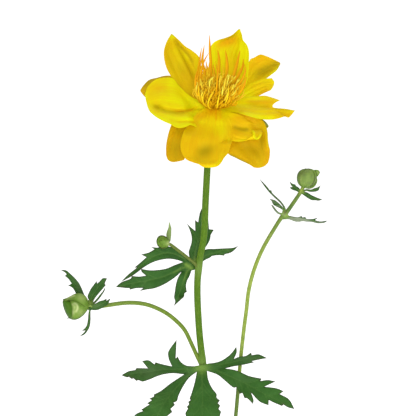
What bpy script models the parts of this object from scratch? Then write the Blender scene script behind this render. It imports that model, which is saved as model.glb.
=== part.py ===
# Potted golden queen globeflower: clay pot, soil, stems, cut leaves, buds and one open flower.
#
# Metres, +Z up, origin at the centre of the pot's underside, the front of the plant towards -Y.
# The plant is drawn on a front drawing of 416 by 416 units, 0.375 mm a unit, seen from slightly
# above. Each point of an outline is (x, y) on that drawing, y downwards, and a depth in mm towards
# the front. lift() puts such a point in space.
import math

import bmesh
import bpy
from mathutils import Matrix, Vector, geometry

for old in list(bpy.data.objects):
    bpy.data.objects.remove(old, do_unlink=True)

MM = 0.001

# ---- driving dimensions (mm unless named otherwise) --------------------------------------------
POT_HEIGHT = 112.0
POT_RIM_R = 64.0            # outer radius of the rim at its top
POT_BODY_TOP_R = 57.6       # outer radius of the body just under the rim band
POT_FOOT_R = 42.0
POT_WALL = 5.4
RIM_BAND = 24.0             # height of the rim band
FLOOR_T = 6.8
DRAIN_R = 8.0
POT_SIDES = 36
SOIL_TOP = 99.5             # height of the soil at the middle
SOIL_EDGE = 97.2            # and against the pot
GAP = 0.3                   # clearance between pieces that touch
SOCKET_DEPTH = 6.0          # how deep stems and petioles go into the soil

DRAW_UNIT = 0.375           # mm a drawing unit
DRAW_SIZE = 416
DRAW_DISTANCE = 1200.0      # mm from the eye to the drawing plane
DRAW_PITCH = 8.0            # degrees that the eye looks down
DRAW_CENTRE_Z = 271.5       # height of the drawing's middle on the pot's axis

MAIN_STEM_R = 1.2
SIDE_STEM_R = 0.77
RIGHT_STEM_R = 0.76
STALK_R = 0.6
LEAF_T = 0.5                # thickness of the plain leaf blades
SEPAL_T = 0.5
NECTARY_W = 0.9
NECTARY_T = 0.45
FLOWER_D = 4.0              # the flower's middle stands this far in front of the axis
FLOWER_TILT = 38.0          # degrees that the flower's axis leans out of the drawing
LEFT_BUD_D = 12.0
MIDDLE_BUD_D = 3.2
RIGHT_BUD_D = -6.0
SEPAL_SPREAD = 0.45         # how much the sepals' depths open out towards their ends

# ---- the front drawing ---------------------------------------------------------------------------
_p = math.radians(DRAW_PITCH)
AWAY = Vector((0.0, math.cos(_p), -math.sin(_p)))
RIGHT = Vector((1.0, 0.0, 0.0))
UP = Vector((0.0, math.sin(_p), math.cos(_p)))


EYE = Vector((0, 0, DRAW_CENTRE_Z)) - AWAY * DRAW_DISTANCE


def ray(x, y):
    """The direction from the eye through a drawing point, 1 mm deep."""
    k = DRAW_UNIT / DRAW_DISTANCE
    half = DRAW_SIZE / 2.0
    return AWAY + RIGHT * ((x - half) * k) + UP * ((half - y) * k)


def lift(x, y, d=0.0):
    """A drawing point set d mm in front of the upright plane through the pot's axis, in metres."""
    r = ray(x, y)
    return (EYE + r * ((-d - EYE.y) / r.y)) * MM


def lift_flower(x, y, d=0.0):
    """A drawing point set d mm in front of the tilted plane through the flower's middle, in metres."""
    c, r = ray(214, 105.5), ray(x, y)
    return (EYE + r * ((-FLOWER_D - EYE.y) / c.y - d)) * MM


def table(pairs, s):
    """Smooth value between the (s, value) pairs."""
    if s <= pairs[0][0]:
        return pairs[0][1]
    for (s0, v0), (s1, v1) in zip(pairs, pairs[1:]):
        if s <= s1:
            f = (s - s0) / (s1 - s0)
            f = f * f * (3 - 2 * f) * 0.5 + f * 0.5
            return v0 + (v1 - v0) * f
    return pairs[-1][1]


def curve(points, n):
    """n points evenly along a smooth curve through the given points."""
    pts = [Vector(p) for p in points]
    if len(pts) == 2:
        return [pts[0].lerp(pts[1], i / (n - 1)) for i in range(n)]
    ext = [pts[0] * 2 - pts[1]] + pts + [pts[-1] * 2 - pts[-2]]
    fine = []
    for i in range(1, len(ext) - 2):
        p0, p1, p2, p3 = ext[i - 1:i + 3]
        t0 = 0.0
        t1 = t0 + max((p1 - p0).length, 1e-9) ** 0.5
        t2 = t1 + max((p2 - p1).length, 1e-9) ** 0.5
        t3 = t2 + max((p3 - p2).length, 1e-9) ** 0.5
        for k in range(12):
            t = t1 + (t2 - t1) * k / 12.0
            a1 = p0 * ((t1 - t) / (t1 - t0)) + p1 * ((t - t0) / (t1 - t0))
            a2 = p1 * ((t2 - t) / (t2 - t1)) + p2 * ((t - t1) / (t2 - t1))
            a3 = p2 * ((t3 - t) / (t3 - t2)) + p3 * ((t - t2) / (t3 - t2))
            b1 = a1 * ((t2 - t) / (t2 - t0)) + a2 * ((t - t0) / (t2 - t0))
            b2 = a2 * ((t3 - t) / (t3 - t1)) + a3 * ((t - t1) / (t3 - t1))
            fine.append(b1 * ((t2 - t) / (t2 - t1)) + b2 * ((t - t1) / (t2 - t1)))
    fine.append(pts[-1])
    run = [0.0]
    for a, b in zip(fine, fine[1:]):
        run.append(run[-1] + (b - a).length)
    out, j = [], 0
    for i in range(n):
        want = run[-1] * i / (n - 1)
        while j < len(run) - 2 and run[j + 1] < want:
            j += 1
        step = run[j + 1] - run[j]
        f = 0.0 if step < 1e-12 else (want - run[j]) / step
        out.append(fine[j].lerp(fine[j + 1], min(max(f, 0.0), 1.0)))
    return out


# ---- materials -----------------------------------------------------------------------------------
def material(name, rgb, rough, metal=0.0):
    m = bpy.data.materials.new(name)
    m.use_nodes = True
    p = m.node_tree.nodes["Principled BSDF"]
    p.inputs["Base Color"].default_value = (rgb[0], rgb[1], rgb[2], 1.0)
    p.inputs["Roughness"].default_value = rough
    p.inputs["Metallic"].default_value = metal
    return m


CLAY, SOIL_C = (0.50, 0.19, 0.09), (0.035, 0.022, 0.014)
STEM_C, THIN_C, LEAF_C = (0.13, 0.25, 0.03), (0.22, 0.34, 0.06), (0.045, 0.13, 0.035)
SEPAL_C, NECT_C, BUD_C = (0.80, 0.55, 0.006), (0.72, 0.26, 0.008), (0.24, 0.38, 0.08)


def finish(name, bm, rgb, rough=0.5, smooth=True):
    """The solid in bm as a named object with its own material."""
    bmesh.ops.recalc_face_normals(bm, faces=bm.faces[:])
    if bm.calc_volume(signed=True) < 0:
        bmesh.ops.reverse_faces(bm, faces=bm.faces[:])
    me = bpy.data.meshes.new(name)
    bm.to_mesh(me)
    bm.free()
    ob = bpy.data.objects.new(name, me)
    bpy.context.scene.collection.objects.link(ob)
    me.materials.append(material(name + "_mat", rgb, rough))
    if smooth:
        me.shade_smooth()
        me.set_sharp_from_angle(angle=math.radians(40))
    return ob


# ---- tubes, turned pieces, sheets ------------------------------------------------------------------
def tube(name, path, radius, sides, rgb, flat=None, face=None, start_x=None, rough=0.5, phase=0.0):
    """A closed tube along path. radius(f) in mm; flat is the thickness over the width, and face(f) the
    direction that the flat side looks in. start_x slides the first ring along the tube to a plane."""
    n = len(path)
    bm = bmesh.new()
    rings = []
    side = None
    for i, p in enumerate(path):
        a, b = path[max(i - 1, 0)], path[min(i + 1, n - 1)]
        t = (b - a).normalized()
        if face is not None:
            w = face(i / (n - 1))
            w = (w - t * w.dot(t)).normalized()
            u, v = t.cross(w).normalized(), w
        else:
            if side is None:
                side = Vector((0, 1, 0)) if abs(t.y) < 0.9 else Vector((1, 0, 0))
            side = (side - t * side.dot(t)).normalized()
            u, v = side, t.cross(side).normalized()
        r = radius(i / (n - 1)) * MM
        ring = []
        for k in range(sides):
            ang = 2 * math.pi * (k + phase) / sides
            q = p + u * (r * math.cos(ang)) + v * (r * (flat or 1.0) * math.sin(ang))
            if i == 0 and start_x is not None:
                q = q + t * ((start_x - q.x) / t.x)
            ring.append(bm.verts.new(q))
        rings.append(ring)
    for a, b in zip(rings, rings[1:]):
        for k in range(sides):
            bm.faces.new((a[k], a[(k + 1) % sides], b[(k + 1) % sides], b[k]))
    bm.faces.new(rings[0][::-1])
    bm.faces.new(rings[-1])
    return finish(name, bm, rgb, rough)


def turned(name, profile, sides, rgb, rough, where=None, smooth=True):
    """A solid turned round an axis from (r, z) points; where(r, z, angle) places a point. A profile
    whose ends aren't on the axis closes on itself as a ring."""
    if where is None:
        def where(r, z, ang):
            return Vector((r * math.cos(ang), r * math.sin(ang), z)) * MM
    bm = bmesh.new()
    columns = []
    poles = {}
    for k in range(sides):
        ang = 2 * math.pi * k / sides
        column = []
        for j, (r, z) in enumerate(profile):
            if r < 1e-6:
                if j not in poles:
                    poles[j] = bm.verts.new(where(0.0, z, 0.0))
                column.append(poles[j])
            else:
                column.append(bm.verts.new(where(r, z, ang)))
        columns.append(column)
    closed = 0 not in poles
    steps = len(profile) if closed else len(profile) - 1
    for k in range(sides):
        a, b = columns[k], columns[(k + 1) % sides]
        for j in range(steps):
            j1 = (j + 1) % len(profile)
            quad = []
            for v in (a[j], b[j], b[j1], a[j1]):
                if v not in quad:
                    quad.append(v)
            if len(quad) > 2:
                bm.faces.new(quad)
    return finish(name, bm, rgb, rough, smooth)


def thicken(points, faces, thickness):
    """Two skins and a rim from a sheet of points (metres) and faces: a bmesh and both skins' verts."""
    normals = [Vector() for _ in points]
    edges = {}
    for f in faces:
        n = Vector()
        for i in range(len(f)):
            a, b = points[f[i]], points[f[(i + 1) % len(f)]]
            n += a.cross(b)
        if n.length > 0:
            n.normalize()
        for i in f:
            normals[i] += n
        for i in range(len(f)):
            e = (f[i], f[(i + 1) % len(f)])
            edges[e] = edges.get(e, 0) + 1
    bm = bmesh.new()
    h = thickness * MM / 2
    top, low = [], []
    for p, n in zip(points, normals):
        n = n.normalized() if n.length > 1e-9 else Vector((0, -1, 0))
        top.append(bm.verts.new(p + n * h))
        low.append(bm.verts.new(p - n * h))
    for f in faces:
        bm.faces.new([top[i] for i in f])
        bm.faces.new([low[i] for i in reversed(f)])
    for a, b in edges:
        if (b, a) not in edges:
            bm.faces.new((top[b], top[a], low[a], low[b]))
    return bm, top, low


# ---- sepals: a patch between two margins -------------------------------------------------------------
def sepal(name, left, right, dl, dc, dr, end=None, across=4, along=6, rgb=SEPAL_C, thick=SEPAL_T):
    """A petal-like sheet. left and right run from the base to the end on the drawing, end joins their
    ends, and dl, dc, dr are the depths along the left margin, the middle and the right margin."""
    fine = 40
    lft, rgt = curve(left, fine), curve(right, fine)
    if end is None:
        end = [left[-1], right[-1]]
    end_c = curve(end, fine) if (Vector(end[0]) - Vector(end[-1])).length > 1e-6 else [Vector(end[0])] * fine

    def at(c, f):
        x = f * (fine - 1)
        i = min(int(x), fine - 2)
        return c[i].lerp(c[i + 1], x - i)

    points, faces = [], []
    for j in range(along + 1):
        s = j / along
        for i in range(across + 1):
            t = i / across
            b = lft[0].lerp(rgt[0], t)
            p = at(lft, s) * (1 - t) + at(rgt, s) * t + b * (1 - s) + at(end_c, t) * s
            p = p - (lft[0] * (1 - s) * (1 - t) + rgt[0] * (1 - s) * t + lft[-1] * s * (1 - t) + rgt[-1] * s * t)
            l, c, r = table(dl, s), table(dc, s), table(dr, s)
            d = l * (1 - t) * (1 - 2 * t) + c * 4 * t * (1 - t) + r * t * (2 * t - 1)
            points.append(lift_flower(p.x, p.y, d * (1 + SEPAL_SPREAD * s)))
    w = across + 1
    for j in range(along):
        for i in range(across):
            a = j * w + i
            faces.append((a, a + 1, a + w + 1, a + w))
    bm, _, _ = thicken(points, faces, thick)
    return finish(name, bm, rgb, 0.45)


# ---- leaves: cut segments round a hub ------------------------------------------------------------------
def nearest(mid, p):
    """How far along the midrib a point lies, from 0 to 1, and its distance from it."""
    best = None
    run, total = 0.0, sum((b - a).length for a, b in zip(mid, mid[1:]))
    for a, b in zip(mid, mid[1:]):
        d = b - a
        f = min(max((p - a).dot(d) / d.length_squared, 0.0), 1.0)
        q = a + d * f
        gap = (p - q).length
        if best is None or gap < best[1]:
            best = ((run + d.length * f) / total, gap)
        run += d.length
    return best


def leaf_sheet(hub, centre, segments, place):
    """Points and faces of a leaf. hub is a ring of (x, y, depth), centre a point in it or None, and each
    segment is (hub index, hub index, outline, midrib, depths, slope x, slope y, fold)."""
    points, faces, index = [], [], {}

    def add(x, y, d):
        key = (round(x, 3), round(y, 3), round(d, 3))
        if key not in index:
            index[key] = len(points)
            points.append(place(x, y, d))
        return index[key]

    ring = [add(*h) for h in hub]
    if centre is None:
        faces.append(tuple(ring))
        hub_face = 0
    else:
        c = add(*centre)
        for i in range(len(ring)):
            faces.append((ring[i], ring[(i + 1) % len(ring)], c))
        hub_face = None
    for a, b, outline, midrib, depths, sx, sy, fold in segments:
        base = [Vector(hub[a][:2]), Vector(hub[b][:2])]
        rim = [base[0]] + [Vector(p) for p in outline] + [base[1]]
        spine = [Vector(p) for p in midrib]
        line = [(base[0] + base[1]) / 2] + spine
        tip = max(range(1, len(rim) - 1), key=lambda i: nearest(line, rim[i])[0] * 1e6 - (rim[i] - spine[-1]).length)
        line = line + [rim[tip]]
        n = len(rim)
        flat = rim + spine
        cons = [(i, (i + 1) % n) for i in range(n)] + [(n + i, n + i + 1) for i in range(len(spine) - 1)]
        out = geometry.delaunay_2d_cdt(flat, cons, [list(range(n))], 1, 1e-6)
        ids = []
        for v, orig in zip(out[0], out[3]):
            if 0 in orig:
                ids.append(ring[a])
                continue
            if n - 1 in orig:
                ids.append(ring[b])
                continue
            u, gap = nearest(line, v)
            start = (hub[a][2] + hub[b][2]) / 2
            d = table([(0.0, start)] + list(depths), u)
            d += sx * (v.x - line[0].x) + sy * (v.y - line[0].y) + fold * min(gap, 9.0) * min(u * 6, 1.0)
            ids.append(add(v.x, v.y, d))
        for f in out[2]:
            faces.append(tuple(ids[i] for i in f))
    # every face turned the same way round on the drawing
    fixed = []
    flat_of = {}
    for key, i in index.items():
        flat_of[i] = key
    for f in faces:
        area = 0.0
        for i in range(len(f)):
            p, q = flat_of[f[i]], flat_of[f[(i + 1) % len(f)]]
            area += p[0] * q[1] - q[0] * p[1]
        fixed.append(f if area > 0 else tuple(reversed(f)))
    return points, fixed, ring, hub_face


def leaf(name, hub, centre, segments, base_d=0.0, rgb=LEAF_C, thick=LEAF_T):
    points, faces, _, _ = leaf_sheet(hub, centre, segments, lambda x, y, d: lift(x, y, d + base_d))
    bm, _, _ = thicken(points, faces, thick)
    return finish(name, bm, rgb, 0.5)


def ball(name, x, y, d, rx, ry, rd, rgb, sides=12, rows=8, shape=None):
    """A closed round body on the drawing, with its axis upright; shape(u, v, w) may push it out."""
    bm = bmesh.new()
    bmesh.ops.create_uvsphere(bm, u_segments=sides, v_segments=rows, radius=1.0)
    for v in bm.verts:
        q = v.co.copy()
        if shape:
            q = shape(q)
        v.co = lift(x + q.x * rx, y - q.z * ry, d) + Vector((0, q.y * rd * MM, 0))
    return finish(name, bm, rgb, 0.5)


# ================================ pot and soil =====================================================
H, R = POT_HEIGHT, POT_RIM_R
body_z = H - RIM_BAND
inner_top = R - POT_WALL - 0.4
turned("pot", [
    (DRAIN_R, 0.0), (POT_FOOT_R - 1.2, 0.0), (POT_FOOT_R, 1.2),
    (POT_BODY_TOP_R, body_z), (R - 2.6, body_z + 0.6), (R - 2.0, body_z + 2.4),
    (R - 0.3, H - 3.0), (R - 0.6, H - 1.0), (R - 2.4, H), (inner_top + 1.4, H), (inner_top, H - 1.4),
    (POT_BODY_TOP_R - POT_WALL, body_z - 2.0), (POT_FOOT_R - POT_WALL + 1.0, FLOOR_T), (DRAIN_R, FLOOR_T),
], POT_SIDES, CLAY, 0.85)


def inner_r(z):
    """The pot's inner radius at a height."""
    z0, r0 = FLOOR_T, POT_FOOT_R - POT_WALL + 1.0
    z1, r1 = body_z - 2.0, POT_BODY_TOP_R - POT_WALL
    z2, r2 = H - 1.4, inner_top
    return r0 + (r1 - r0) * (z - z0) / (z1 - z0) if z < z1 else r1 + (r2 - r1) * (z - z1) / (z2 - z1)


soil = turned("soil", [
    (0.0, FLOOR_T + GAP), (inner_r(FLOOR_T) - 0.5, FLOOR_T + GAP),
    (inner_r(body_z - 2.0) - GAP - 0.1, body_z - 2.0), (inner_r(SOIL_EDGE) - GAP - 0.1, SOIL_EDGE),
    (42.0, SOIL_EDGE + 0.7), (20.0, SOIL_TOP - 0.3), (0.0, SOIL_TOP),
], POT_SIDES, SOIL_C, 0.95, smooth=False)

# ================================ stems ============================================================
MAIN = [(206.3, 668, 0), (206.3, 640, 0), (206.2, 560, 0.6), (205.6, 480, 0.8), (204.6, 420, 0.5), (202.7, 365, 0), (199.2, 330, 0),
        (197.3, 289, 0), (198.3, 271, 0), (200.5, 255, 0), (203.7, 238, 0), (205.6, 200, 0), (207.3, 168, 0.2),
        (208.6, 145, 0.8), (210.4, 128, 1.6)]
RIGHT_ST = [(214.5, 660, -3.0), (214.8, 640, -3.0), (219.5, 570, -3.6), (226.3, 495, -4.0), (231.2, 450, -4.1), (235.7, 416, -4.1), (240.5, 360, -3.8),
            (243.7, 330, -3.4), (246.2, 310, -3.2), (248.5, 290, -3.1), (253.5, 270, -3.2), (261.5, 250, -3.6),
            (272.5, 230, -4.4), (282, 216.5, -5.0), (286, 213, -5.2), (292.3, 204.4, -5.5), (300, 193, -5.9), (302.6, 188.4, -6.0)]
LEFT_ST = [(197.4, 357.6, 0.0), (191.2, 345, 0.4), (184.3, 330, 1.6), (176, 320.2, 3.0), (164.8, 311.6, 5.0), (146.9, 304, 8.2),
           (129, 302.7, 10.6), (107.4, 305.2, 11.8), (90.2, 307.9, 12.0)]
STALK = [(194.6, 263.4, 0.9), (188, 258, 1.2), (179.5, 251.3, 1.6), (171.6, 245.4, 2.0)]


def upright_foot(points, x, y_front, top):
    """A path that starts straight up out of the soil at (x, y_front) mm and joins the drawn points."""
    z0 = SOIL_TOP - SOCKET_DEPTH + 0.4
    foot = [Vector((x, y_front, z0)) * MM, Vector((x, y_front, SOIL_TOP + 3.0)) * MM]
    return foot + [lift(*p) for p in points if lift(*p).z > (SOIL_TOP + top) * MM]


# The flower's own frame: FC is the middle of the receptacle's top, FA its axis.
_t = math.radians(FLOWER_TILT)
FC = lift_flower(214, 105.5)
FA = UP * math.cos(_t) - AWAY * math.sin(_t)
FB = UP * math.sin(_t) + AWAY * math.cos(_t)


def in_flower(r, h, deg):
    """r mm out and h mm up in the flower's frame; 0 degrees is right, 90 the back."""
    a = math.radians(deg)
    return FC + (RIGHT * (r * math.cos(a)) + FB * (r * math.sin(a)) + FA * h) * MM


main_path = upright_foot(MAIN, -0.65, 0.0, 12.0)
main_path += [in_flower(0.5, -6.5, 270), in_flower(0, -2.6, 0), in_flower(0, 0, 0)]
spine = curve(main_path, 28)
cut = next(i for i, p in enumerate(spine) if p.z > main_path[-3].z)
spine = spine[:cut] + [in_flower(0, -5.6, 0), in_flower(0, -4.2, 0), in_flower(0, -3.0, 0), in_flower(0, -1.2, 0), in_flower(0, 0, 0)]
N = len(spine) - 1


def main_radius(f):
    i = round(f * N)
    return {N: 2.5, N - 1: 2.9, N - 2: 2.6, N - 3: 1.7}.get(i, MAIN_STEM_R if i > 3 else MAIN_STEM_R + 0.25)


tube("main_stem", spine, main_radius, 8, STEM_C)
right_foot = Vector((3.4, 3.4, 0))
tube("right_stem", curve(upright_foot(RIGHT_ST, right_foot.x, right_foot.y, 12.0), 26),
     lambda f: RIGHT_STEM_R + 0.18 * (1 - f) ** 6, 7, THIN_C)
stem_left_x = (199.9 - 208) * DRAW_UNIT * MM
tube("side_stem_left", curve([lift(*p) for p in LEFT_ST], 15), lambda f: SIDE_STEM_R, 7, THIN_C,
     start_x=(lift(198.55, 357, 0).x))
tube("bud_stalk_middle", curve([lift(*p) for p in STALK], 5), lambda f: STALK_R, 7, THIN_C)

# ================================ the open flower =====================================================
turned("pistils", [(0, 0.3), (1.5, 0.3), (1.8, 1.6), (1.5, 3.6), (0.8, 4.8), (0, 5.1)], 9, NECT_C, 0.5,
       where=lambda r, z, ang: in_flower(r, z, math.degrees(ang)))
turned("stamens", [(2.15, 0.3), (2.45, 0.3), (3.3, 4.5), (4.4, 8.6), (3.4, 9.2), (2.5, 5.0)], 12, NECT_C, 0.6,
       where=lambda r, z, ang: in_flower(r, z, math.degrees(ang)))

# Narrow upright petals: base angle round the receptacle, then (x, y, depth) points up to the tip.
NECTARIES = [
    (100, [(211.6, 85, -1.6), (210.8, 70, -1.4), (210, 55, -1.0), (209.5, 35, -0.6)]),
    (118, [(206.8, 86, -0.6), (204.8, 74, 0.4), (202.6, 60, 1.2), (204.3, 45, 1.8)]),
    (150, [(200.6, 91, 1.0), (197.4, 79, 1.8), (199.3, 62, 1.8), (201.5, 48, 1.6)]),
    (170, [(202, 93.5, 3.2), (200.2, 80, 4.8), (203.2, 63, 6.0), (208.5, 53, 6.4)]),
    (84, [(217.8, 84, -1.2), (219, 68, -0.4), (219, 57, 0.2), (217.5, 49.5, 0.6)]),
    (68, [(223.5, 85, -1.2), (226.4, 72, -0.6), (226.6, 60, -0.2), (225.5, 50.5, 0.2)]),
    (50, [(227.5, 87, -0.8), (233.5, 74.5, -0.6), (237.5, 61, -0.6), (240, 50.5, -0.8)]),
    (30, [(231, 88.5, 0.4), (238.5, 75.5, 1.0), (242.6, 67, 1.2), (243.5, 59, 1.2)]),
    (6, [(232, 92.5, 3.0), (241.5, 81, 4.2), (245.3, 71, 4.6), (244.5, 64, 4.4)]),
    (262, [(214.2, 101.5, 7.2), (216.2, 90, 9.8), (217.5, 74, 11.4), (215.5, 61, 11.6)]),
    (196, [(201.5, 101.5, 4.6), (196.5, 91, 6.8), (195.4, 80, 8.0), (197, 71, 8.6)]),
    (338, [(227, 103, 5.0), (236.5, 96.5, 6.8), (243.5, 87, 8.0), (246.5, 77, 8.6)]),
    (228, [(207, 107, 6.2), (203.4, 102.5, 9.8), (202, 95, 12.6), (203.4, 85, 14.4)]),
    (302, [(220.4, 107.6, 6.2), (225.6, 103.5, 9.8), (228.6, 95, 12.6), (227.6, 84, 14.4)]),
    (246, [(211, 109, 7.0), (209.2, 107, 11.0), (208.4, 100, 14.8), (209.6, 90.5, 17.2)]),
    (284, [(217, 108.2, 7.0), (219.2, 105.8, 11.0), (220.6, 98, 15.0), (219.6, 88.5, 17.4)]),
]
for i, (ang, pts) in enumerate(NECTARIES):
    out = (in_flower(1, 0, ang) - FC).normalized()
    route = [in_flower(3.35, -0.6, ang), in_flower(3.5, 1.6, ang)] + [lift_flower(x, y, d) for x, y, d in pts]
    tube("nectary_%02d" % (i + 1), curve(route, 6),
         lambda f: NECTARY_W / 2 * (1.0 if f < 0.55 else 1.0 - 0.72 * ((f - 0.55) / 0.45) ** 1.4),
         4, NECT_C, flat=NECTARY_T / NECTARY_W * 1.1, face=lambda f, o=out: o, phase=0.5)

sepal("sepal_back_left",
      [(204.6, 102.4), (190, 98), (180, 90), (172, 78), (166.5, 68), (164, 58), (164, 50), (167, 41), (171.2, 33.9)],
      [(208.2, 99.6), (204, 92), (203, 80), (201.5, 68), (199, 57), (192, 50.5), (185, 46), (180, 41), (172.4, 34.2)],
      [(0, -2.6), (.3, -5.2), (.6, -4.6), (1, -7.5)], [(0, -2.9), (.3, -4.6), (.6, -5.6), (1, -7.5)],
      [(0, -3.2), (.3, -2.8), (.6, -3.8), (1, -7.5)])
sepal("sepal_back_right",
      [(212.3, 97.6), (211.5, 85), (211, 70), (210.5, 55), (211, 46), (214, 42.3), (218, 40), (225, 38), (232, 35), (238.9, 29.0)],
      [(219.4, 98.2), (234, 92), (246, 84), (248, 75), (249, 60), (249, 52), (247, 45), (243, 40), (242, 35), (240.1, 29.2)],
      [(0, -3.7), (.3, -3.4), (.6, -4.0), (.85, -5), (1, -7)], [(0, -3.7), (.3, -4.8), (.6, -5.8), (1, -7)],
      [(0, -3.5), (.3, -2.9), (.6, -3.4), (1, -7)])
sepal("sepal_right_upper",
      [(221.3, 98.8), (236, 84), (247, 68), (250.5, 59), (254, 57.6), (260, 54.5), (265, 55.5), (273, 59), (280.0, 62.6)],
      [(223.4, 100.2), (242, 95), (254, 86), (264, 80), (271, 75), (277, 70), (280.4, 64)],
      [(0, -4.4), (.4, -7.8), (1, -10)], [(0, -4.2), (.4, -8.0), (.7, -9), (1, -10)], [(0, -3.7), (.4, -6.8), (.7, -7.6), (1, -10)])
sepal("sepal_right_middle",
      [(224.3, 100.8), (238, 93.5), (250, 84), (260, 79.8), (268, 78.4), (272, 78.2)],
      [(225.4, 103.2), (240, 103.2), (252, 99.5), (260, 95.2), (266, 92.2), (270.8, 90.2)],
      [(0, -2.2), (.4, -5.0), (1, -5.8)], [(0, -1.9), (.4, -4.6), (1, -5)], [(0, -1.7), (.3, -3.9), (.5, -3.9), (1, -3.6)],
      end=[(272, 78.2), (274.2, 82), (273.5, 86), (270.8, 90.2)])
sepal("sepal_right_lower",
      [(225.2, 104.2), (236, 99.8), (245, 97.3), (258, 96.2), (265, 95.7), (272, 97.5), (280, 100.3)],
      [(224.4, 109.2), (238, 113), (250, 116.5), (258, 118.6), (265, 119.6), (273, 119.5), (280, 118), (285, 116.5), (288.5, 117.6), (291.5, 115), (295, 110.5)],
      [(0, -0.7), (.35, -2.0), (.7, -1.6), (1, -.8)], [(0, 0.1), (.35, .9), (.7, 1.4), (1, 1.6)], [(0, 0.9), (.35, 5.4), (.7, 4.4), (1, 1.6)],
      end=[(280, 100.3), (275.5, 102.6), (273, 105), (272.8, 107), (276, 108), (285, 108.7), (295, 110.5)])
sepal("sepal_right_outer",
      [(225.6, 110.6), (245, 113), (258, 117), (265.5, 121.5), (268.8, 126)],
      [(224.2, 112.8), (240, 121), (253, 127.5), (262, 130.5), (268.0, 127.6)],
      [(0, -0.9), (.5, 1.0), (1, 1.6)], [(0, -0.7), (.5, 1.1), (1, 1.6)], [(0, -0.4), (.5, 1.2), (1, 1.6)], along=5, across=3,
      rgb=(0.35, 0.42, 0.03))
sepal("sepal_front_right",
      [(222.6, 112.2), (240, 113), (252, 115.5), (262, 120), (266, 126), (267.5, 132), (268, 140), (269, 146), (270, 150), (269.5, 158), (268, 163)],
      [(219.6, 114.4), (221.5, 125), (223.5, 138), (228, 153.5), (235, 157.5), (242, 161), (249, 164.3), (254, 167.5)],
      [(0, 0.9), (.3, 2.5), (.5, 3.2), (.75, 5), (1, 5.5)], [(0, 1.3), (.3, 3.8), (.6, 5.6), (1, 6.5)], [(0, 1.6), (.3, 4.4), (.6, 7), (1, 7.5)],
      end=[(268, 163), (264, 166.5), (258, 168), (254, 167.5)])
sepal("sepal_front_inner",
      [(222.9, 110.6), (236, 113.6), (248, 117.5), (258, 121.5), (262, 127.5), (262.5, 133)],
      [(219.8, 112.2), (223.5, 125), (226, 134), (229, 139), (236, 141.5), (245, 141), (250, 138), (254, 135)],
      [(0, 2.0), (.3, 3.9), (.6, 4.8), (1, 6.6)], [(0, 2.4), (.3, 5.3), (.6, 7), (1, 7.2)], [(0, 2.7), (.3, 5.8), (.6, 8), (1, 7.6)],
      end=[(262.5, 133), (258.5, 139), (254, 135)])
sepal("sepal_front",
      [(209.2, 111.6), (204.5, 114.5), (199.5, 119), (191.5, 126), (184, 132.5), (181, 140), (180.8, 150), (184, 157)],
      [(217.6, 111.8), (222, 117), (226, 128), (228, 141), (228, 153.5)],
      [(0, 3.0), (.3, 4.4), (.45, 5.7), (.6, 7.9), (1, 10)], [(0, 3.2), (.3, 8.2), (.6, 11.2), (1, 12.6)], [(0, 3.1), (.3, 7.4), (.6, 10.4), (1, 11.4)],
      end=[(184, 157), (187, 160), (193, 162.5), (199, 164.5), (203, 167), (210, 167.7), (217, 166.5), (221, 163), (224, 158), (228, 153.5)])
sepal("sepal_front_left",
      [(204.9, 111.2), (190, 114), (178, 119), (172, 125), (169, 132), (167, 140), (166, 147), (166, 155)],
      [(207.8, 113.4), (200, 125), (193, 138), (188, 150), (184, 160)],
      [(0, 0.6), (.4, 0.6), (.7, 2.4), (1, 4.5)], [(0, 1.0), (.4, 2.8), (.7, 4.6), (1, 5.8)], [(0, 1.6), (.4, 4.4), (.7, 6.2), (1, 7.2)],
      end=[(166, 155), (168, 160), (172, 162), (178, 161.5), (184, 160)])
sepal("sepal_left",
      [(202.8, 103.6), (190, 96), (180, 87), (172, 78), (165, 77.5), (157, 79), (151, 83), (147, 88), (145, 95)],
      [(203.6, 109.2), (200, 113), (197.5, 118), (198.5, 123), (197.5, 126.2), (194.5, 125.4), (190, 124.6), (187, 126), (181, 127.6), (176, 127), (170, 124), (163, 121), (156, 117), (150, 112)],
      [(0, -1.0), (.3, -3.2), (.6, -4.4), (1, -1)], [(0, -.1), (.3, .4), (.6, .6), (1, 1.2)], [(0, 1.0), (.07, 3.0), (.15, 6.0), (.22, 7.6), (.35, 8.4), (.6, 8.0), (1, 3.5)],
      end=[(145, 95), (146, 101), (148, 108), (150, 112)])
sepal("sepal_left_outer",
      [(201.8, 103.8), (190, 93.5), (180, 84), (172, 76.3), (165, 75.8), (157, 77.8), (149, 80), (143, 86), (140.3, 90.2)],
      [(201.9, 108.6), (190, 110), (175, 110), (160, 107), (150, 102), (145, 97), (142, 93.5), (140.6, 91.6)],
      [(0, -3.6), (.15, -6.8), (.3, -8.2), (.6, -8.6), (1, -5)], [(0, -2.6), (.2, -4.2), (.6, -4.2), (1, -4.6)], [(0, -1.0), (.3, -.9), (.6, -1), (1, -4.4)])

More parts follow.
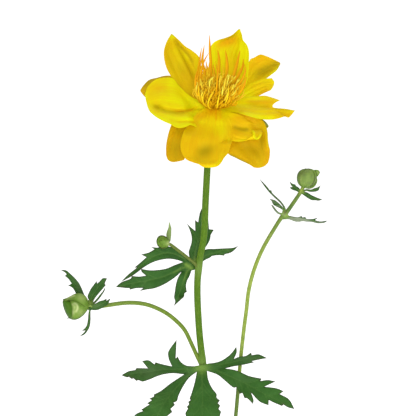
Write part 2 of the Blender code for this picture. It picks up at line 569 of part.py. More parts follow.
# ================================ buds ==============================================================
ball("bud_left", 75.4, 306.6, LEFT_BUD_D, 12.3, 12.9, 4.6, BUD_C, 12, 9,
     shape=lambda q: Vector((q.x - 0.10 * max(q.z, 0) ** 2 * (1 if q.x < 0 else 0), q.y * (1 - 0.15 * max(-q.x, 0)), q.z * (1 - 0.25 * max(q.x, 0) ** 2))))
ball("bud_middle", 162.6, 242.4, MIDDLE_BUD_D, 6.6, 7.0, 2.5, BUD_C, 10, 7)
ball("bud_right", 307.2, 178.2, RIGHT_BUD_D, 9.9, 8.9, 3.6, BUD_C, 12, 8)
tube("bract_middle", curve([lift(168.6, 241.6, MIDDLE_BUD_D - 2.3), lift(168.9, 233, MIDDLE_BUD_D - 2.0), lift(169.8, 228, MIDDLE_BUD_D - 1.4), lift(169.2, 222, MIDDLE_BUD_D - 0.8)], 6),
     lambda f: 0.9 * (1 - 0.75 * max(f - 0.25, 0) / 0.75), 4, THIN_C, flat=0.35, face=lambda f: -AWAY, phase=0.5)

# ================================ leaves =============================================================
leaf("stem_leaf_lower",
     [(194, 366.3, 1.9), (184.3, 374.3, 2.6), (196.9, 371.7, 2.4), (207, 370.9, 2.4), (225, 368.4, 2.6), (209, 363.5, 1.95)],
     (201.5, 368, 2.0),
     [
         (0, 1, [(186, 365.4), (180.3, 361.4), (177.7, 356.5), (175.7, 358.5), (176, 351.6), (176.5, 339.9), (171.5, 346.5), (168.2, 352.2), (168.8, 359), (172, 366.3),
                 (163.6, 364.6), (155.6, 362.3), (154.4, 364.4), (148.7, 360.3), (142, 361), (148, 368.3), (136.4, 368), (135.6, 369.6), (128.6, 371.2), (121.4, 375.2),
                 (131.5, 377.5), (135, 378.6), (141.2, 381), (148.7, 379.5), (160.2, 375.2), (171.7, 373.2)],
          [(186, 369.5), (175, 369.5), (160, 370), (145, 372.5), (130, 374.5)],
          [(.4, 3.2), (1, 4.2)], 0, 0.12, 0.06),
         (1, 2, [(171.7, 382.6), (160.2, 391.3), (153.9, 394.4), (153.9, 396.5), (149.3, 398.7), (152, 400), (147, 403.3), (149.5, 404.5), (141.2, 409.6), (143, 411), (135.8, 414.2),
                 (129, 424.5), (138, 421.5), (134.5, 431), (139.5, 429), (138.5, 438), (143, 436), (143.5, 449), (150.5, 439), (152.5, 444), (155.5, 432), (159.5, 437),
                 (160.5, 427), (164.5, 428), (165, 419), (172.2, 411.9), (170.5, 409), (174.8, 405), (173.5, 402.5), (176.8, 401), (178.3, 396.4), (179.7, 393), (183, 386.7), (188.9, 378)],
          [(186, 378), (175, 389), (165, 402), (156, 418), (149, 434)],
          [(.3, 8), (.6, 13), (1, 17)], 0, 0, 0.07),
         (2, 3, [(194.6, 382.6), (191.8, 392.4), (189.5, 398.7), (190.8, 400), (188.3, 401.9), (189, 404), (186.9, 406.8), (188, 408.5), (185.4, 413.6), (186, 416), (182.5, 424),
                 (187.5, 422), (185, 432), (190, 429.5), (189.5, 440), (194, 437), (200.5, 456), (207, 438), (211.5, 441), (212, 430), (216.5, 433), (216.5, 422.5), (221.5, 424.5),
                 (220, 416), (220.9, 411.6), (218.5, 409), (220.2, 405.6), (217.8, 403), (219.8, 400.4), (216.5, 397.5), (216.7, 394.4), (211.8, 387.7), (208.2, 379.3)],
          [(202, 378), (202.5, 392), (202.5, 408), (202, 424), (201, 441)],
          [(.25, 8.5), (.5, 14.5), (.75, 19), (1, 21.5)], 0, 0, 0.07),
         (3, 4, [(218, 375), (225, 380.7), (233.9, 387.7), (236.3, 387), (239.8, 393.7), (242.3, 393), (244.7, 398.2), (246.8, 398.2), (252.8, 403.9), (253.5, 400.4), (251, 392.6),
                 (260, 401.8), (268.6, 405.3), (268.6, 400), (274.2, 402.8), (282, 406), (283.3, 404.6), (288.2, 407.4), (294.6, 409.1), (288.9, 399.3), (279.8, 394), (283.7, 391.2),
                 (277, 388.4), (264.4, 386.7), (275.6, 381.4), (267.9, 380), (260.2, 381), (261.6, 378.6), (249.6, 376.1), (235.6, 370.2)],
          [(222, 373), (235, 378.5), (250, 386), (266, 394.5), (281, 402)],
          [(.3, 5.5), (.6, 9), (1, 12.5)], 0, 0.05, 0.06),
         (4, 5, [(233.5, 366.3), (242.6, 364.9), (253.9, 362.5), (251.7, 361.2), (258.8, 359.6), (267.2, 358.2), (258.8, 354.4), (251.7, 355.2), (251, 352.6), (246, 355.8),
                 (239, 356.8), (233.9, 359), (236.7, 352), (236.3, 346.7), (231.4, 353.3), (225, 358.6), (218, 362)],
          [(220, 365), (230, 362.8), (243, 360), (256, 358)],
          [(.4, 1.0), (1, -4.5)], 0, 0.08, 0.06),
     ])

leaf("stem_leaf_upper",
     [(189.5, 257.5, -1.6), (199, 258, -2.1), (199.5, 264.5, -2.1), (199.5, 268.5, -2.1), (191.5, 270.5, -1.2), (181.5, 271.5, -0.6), (183, 262, -0.6)],
     (190, 265, -1.2),
     [
         (0, 1, [(188.7, 252), (190, 247.5), (191.6, 242), (191.6, 236.5), (190, 230.5), (187, 223.8), (192, 228.3), (195.3, 231), (195, 220), (198.2, 222.5), (199, 217),
                 (200.8, 210.5), (204.5, 203.5), (207, 213), (208.4, 221.5), (209, 229.2), (213.8, 229.8), (210.8, 235), (210, 239.5), (206.5, 246), (202.4, 252)],
          [(195.5, 250), (199, 238), (202, 224), (204, 211)],
          [(.3, -3.0), (.6, -5.0), (1, -7.0)], 0, 0, -0.05),
         (1, 2, [(205, 249.9), (215, 248.9), (224, 248.4), (233, 247.8), (237.8, 246.2), (234.5, 250), (230.5, 252.6), (224.4, 254.3), (224.2, 255.6), (218, 255.2),
                 (211.5, 256.3), (210.3, 257.4), (204.5, 260.3)],
          [(206, 255.5), (216, 252.5), (227, 250)],
          [(.3, -3.2), (1, -8.0)], 0, 0, -0.05),
         (4, 5, [(189.5, 276), (187, 280.8), (186, 286), (186.8, 291.8), (184.6, 293.2), (184.2, 296), (180.5, 300), (177, 303), (174.2, 305.7), (175.2, 301.5), (174.2, 297.5),
                 (175, 291), (175.6, 286.6), (177.5, 279)],
          [(184, 279), (181, 289), (178, 298)],
          [(.4, 1.5), (1, 5.5)], 0, 0, 0.06),
         (5, 6, [(176, 276.5), (167, 282.7), (160, 286.3), (153.6, 288.5), (146, 289.6), (139.7, 290.9), (143.5, 288), (136, 288.2), (130.1, 289.6), (129.5, 288.2), (122, 287.6),
                 (115.8, 287), (121, 282.5), (131, 278.2), (131.8, 276), (139, 276.6), (146, 275.6), (141.5, 271.5), (141.1, 268.9), (149.8, 270.3), (158, 270), (167, 268.4), (175, 265)],
          [(178, 269.5), (165, 276), (150, 280), (135, 283), (124, 285.5)],
          [(.3, 0.4), (.6, 1.4), (1, 2.4)], 0, 0.05, 0.05),
         (6, 0, [(178, 260.2), (169, 258.8), (160, 260), (153.6, 262), (147.5, 265), (141.5, 269), (136, 273.2), (130, 277.2), (121, 281.8), (127.5, 275.2), (133, 270.8), (137, 267.6),
                 (134.5, 267.6), (140, 263), (146.5, 257.2), (141.2, 254.5), (149, 252.5), (154.5, 249.3), (151, 247), (157.4, 247.6), (167, 246.4), (174.6, 248.3), (183.5, 254)],
          [(182, 257.5), (172, 253), (160, 254), (149, 259), (140, 266.5), (131, 274)],
          [(.3, -1.2), (.6, 1.8), (1, 7.0)], 0, 0.0, 0.05),
     ])

leaf("bract_leaf_left",
     [(88.9, 302.3, -1.3), (90.2, 301.8, -1.3), (92.8, 302.8, -0.6), (93.6, 304.2, 1.15), (91.8, 309.8, 1.45), (90.6, 310.6, 1.45), (89.0, 310.2, 1.45), (89.5, 305.4, 1.4)],
     (91.3, 305.6, 1.5),
     [
         (0, 1, [(84.5, 301.2), (80, 297.6), (76, 293.4), (73.5, 289), (70.5, 286.4), (68.3, 285.6), (71.8, 283.7), (68.5, 279), (66.5, 277.2), (65, 276), (66.8, 274.2), (64.5, 272),
                 (61, 270), (66, 270.4), (70.8, 274.2), (75.5, 278.8), (79.6, 284), (82.3, 290), (84.5, 295), (86.4, 299.6)],
          [(84, 297), (79, 289), (73, 280), (67, 273)],
          [(.08, -3.2), (.2, -4.3), (.4, -3.4), (.7, -1.2), (1, 1)], 0, 0, 0.03),
         (1, 2, [(88.4, 299), (87.6, 296.5), (89, 292.5), (91, 288.5), (93.6, 285), (96.6, 281.2), (97.2, 283.6), (99.5, 281.5), (103, 278.2), (107, 278.4), (105.6, 281.5), (104.7, 283.8),
                 (105.7, 285.2), (103.5, 287.8), (100, 292), (96.5, 296.2), (94.2, 299.5)],
          [(91.5, 297.5), (95.5, 291), (100, 285), (104, 280.5)],
          [(.3, -0.4), (.7, 0), (1, .8)], 0, 0, 0.05),
         (2, 3, [(96.2, 299.4), (99.8, 295), (103, 291), (105.2, 287.4), (104.6, 290.6), (101.2, 296), (97.4, 300.8)],
          [(96.4, 300.1), (100, 295.8), (103, 291.8)], [(.4, 0.9), (1, 1.4)], 0, 0, 0),
         (3, 4, [(97, 302.6), (100, 301), (103.5, 300.2), (106.6, 298.6), (106.3, 300.8), (108, 299.8), (110.4, 298.3), (109, 302), (107.5, 304.8), (104, 306.8), (100.5, 308.8), (97.5, 309.9), (94, 310.2)],
          [(96, 307), (101, 304.5), (106, 302)],
          [(.3, 1.5), (1, 1.9)], 0, 0, 0.04),
         (5, 6, [(90.4, 314), (90.5, 320), (89.8, 326), (87.7, 330.5), (84.5, 334.4), (79.5, 336.6), (83.2, 333.2), (85.6, 330.4), (82, 330.8), (86.2, 326.5), (87.9, 320), (88.4, 314)],
          [(89.4, 315), (89.2, 321), (88, 327.2), (86.6, 330.4)],
          [(.4, 1.6), (1, 0.4)], 0, 0, 0.03),
     ], base_d=LEFT_BUD_D)

leaf("bract_leaf_right_low",
     [(281.9, 213, 1.2), (282.6, 210, 1.2), (284, 208.4, 1.2), (285.8, 208.9, 1.25), (286.6, 213, 1.3), (289, 215.8, 1.3), (288, 219.2, 1.3), (283, 219.4, 1.3), (281.4, 215, 1.2)],
     (284.6, 214.6, 1.35),
     [
         (8, 0, [(278, 213.8), (275, 211), (272.8, 208), (271.2, 205), (273, 205.4), (275.2, 208.4), (277.6, 211.2), (280, 212.8)],
          [(278, 212.7), (275.1, 209.9), (273, 207)], [(.5, 1.6), (1, 2.0)], 0, 0, 0),
         (1, 2, [(279.5, 208), (276, 206.4), (273.2, 204.4), (271.8, 201.5), (269.6, 199), (272.8, 199.6), (275.5, 200.6), (278.8, 203.2), (281.6, 206)],
          [(281, 206.9), (277.5, 204.3), (273.5, 201.6)], [(.5, 1.5), (1, 2.4)], 0, 0, 0.05),
         (2, 3, [(281.3, 204.2), (277.5, 200.3), (273.5, 196.7), (270.2, 193.3), (266, 188.3), (263, 184.3), (259.6, 179), (264.6, 184), (267.6, 187.4), (270.0, 190.6), (271.2, 189.8), (272, 192.6),
                 (276.2, 196.8), (280.9, 201.2), (284.2, 205.6)],
          [(281.4, 203), (276, 197.8), (270.8, 192.8), (265.6, 186.8)], [(.5, 0.6), (1, -0.6)], 0, 0, 0),
         (5, 6, [(293, 216.6), (297.5, 217.2), (301.6, 216), (302.4, 217.6), (305.4, 217), (306.2, 218.6), (309, 219.2), (313, 219.0), (317.8, 217.8), (314.8, 220.2), (320, 221.4), (327.5, 220.6),
                 (324.5, 222.7), (317.5, 223.2), (312, 222), (306, 221.6), (302.5, 221.2), (299.5, 221.8), (294.5, 221.4), (291, 220)],
          [(293, 218.9), (300, 219.3), (308, 220.4), (316, 221.8)], [(.3, 2.4), (.7, 2.8), (1, 2.0)], 0, 0, 0.05),
     ], base_d=-5.1)

leaf("bract_leaf_right_top",
     [(299.4, 193, 1.2), (300.2, 189.4, 1.2), (303.6, 189.8, 1.25), (304.2, 191.6, 1.25), (302.4, 194.2, 1.2)],
     (302, 191.5, 1.35),
     [
         (0, 1, [(296.5, 191.2), (293, 190), (291, 188.8), (289.8, 187.4), (292.6, 187), (291, 185), (289.6, 181.6), (292.6, 183.8), (295.3, 184.6), (295.8, 185.8), (298.3, 187.4)],
          [(297, 189), (294, 187), (291.6, 184.4)], [(.4, 1.2), (1, 0.6)], 0, 0, 0.05),
         (2, 3, [(306.5, 189.2), (311, 189.6), (314.5, 188.2), (317.5, 187.4), (320.6, 185.4), (319.4, 188.4), (318.6, 190.2), (315.5, 191.6), (310, 191.8), (306.5, 191)],
          [(307, 190.2), (312, 190.6), (317, 189)], [(.15, 3.4), (.5, 3.9), (1, 4.0)], 0, 0, 0.03),
         (3, 4, [(307, 192.4), (311, 194.8), (315.5, 197), (319.5, 198.6), (322.4, 199.4), (319, 200.6), (314.8, 200.2), (312, 200.2), (308, 198.2), (304.5, 195.8)],
          [(306.5, 194.8), (311.5, 197.4), (317, 199.3)], [(.4, 2.0), (1, 2.8)], 0, 0, 0.05),
     ], base_d=-6.0)

# ---- basal leaves: one palmate blade on a long petiole -------------------------------------------------
# A segment's half outline: how far along it, and how far out, for a segment of length 1.
HALF = [(0.24, 0.06), (0.44, 0.20), (0.56, 0.295), (0.61, 0.23), (0.70, 0.29), (0.75, 0.18), (0.86, 0.16)]


def basal_leaf(name, foot_deg, foot_r, toward, reach, height, size, droop, roll):
    """foot_deg and foot_r place the petiole in the soil; toward is the direction that the leaf leans
    in; reach and height place the hub; size is the longest segment; droop tilts the blade."""
    a = math.radians(toward)
    out = Vector((math.cos(a), math.sin(a), 0))
    side = Vector((-math.sin(a), math.cos(a), 0))
    tilt = math.radians(droop)
    lean = math.radians(roll)
    yax = out * math.cos(tilt) - Vector((0, 0, 1)) * math.sin(tilt)
    nrm = side.cross(-yax).normalized()
    if nrm.z < 0:
        nrm = -nrm
    xax = side * math.cos(lean) + nrm * math.sin(lean)
    nrm = (nrm * math.cos(lean) - side * math.sin(lean)).normalized()
    at = out * reach * MM + Vector((0, 0, height * MM))

    def place(x, y, d):
        r = math.hypot(x, y)
        d = d + 0.10 * r - 0.0085 * r * r
        return at + (xax * x + yax * y + nrm * d) * MM

    angles = [-112, -56, 0, 56, 112]
    lengths = [0.72, 0.90, 1.0, 0.90, 0.72]
    hub_r = 2.1
    cuts = [-150, -84, -28, 28, 84, 150]
    hub = []
    for c in cuts:
        b = math.radians(c)
        hub.append((hub_r * math.sin(b), hub_r * math.cos(b), 0.0))
    segs = []
    for i, (ang, ln) in enumerate(zip(angles, lengths)):
        b = math.radians(ang)
        ux, uy = math.sin(b), math.cos(b)
        L = size * ln

        def put(s, t, ux=ux, uy=uy, L=L):
            return (ux * s * L + uy * t * L, uy * s * L - ux * t * L)

        wide = 0.80 if i in (0, 4) else 0.88
        outline = [put(s, -t * wide) for s, t in HALF] + [put(1.0, 0.0)] + [put(s, t * wide) for s, t in reversed(HALF)]
        mid = [put(s, 0.0) for s in (0.26, 0.5, 0.75)]
        segs.append((i, i + 1, outline, mid, [(1, 0.0)], 0, 0, 0.16))
    points, faces, ring, hub_face = leaf_sheet(hub, None, segs, place)
    bm, top, low = thicken(points, faces, LEAF_T)
    bm.faces.ensure_lookup_table()
    # the petiole grows out of the hub's underside
    under = [low[i] for i in ring]
    if (top[ring[0]].co - low[ring[0]].co).dot(nrm) < 0:
        under = [top[i] for i in ring]
    for f in list(bm.faces):
        if set(f.verts) == set(under):
            bm.faces.remove(f)
            break
    fa = math.radians(foot_deg)
    foot = Vector((foot_r * math.cos(fa), foot_r * math.sin(fa), SOIL_TOP - SOCKET_DEPTH + 0.4)) * MM
    hub_at = sum((v.co for v in under), Vector()) / len(under)
    head = [hub_at - nrm * 1.6 * MM, hub_at - nrm * 3.6 * MM - out * 0.4 * MM]
    mid_pt = foot.lerp(hub_at, 0.55) + Vector((0, 0, 0.2 * (hub_at.z - foot.z)))
    mid_pt -= out * 0.006
    route = [head[1], mid_pt, foot + Vector((0, 0, 0.016)), foot + Vector((0, 0, 0.0075)), foot]
    path = head + curve(route, 9)[1:]
    path[-1] = foot
    ring_prev = under
    n = len(under)
    for i, p in enumerate(path):
        q0 = path[i - 1] if i else hub_at
        q1 = path[i + 1] if i + 1 < len(path) else p + (p - path[i - 1])
        t = (q1 - q0).normalized()
        r = (0.85 + 0.35 * (i / len(path)) ** 3) * MM
        ref = (ring_prev[0].co - (sum((v.co for v in ring_prev), Vector()) / n))
        ref = (ref - t * ref.dot(t)).normalized()
        other = t.cross(ref)
        s0 = ring_prev[1].co - (sum((v.co for v in ring_prev), Vector()) / n)
        if s0.dot(other) < 0:
            other = -other
        ring_new = []
        for k in range(n):
            ang = 2 * math.pi * k / n
            ring_new.append(bm.verts.new(p + (ref * math.cos(ang) + other * math.sin(ang)) * r))
        for k in range(n):
            bm.faces.new((ring_prev[k], ring_prev[(k + 1) % n], ring_new[(k + 1) % n], ring_new[k]))
        ring_prev = ring_new
    bm.faces.new(ring_prev)
    ob = finish(name, bm, LEAF_C, 0.5)
    return ob


BASAL = [
    # name, foot angle, foot radius, direction, hub reach, hub height, size, droop, roll
    ("basal_leaf_1", 352, 8.5, 4, 51.0, 146.0, 36.0, 16, 4),
    ("basal_leaf_2", 80, 9.5, 84, 52.0, 154.0, 35.0, 14, -5),
    ("basal_leaf_3", 168, 8.0, 178, 50.0, 150.0, 36.0, 15, 5),
    ("basal_leaf_4", 262, 9.0, 268, 53.0, 141.0, 34.0, 18, -3),
    ("basal_leaf_5", 212, 11.0, 222, 35.0, 131.0, 27.0, 12, 6),
]
for spec in BASAL:
    basal_leaf(*spec)

# sockets in the soil, a little wider than what stands in them
bm = bmesh.new()
feet = [(-0.65, 0.0, MAIN_STEM_R + 0.25), (right_foot.x, right_foot.y, RIGHT_STEM_R + 0.18)]
for spec in BASAL:
    fa = math.radians(spec[1])
    feet.append((spec[2] * math.cos(fa), spec[2] * math.sin(fa), 1.2))
for x, y, r in feet:
    at = Matrix.Translation(Vector((x, y, SOIL_TOP - SOCKET_DEPTH + 6.0)) * MM)
    bmesh.ops.create_cone(bm, cap_ends=True, segments=8, radius1=(r + 0.42) * MM, radius2=(r + 0.42) * MM, depth=12 * MM, matrix=at)
cutter = finish("socket_cutter", bm, SOIL_C, smooth=False)
cutter.hide_render = True
cutter.display_type = 'WIRE'
cut_mod = soil.modifiers.new("sockets", 'BOOLEAN')
cut_mod.operation = 'DIFFERENCE'
cut_mod.object = cutter
cut_mod.solver = 'EXACT'
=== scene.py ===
# The looks of the potted golden queen globeflower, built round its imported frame.
#
# Metres, +Z up. The fine pieces repeat the frame's own drawing: each outline point is (x, y) on a
# front drawing of 416 by 416 units, 0.375 mm a unit, with a depth in mm towards the front.
import math
import random

import bpy
import numpy as np
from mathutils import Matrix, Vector, geometry


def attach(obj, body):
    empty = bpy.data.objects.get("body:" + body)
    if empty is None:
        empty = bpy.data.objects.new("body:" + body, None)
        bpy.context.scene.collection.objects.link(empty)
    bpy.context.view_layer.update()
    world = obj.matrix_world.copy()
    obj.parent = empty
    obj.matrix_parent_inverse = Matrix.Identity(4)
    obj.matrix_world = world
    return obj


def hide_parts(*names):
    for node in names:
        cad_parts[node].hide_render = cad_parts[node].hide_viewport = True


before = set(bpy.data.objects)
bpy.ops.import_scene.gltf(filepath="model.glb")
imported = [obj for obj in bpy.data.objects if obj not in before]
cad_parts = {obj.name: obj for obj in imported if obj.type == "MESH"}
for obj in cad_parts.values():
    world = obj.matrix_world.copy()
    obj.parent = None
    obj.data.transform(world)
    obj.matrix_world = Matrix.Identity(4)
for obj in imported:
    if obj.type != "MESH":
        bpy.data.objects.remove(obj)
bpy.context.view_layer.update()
random.seed(7)

MM = 0.001
DRAW_UNIT, DRAW_SIZE, DRAW_DISTANCE, DRAW_PITCH, DRAW_CENTRE_Z = 0.375, 416, 1200.0, 8.0, 271.5
FLOWER_D, FLOWER_TILT, SEPAL_SPREAD = 4.0, 38.0, 0.45
LEFT_BUD_D, MIDDLE_BUD_D, RIGHT_BUD_D = 12.0, 3.2, -6.0
SOIL_TOP, SOIL_EDGE, SOCKET_DEPTH, FLOOR_T, GAP = 99.5, 97.2, 6.0, 6.8, 0.3
POT_HEIGHT, POT_RIM_R, POT_BODY_TOP_R, POT_FOOT_R, POT_WALL, RIM_BAND, DRAIN_R = 112.0, 64.0, 57.6, 42.0, 5.4, 24.0, 8.0
MAIN_STEM_R, SIDE_STEM_R, RIGHT_STEM_R, STALK_R = 1.2, 0.77, 0.76, 0.6

_p = math.radians(DRAW_PITCH)
AWAY = np.array((0.0, math.cos(_p), -math.sin(_p)))
RIGHT = np.array((1.0, 0.0, 0.0))
UP = np.array((0.0, math.sin(_p), math.cos(_p)))
EYE = np.array((0, 0, DRAW_CENTRE_Z)) - AWAY * DRAW_DISTANCE


# ---- the drawing ---------------------------------------------------------------------------------
def rays(x, y):
    x, y = np.asarray(x, float), np.asarray(y, float)
    k, half = DRAW_UNIT / DRAW_DISTANCE, DRAW_SIZE / 2.0
    return AWAY + RIGHT * ((x - half) * k)[..., None] + UP * ((half - y) * k)[..., None]


def lift(x, y, d=0.0):
    r = rays(x, y)
    return (EYE + r * ((-np.asarray(d, float) - EYE[1]) / r[..., 1])[..., None]) * MM


def lift_flower(x, y, d=0.0):
    c, r = rays(214, 105.5), rays(x, y)
    return (EYE + r * ((-FLOWER_D - EYE[1]) / c[1] - np.asarray(d, float))[..., None]) * MM


def curve(points, n):
    """n points evenly along a smooth curve through the given points, as an array."""
    pts = [np.array(p, float) for p in points]
    if len(pts) == 2:
        return np.array([pts[0] + (pts[1] - pts[0]) * i / (n - 1) for i in range(n)])
    ext = [pts[0] * 2 - pts[1]] + pts + [pts[-1] * 2 - pts[-2]]
    fine = []
    for i in range(1, len(ext) - 2):
        p0, p1, p2, p3 = ext[i - 1:i + 3]
        t0 = 0.0
        t1 = t0 + max(np.linalg.norm(p1 - p0), 1e-9) ** 0.5
        t2 = t1 + max(np.linalg.norm(p2 - p1), 1e-9) ** 0.5
        t3 = t2 + max(np.linalg.norm(p3 - p2), 1e-9) ** 0.5
        for k in range(12):
            t = t1 + (t2 - t1) * k / 12.0
            a1 = p0 * ((t1 - t) / (t1 - t0)) + p1 * ((t - t0) / (t1 - t0))
            a2 = p1 * ((t2 - t) / (t2 - t1)) + p2 * ((t - t1) / (t2 - t1))
            a3 = p2 * ((t3 - t) / (t3 - t2)) + p3 * ((t - t2) / (t3 - t2))
            b1 = a1 * ((t2 - t) / (t2 - t0)) + a2 * ((t - t0) / (t2 - t0))
            b2 = a2 * ((t3 - t) / (t3 - t1)) + a3 * ((t - t1) / (t3 - t1))
            fine.append(b1 * ((t2 - t) / (t2 - t1)) + b2 * ((t - t1) / (t2 - t1)))
    fine.append(pts[-1])
    fine = np.array(fine)
    run = np.concatenate([[0.0], np.cumsum(np.linalg.norm(np.diff(fine, axis=0), axis=1))])
    want = np.linspace(0, run[-1], n)
    return np.stack([np.interp(want, run, fine[:, k]) for k in range(fine.shape[1])], axis=1)


def smooth_table(pairs, s):
    """A smooth value through the (s, value) pairs, for an array s."""
    s = np.asarray(s, float)
    xs, ys = np.array([p[0] for p in pairs], float), np.array([p[1] for p in pairs], float)
    if len(xs) == 2:
        f = np.clip((s - xs[0]) / (xs[1] - xs[0]), 0, 1)
        return ys[0] + (ys[1] - ys[0]) * f
    h, slope = np.diff(xs), np.diff(ys) / np.diff(xs)
    m = np.zeros(len(xs))
    m[0], m[-1] = slope[0], slope[-1]
    for i in range(1, len(xs) - 1):
        if slope[i - 1] * slope[i] > 0:
            m[i] = (h[i] + h[i - 1]) * 2 / ((h[i] * 2 + h[i - 1]) / slope[i - 1] + (h[i] + 2 * h[i - 1]) / slope[i]) * 0.85
    i = np.clip(np.searchsorted(xs, s, side="right") - 1, 0, len(xs) - 2)
    t = np.clip((s - xs[i]) / h[i], 0, 1)
    a, b = 2 * t ** 3 - 3 * t ** 2 + 1, t ** 3 - 2 * t ** 2 + t
    return a * ys[i] + b * h[i] * m[i] + (1 - a) * ys[i + 1] + (t ** 3 - t ** 2) * h[i] * m[i + 1]


def wob(x, y, seed, scale=1.0):
    """A soft wandering value, about -1 to 1, over two coordinates."""
    r = random.Random(seed)
    out = np.zeros_like(np.asarray(x, float) + np.asarray(y, float))
    for k in range(6):
        a, f, ph = r.uniform(0, 2 * math.pi), (0.6 + 0.45 * k) / scale, r.uniform(0, 2 * math.pi)
        out = out + np.sin((x * math.cos(a) + y * math.sin(a)) * f + ph) / (1 + 0.5 * k)
    return out / 2.4


def to_line(x, y, line):
    """For each point its distance from a polyline, and how far along it the nearest point lies."""
    line = np.asarray(line, float)[:, :2]
    a, d = line[:-1], np.diff(line, axis=0)
    ln = np.linalg.norm(d, axis=1)
    run = np.concatenate([[0.0], np.cumsum(ln)])
    px, py = np.asarray(x, float)[..., None] - a[:, 0], np.asarray(y, float)[..., None] - a[:, 1]
    f = np.clip((px * d[:, 0] + py * d[:, 1]) / np.maximum(ln ** 2, 1e-12), 0, 1)
    gap = np.hypot(px - f * d[:, 0], py - f * d[:, 1])
    i = gap.argmin(axis=-1)
    pick = np.take_along_axis(f, i[..., None], -1)[..., 0]
    return np.take_along_axis(gap, i[..., None], -1)[..., 0], (run[i] + ln[i] * pick) / run[-1]


def lump(x, y, cx, cy, rx, ry=None, deg=0.0):
    """A smooth bump, 1 at its middle."""
    ry = rx if ry is None else ry
    a = math.radians(deg)
    u, v = (x - cx) * math.cos(a) + (y - cy) * math.sin(a), -(x - cx) * math.sin(a) + (y - cy) * math.cos(a)
    return np.exp(-(u / rx) ** 2 - (v / ry) ** 2)


# ---- meshes ----------------------------------------------------------------------------------------
class Piece:
    """Collects closed shells with point attributes, and makes one object of them."""

    def __init__(self):
        self.v, self.f, self.a, self.n, self.uv = [], [], [], 0, []

    def add(self, points, faces, uv=None, **attrs):
        points = np.asarray(points, float)
        self.v.append(points)
        self.f += [tuple(int(i) + self.n for i in f) for f in faces]
        self.a.append((len(points), attrs))
        self.uv.append(np.zeros((len(points), 2)) if uv is None else np.asarray(uv, float))
        self.n += len(points)
        return self

    def make(self, name, mat, nodes=(), slot=None, body="root", sharp=None):
        me = bpy.data.meshes.new(name)
        co = np.vstack(self.v)
        me.from_pydata(co.tolist(), [], self.f)
        me.validate()
        names = sorted({k for _, a in self.a for k in a})
        for key in names:
            col = np.concatenate([np.broadcast_to(np.asarray(a.get(key, 0.0), float), (n,)) for n, a in self.a])
            at = me.attributes.new(key, "FLOAT", "POINT")
            at.data.foreach_set("value", col.astype(np.float32))
        uv = np.vstack(self.uv)
        if np.abs(uv).max() > 0:
            layer = me.uv_layers.new(name="Map")
            idx = np.empty(len(me.loops), np.int32)
            me.loops.foreach_get("vertex_index", idx)
            layer.data.foreach_set("uv", uv[idx].astype(np.float32).ravel())
        me.materials.append(mat)
        me.shade_smooth()
        if sharp:
            me.set_sharp_from_angle(angle=math.radians(sharp))
        ob = bpy.data.objects.new(name, me)
        bpy.context.scene.collection.objects.link(ob)
        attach(ob, body)
        if nodes:
            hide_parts(*nodes)
        return ob


def normals(P, F):
    F = np.asarray(F)
    if F.shape[1] == 4:
        n = np.cross(P[F[:, 2]] - P[F[:, 0]], P[F[:, 3]] - P[F[:, 1]])
    else:
        n = np.cross(P[F[:, 1]] - P[F[:, 0]], P[F[:, 2]] - P[F[:, 0]])
    out = np.zeros_like(P)
    for k in range(F.shape[1]):
        np.add.at(out, F[:, k], n)
    return out / np.maximum(np.linalg.norm(out, axis=1), 1e-15)[:, None]


def shell(P, F, thick, front):
    """A closed thin body from a sheet. thick is in mm, one value or one a point. The first half of the
    points is the skin that looks along front."""
    F = np.asarray(F)
    N = normals(P, F)
    if (N @ np.asarray(front, float)).mean() < 0:
        F, N = F[:, ::-1], -N
    h = (np.asarray(thick, float) * MM / 2 * np.ones(len(P)))[:, None]
    n = len(P)
    faces = [tuple(f) for f in F] + [tuple(f[::-1] + n) for f in F]
    heads, tails = F.ravel(), np.roll(F, -1, axis=1).ravel()
    edges = set(zip(heads.tolist(), tails.tolist()))
    faces += [(b, a, a + n, b + n) for a, b in edges if (b, a) not in edges]
    return np.vstack([P + N * h, P - N * h]), faces


def both(a):
    return np.concatenate([a, a])


def frames(path, face=None):
    path = np.asarray(path, float)
    t = np.gradient(path, axis=0)
    t /= np.maximum(np.linalg.norm(t, axis=1), 1e-15)[:, None]
    us, vs = [], []
    side = np.array((0, 1, 0.0)) if abs(t[0][1]) < 0.9 else np.array((1.0, 0, 0))
    for i in range(len(path)):
        if face is not None:
            w = face[i] - t[i] * face[i].dot(t[i])
            w /= np.linalg.norm(w)
            us.append(np.cross(t[i], w))
            vs.append(w)
        else:
            side = side - t[i] * side.dot(t[i])
            side /= np.linalg.norm(side)
            us.append(side)
            vs.append(np.cross(t[i], side))
    return t, np.array(us), np.array(vs)


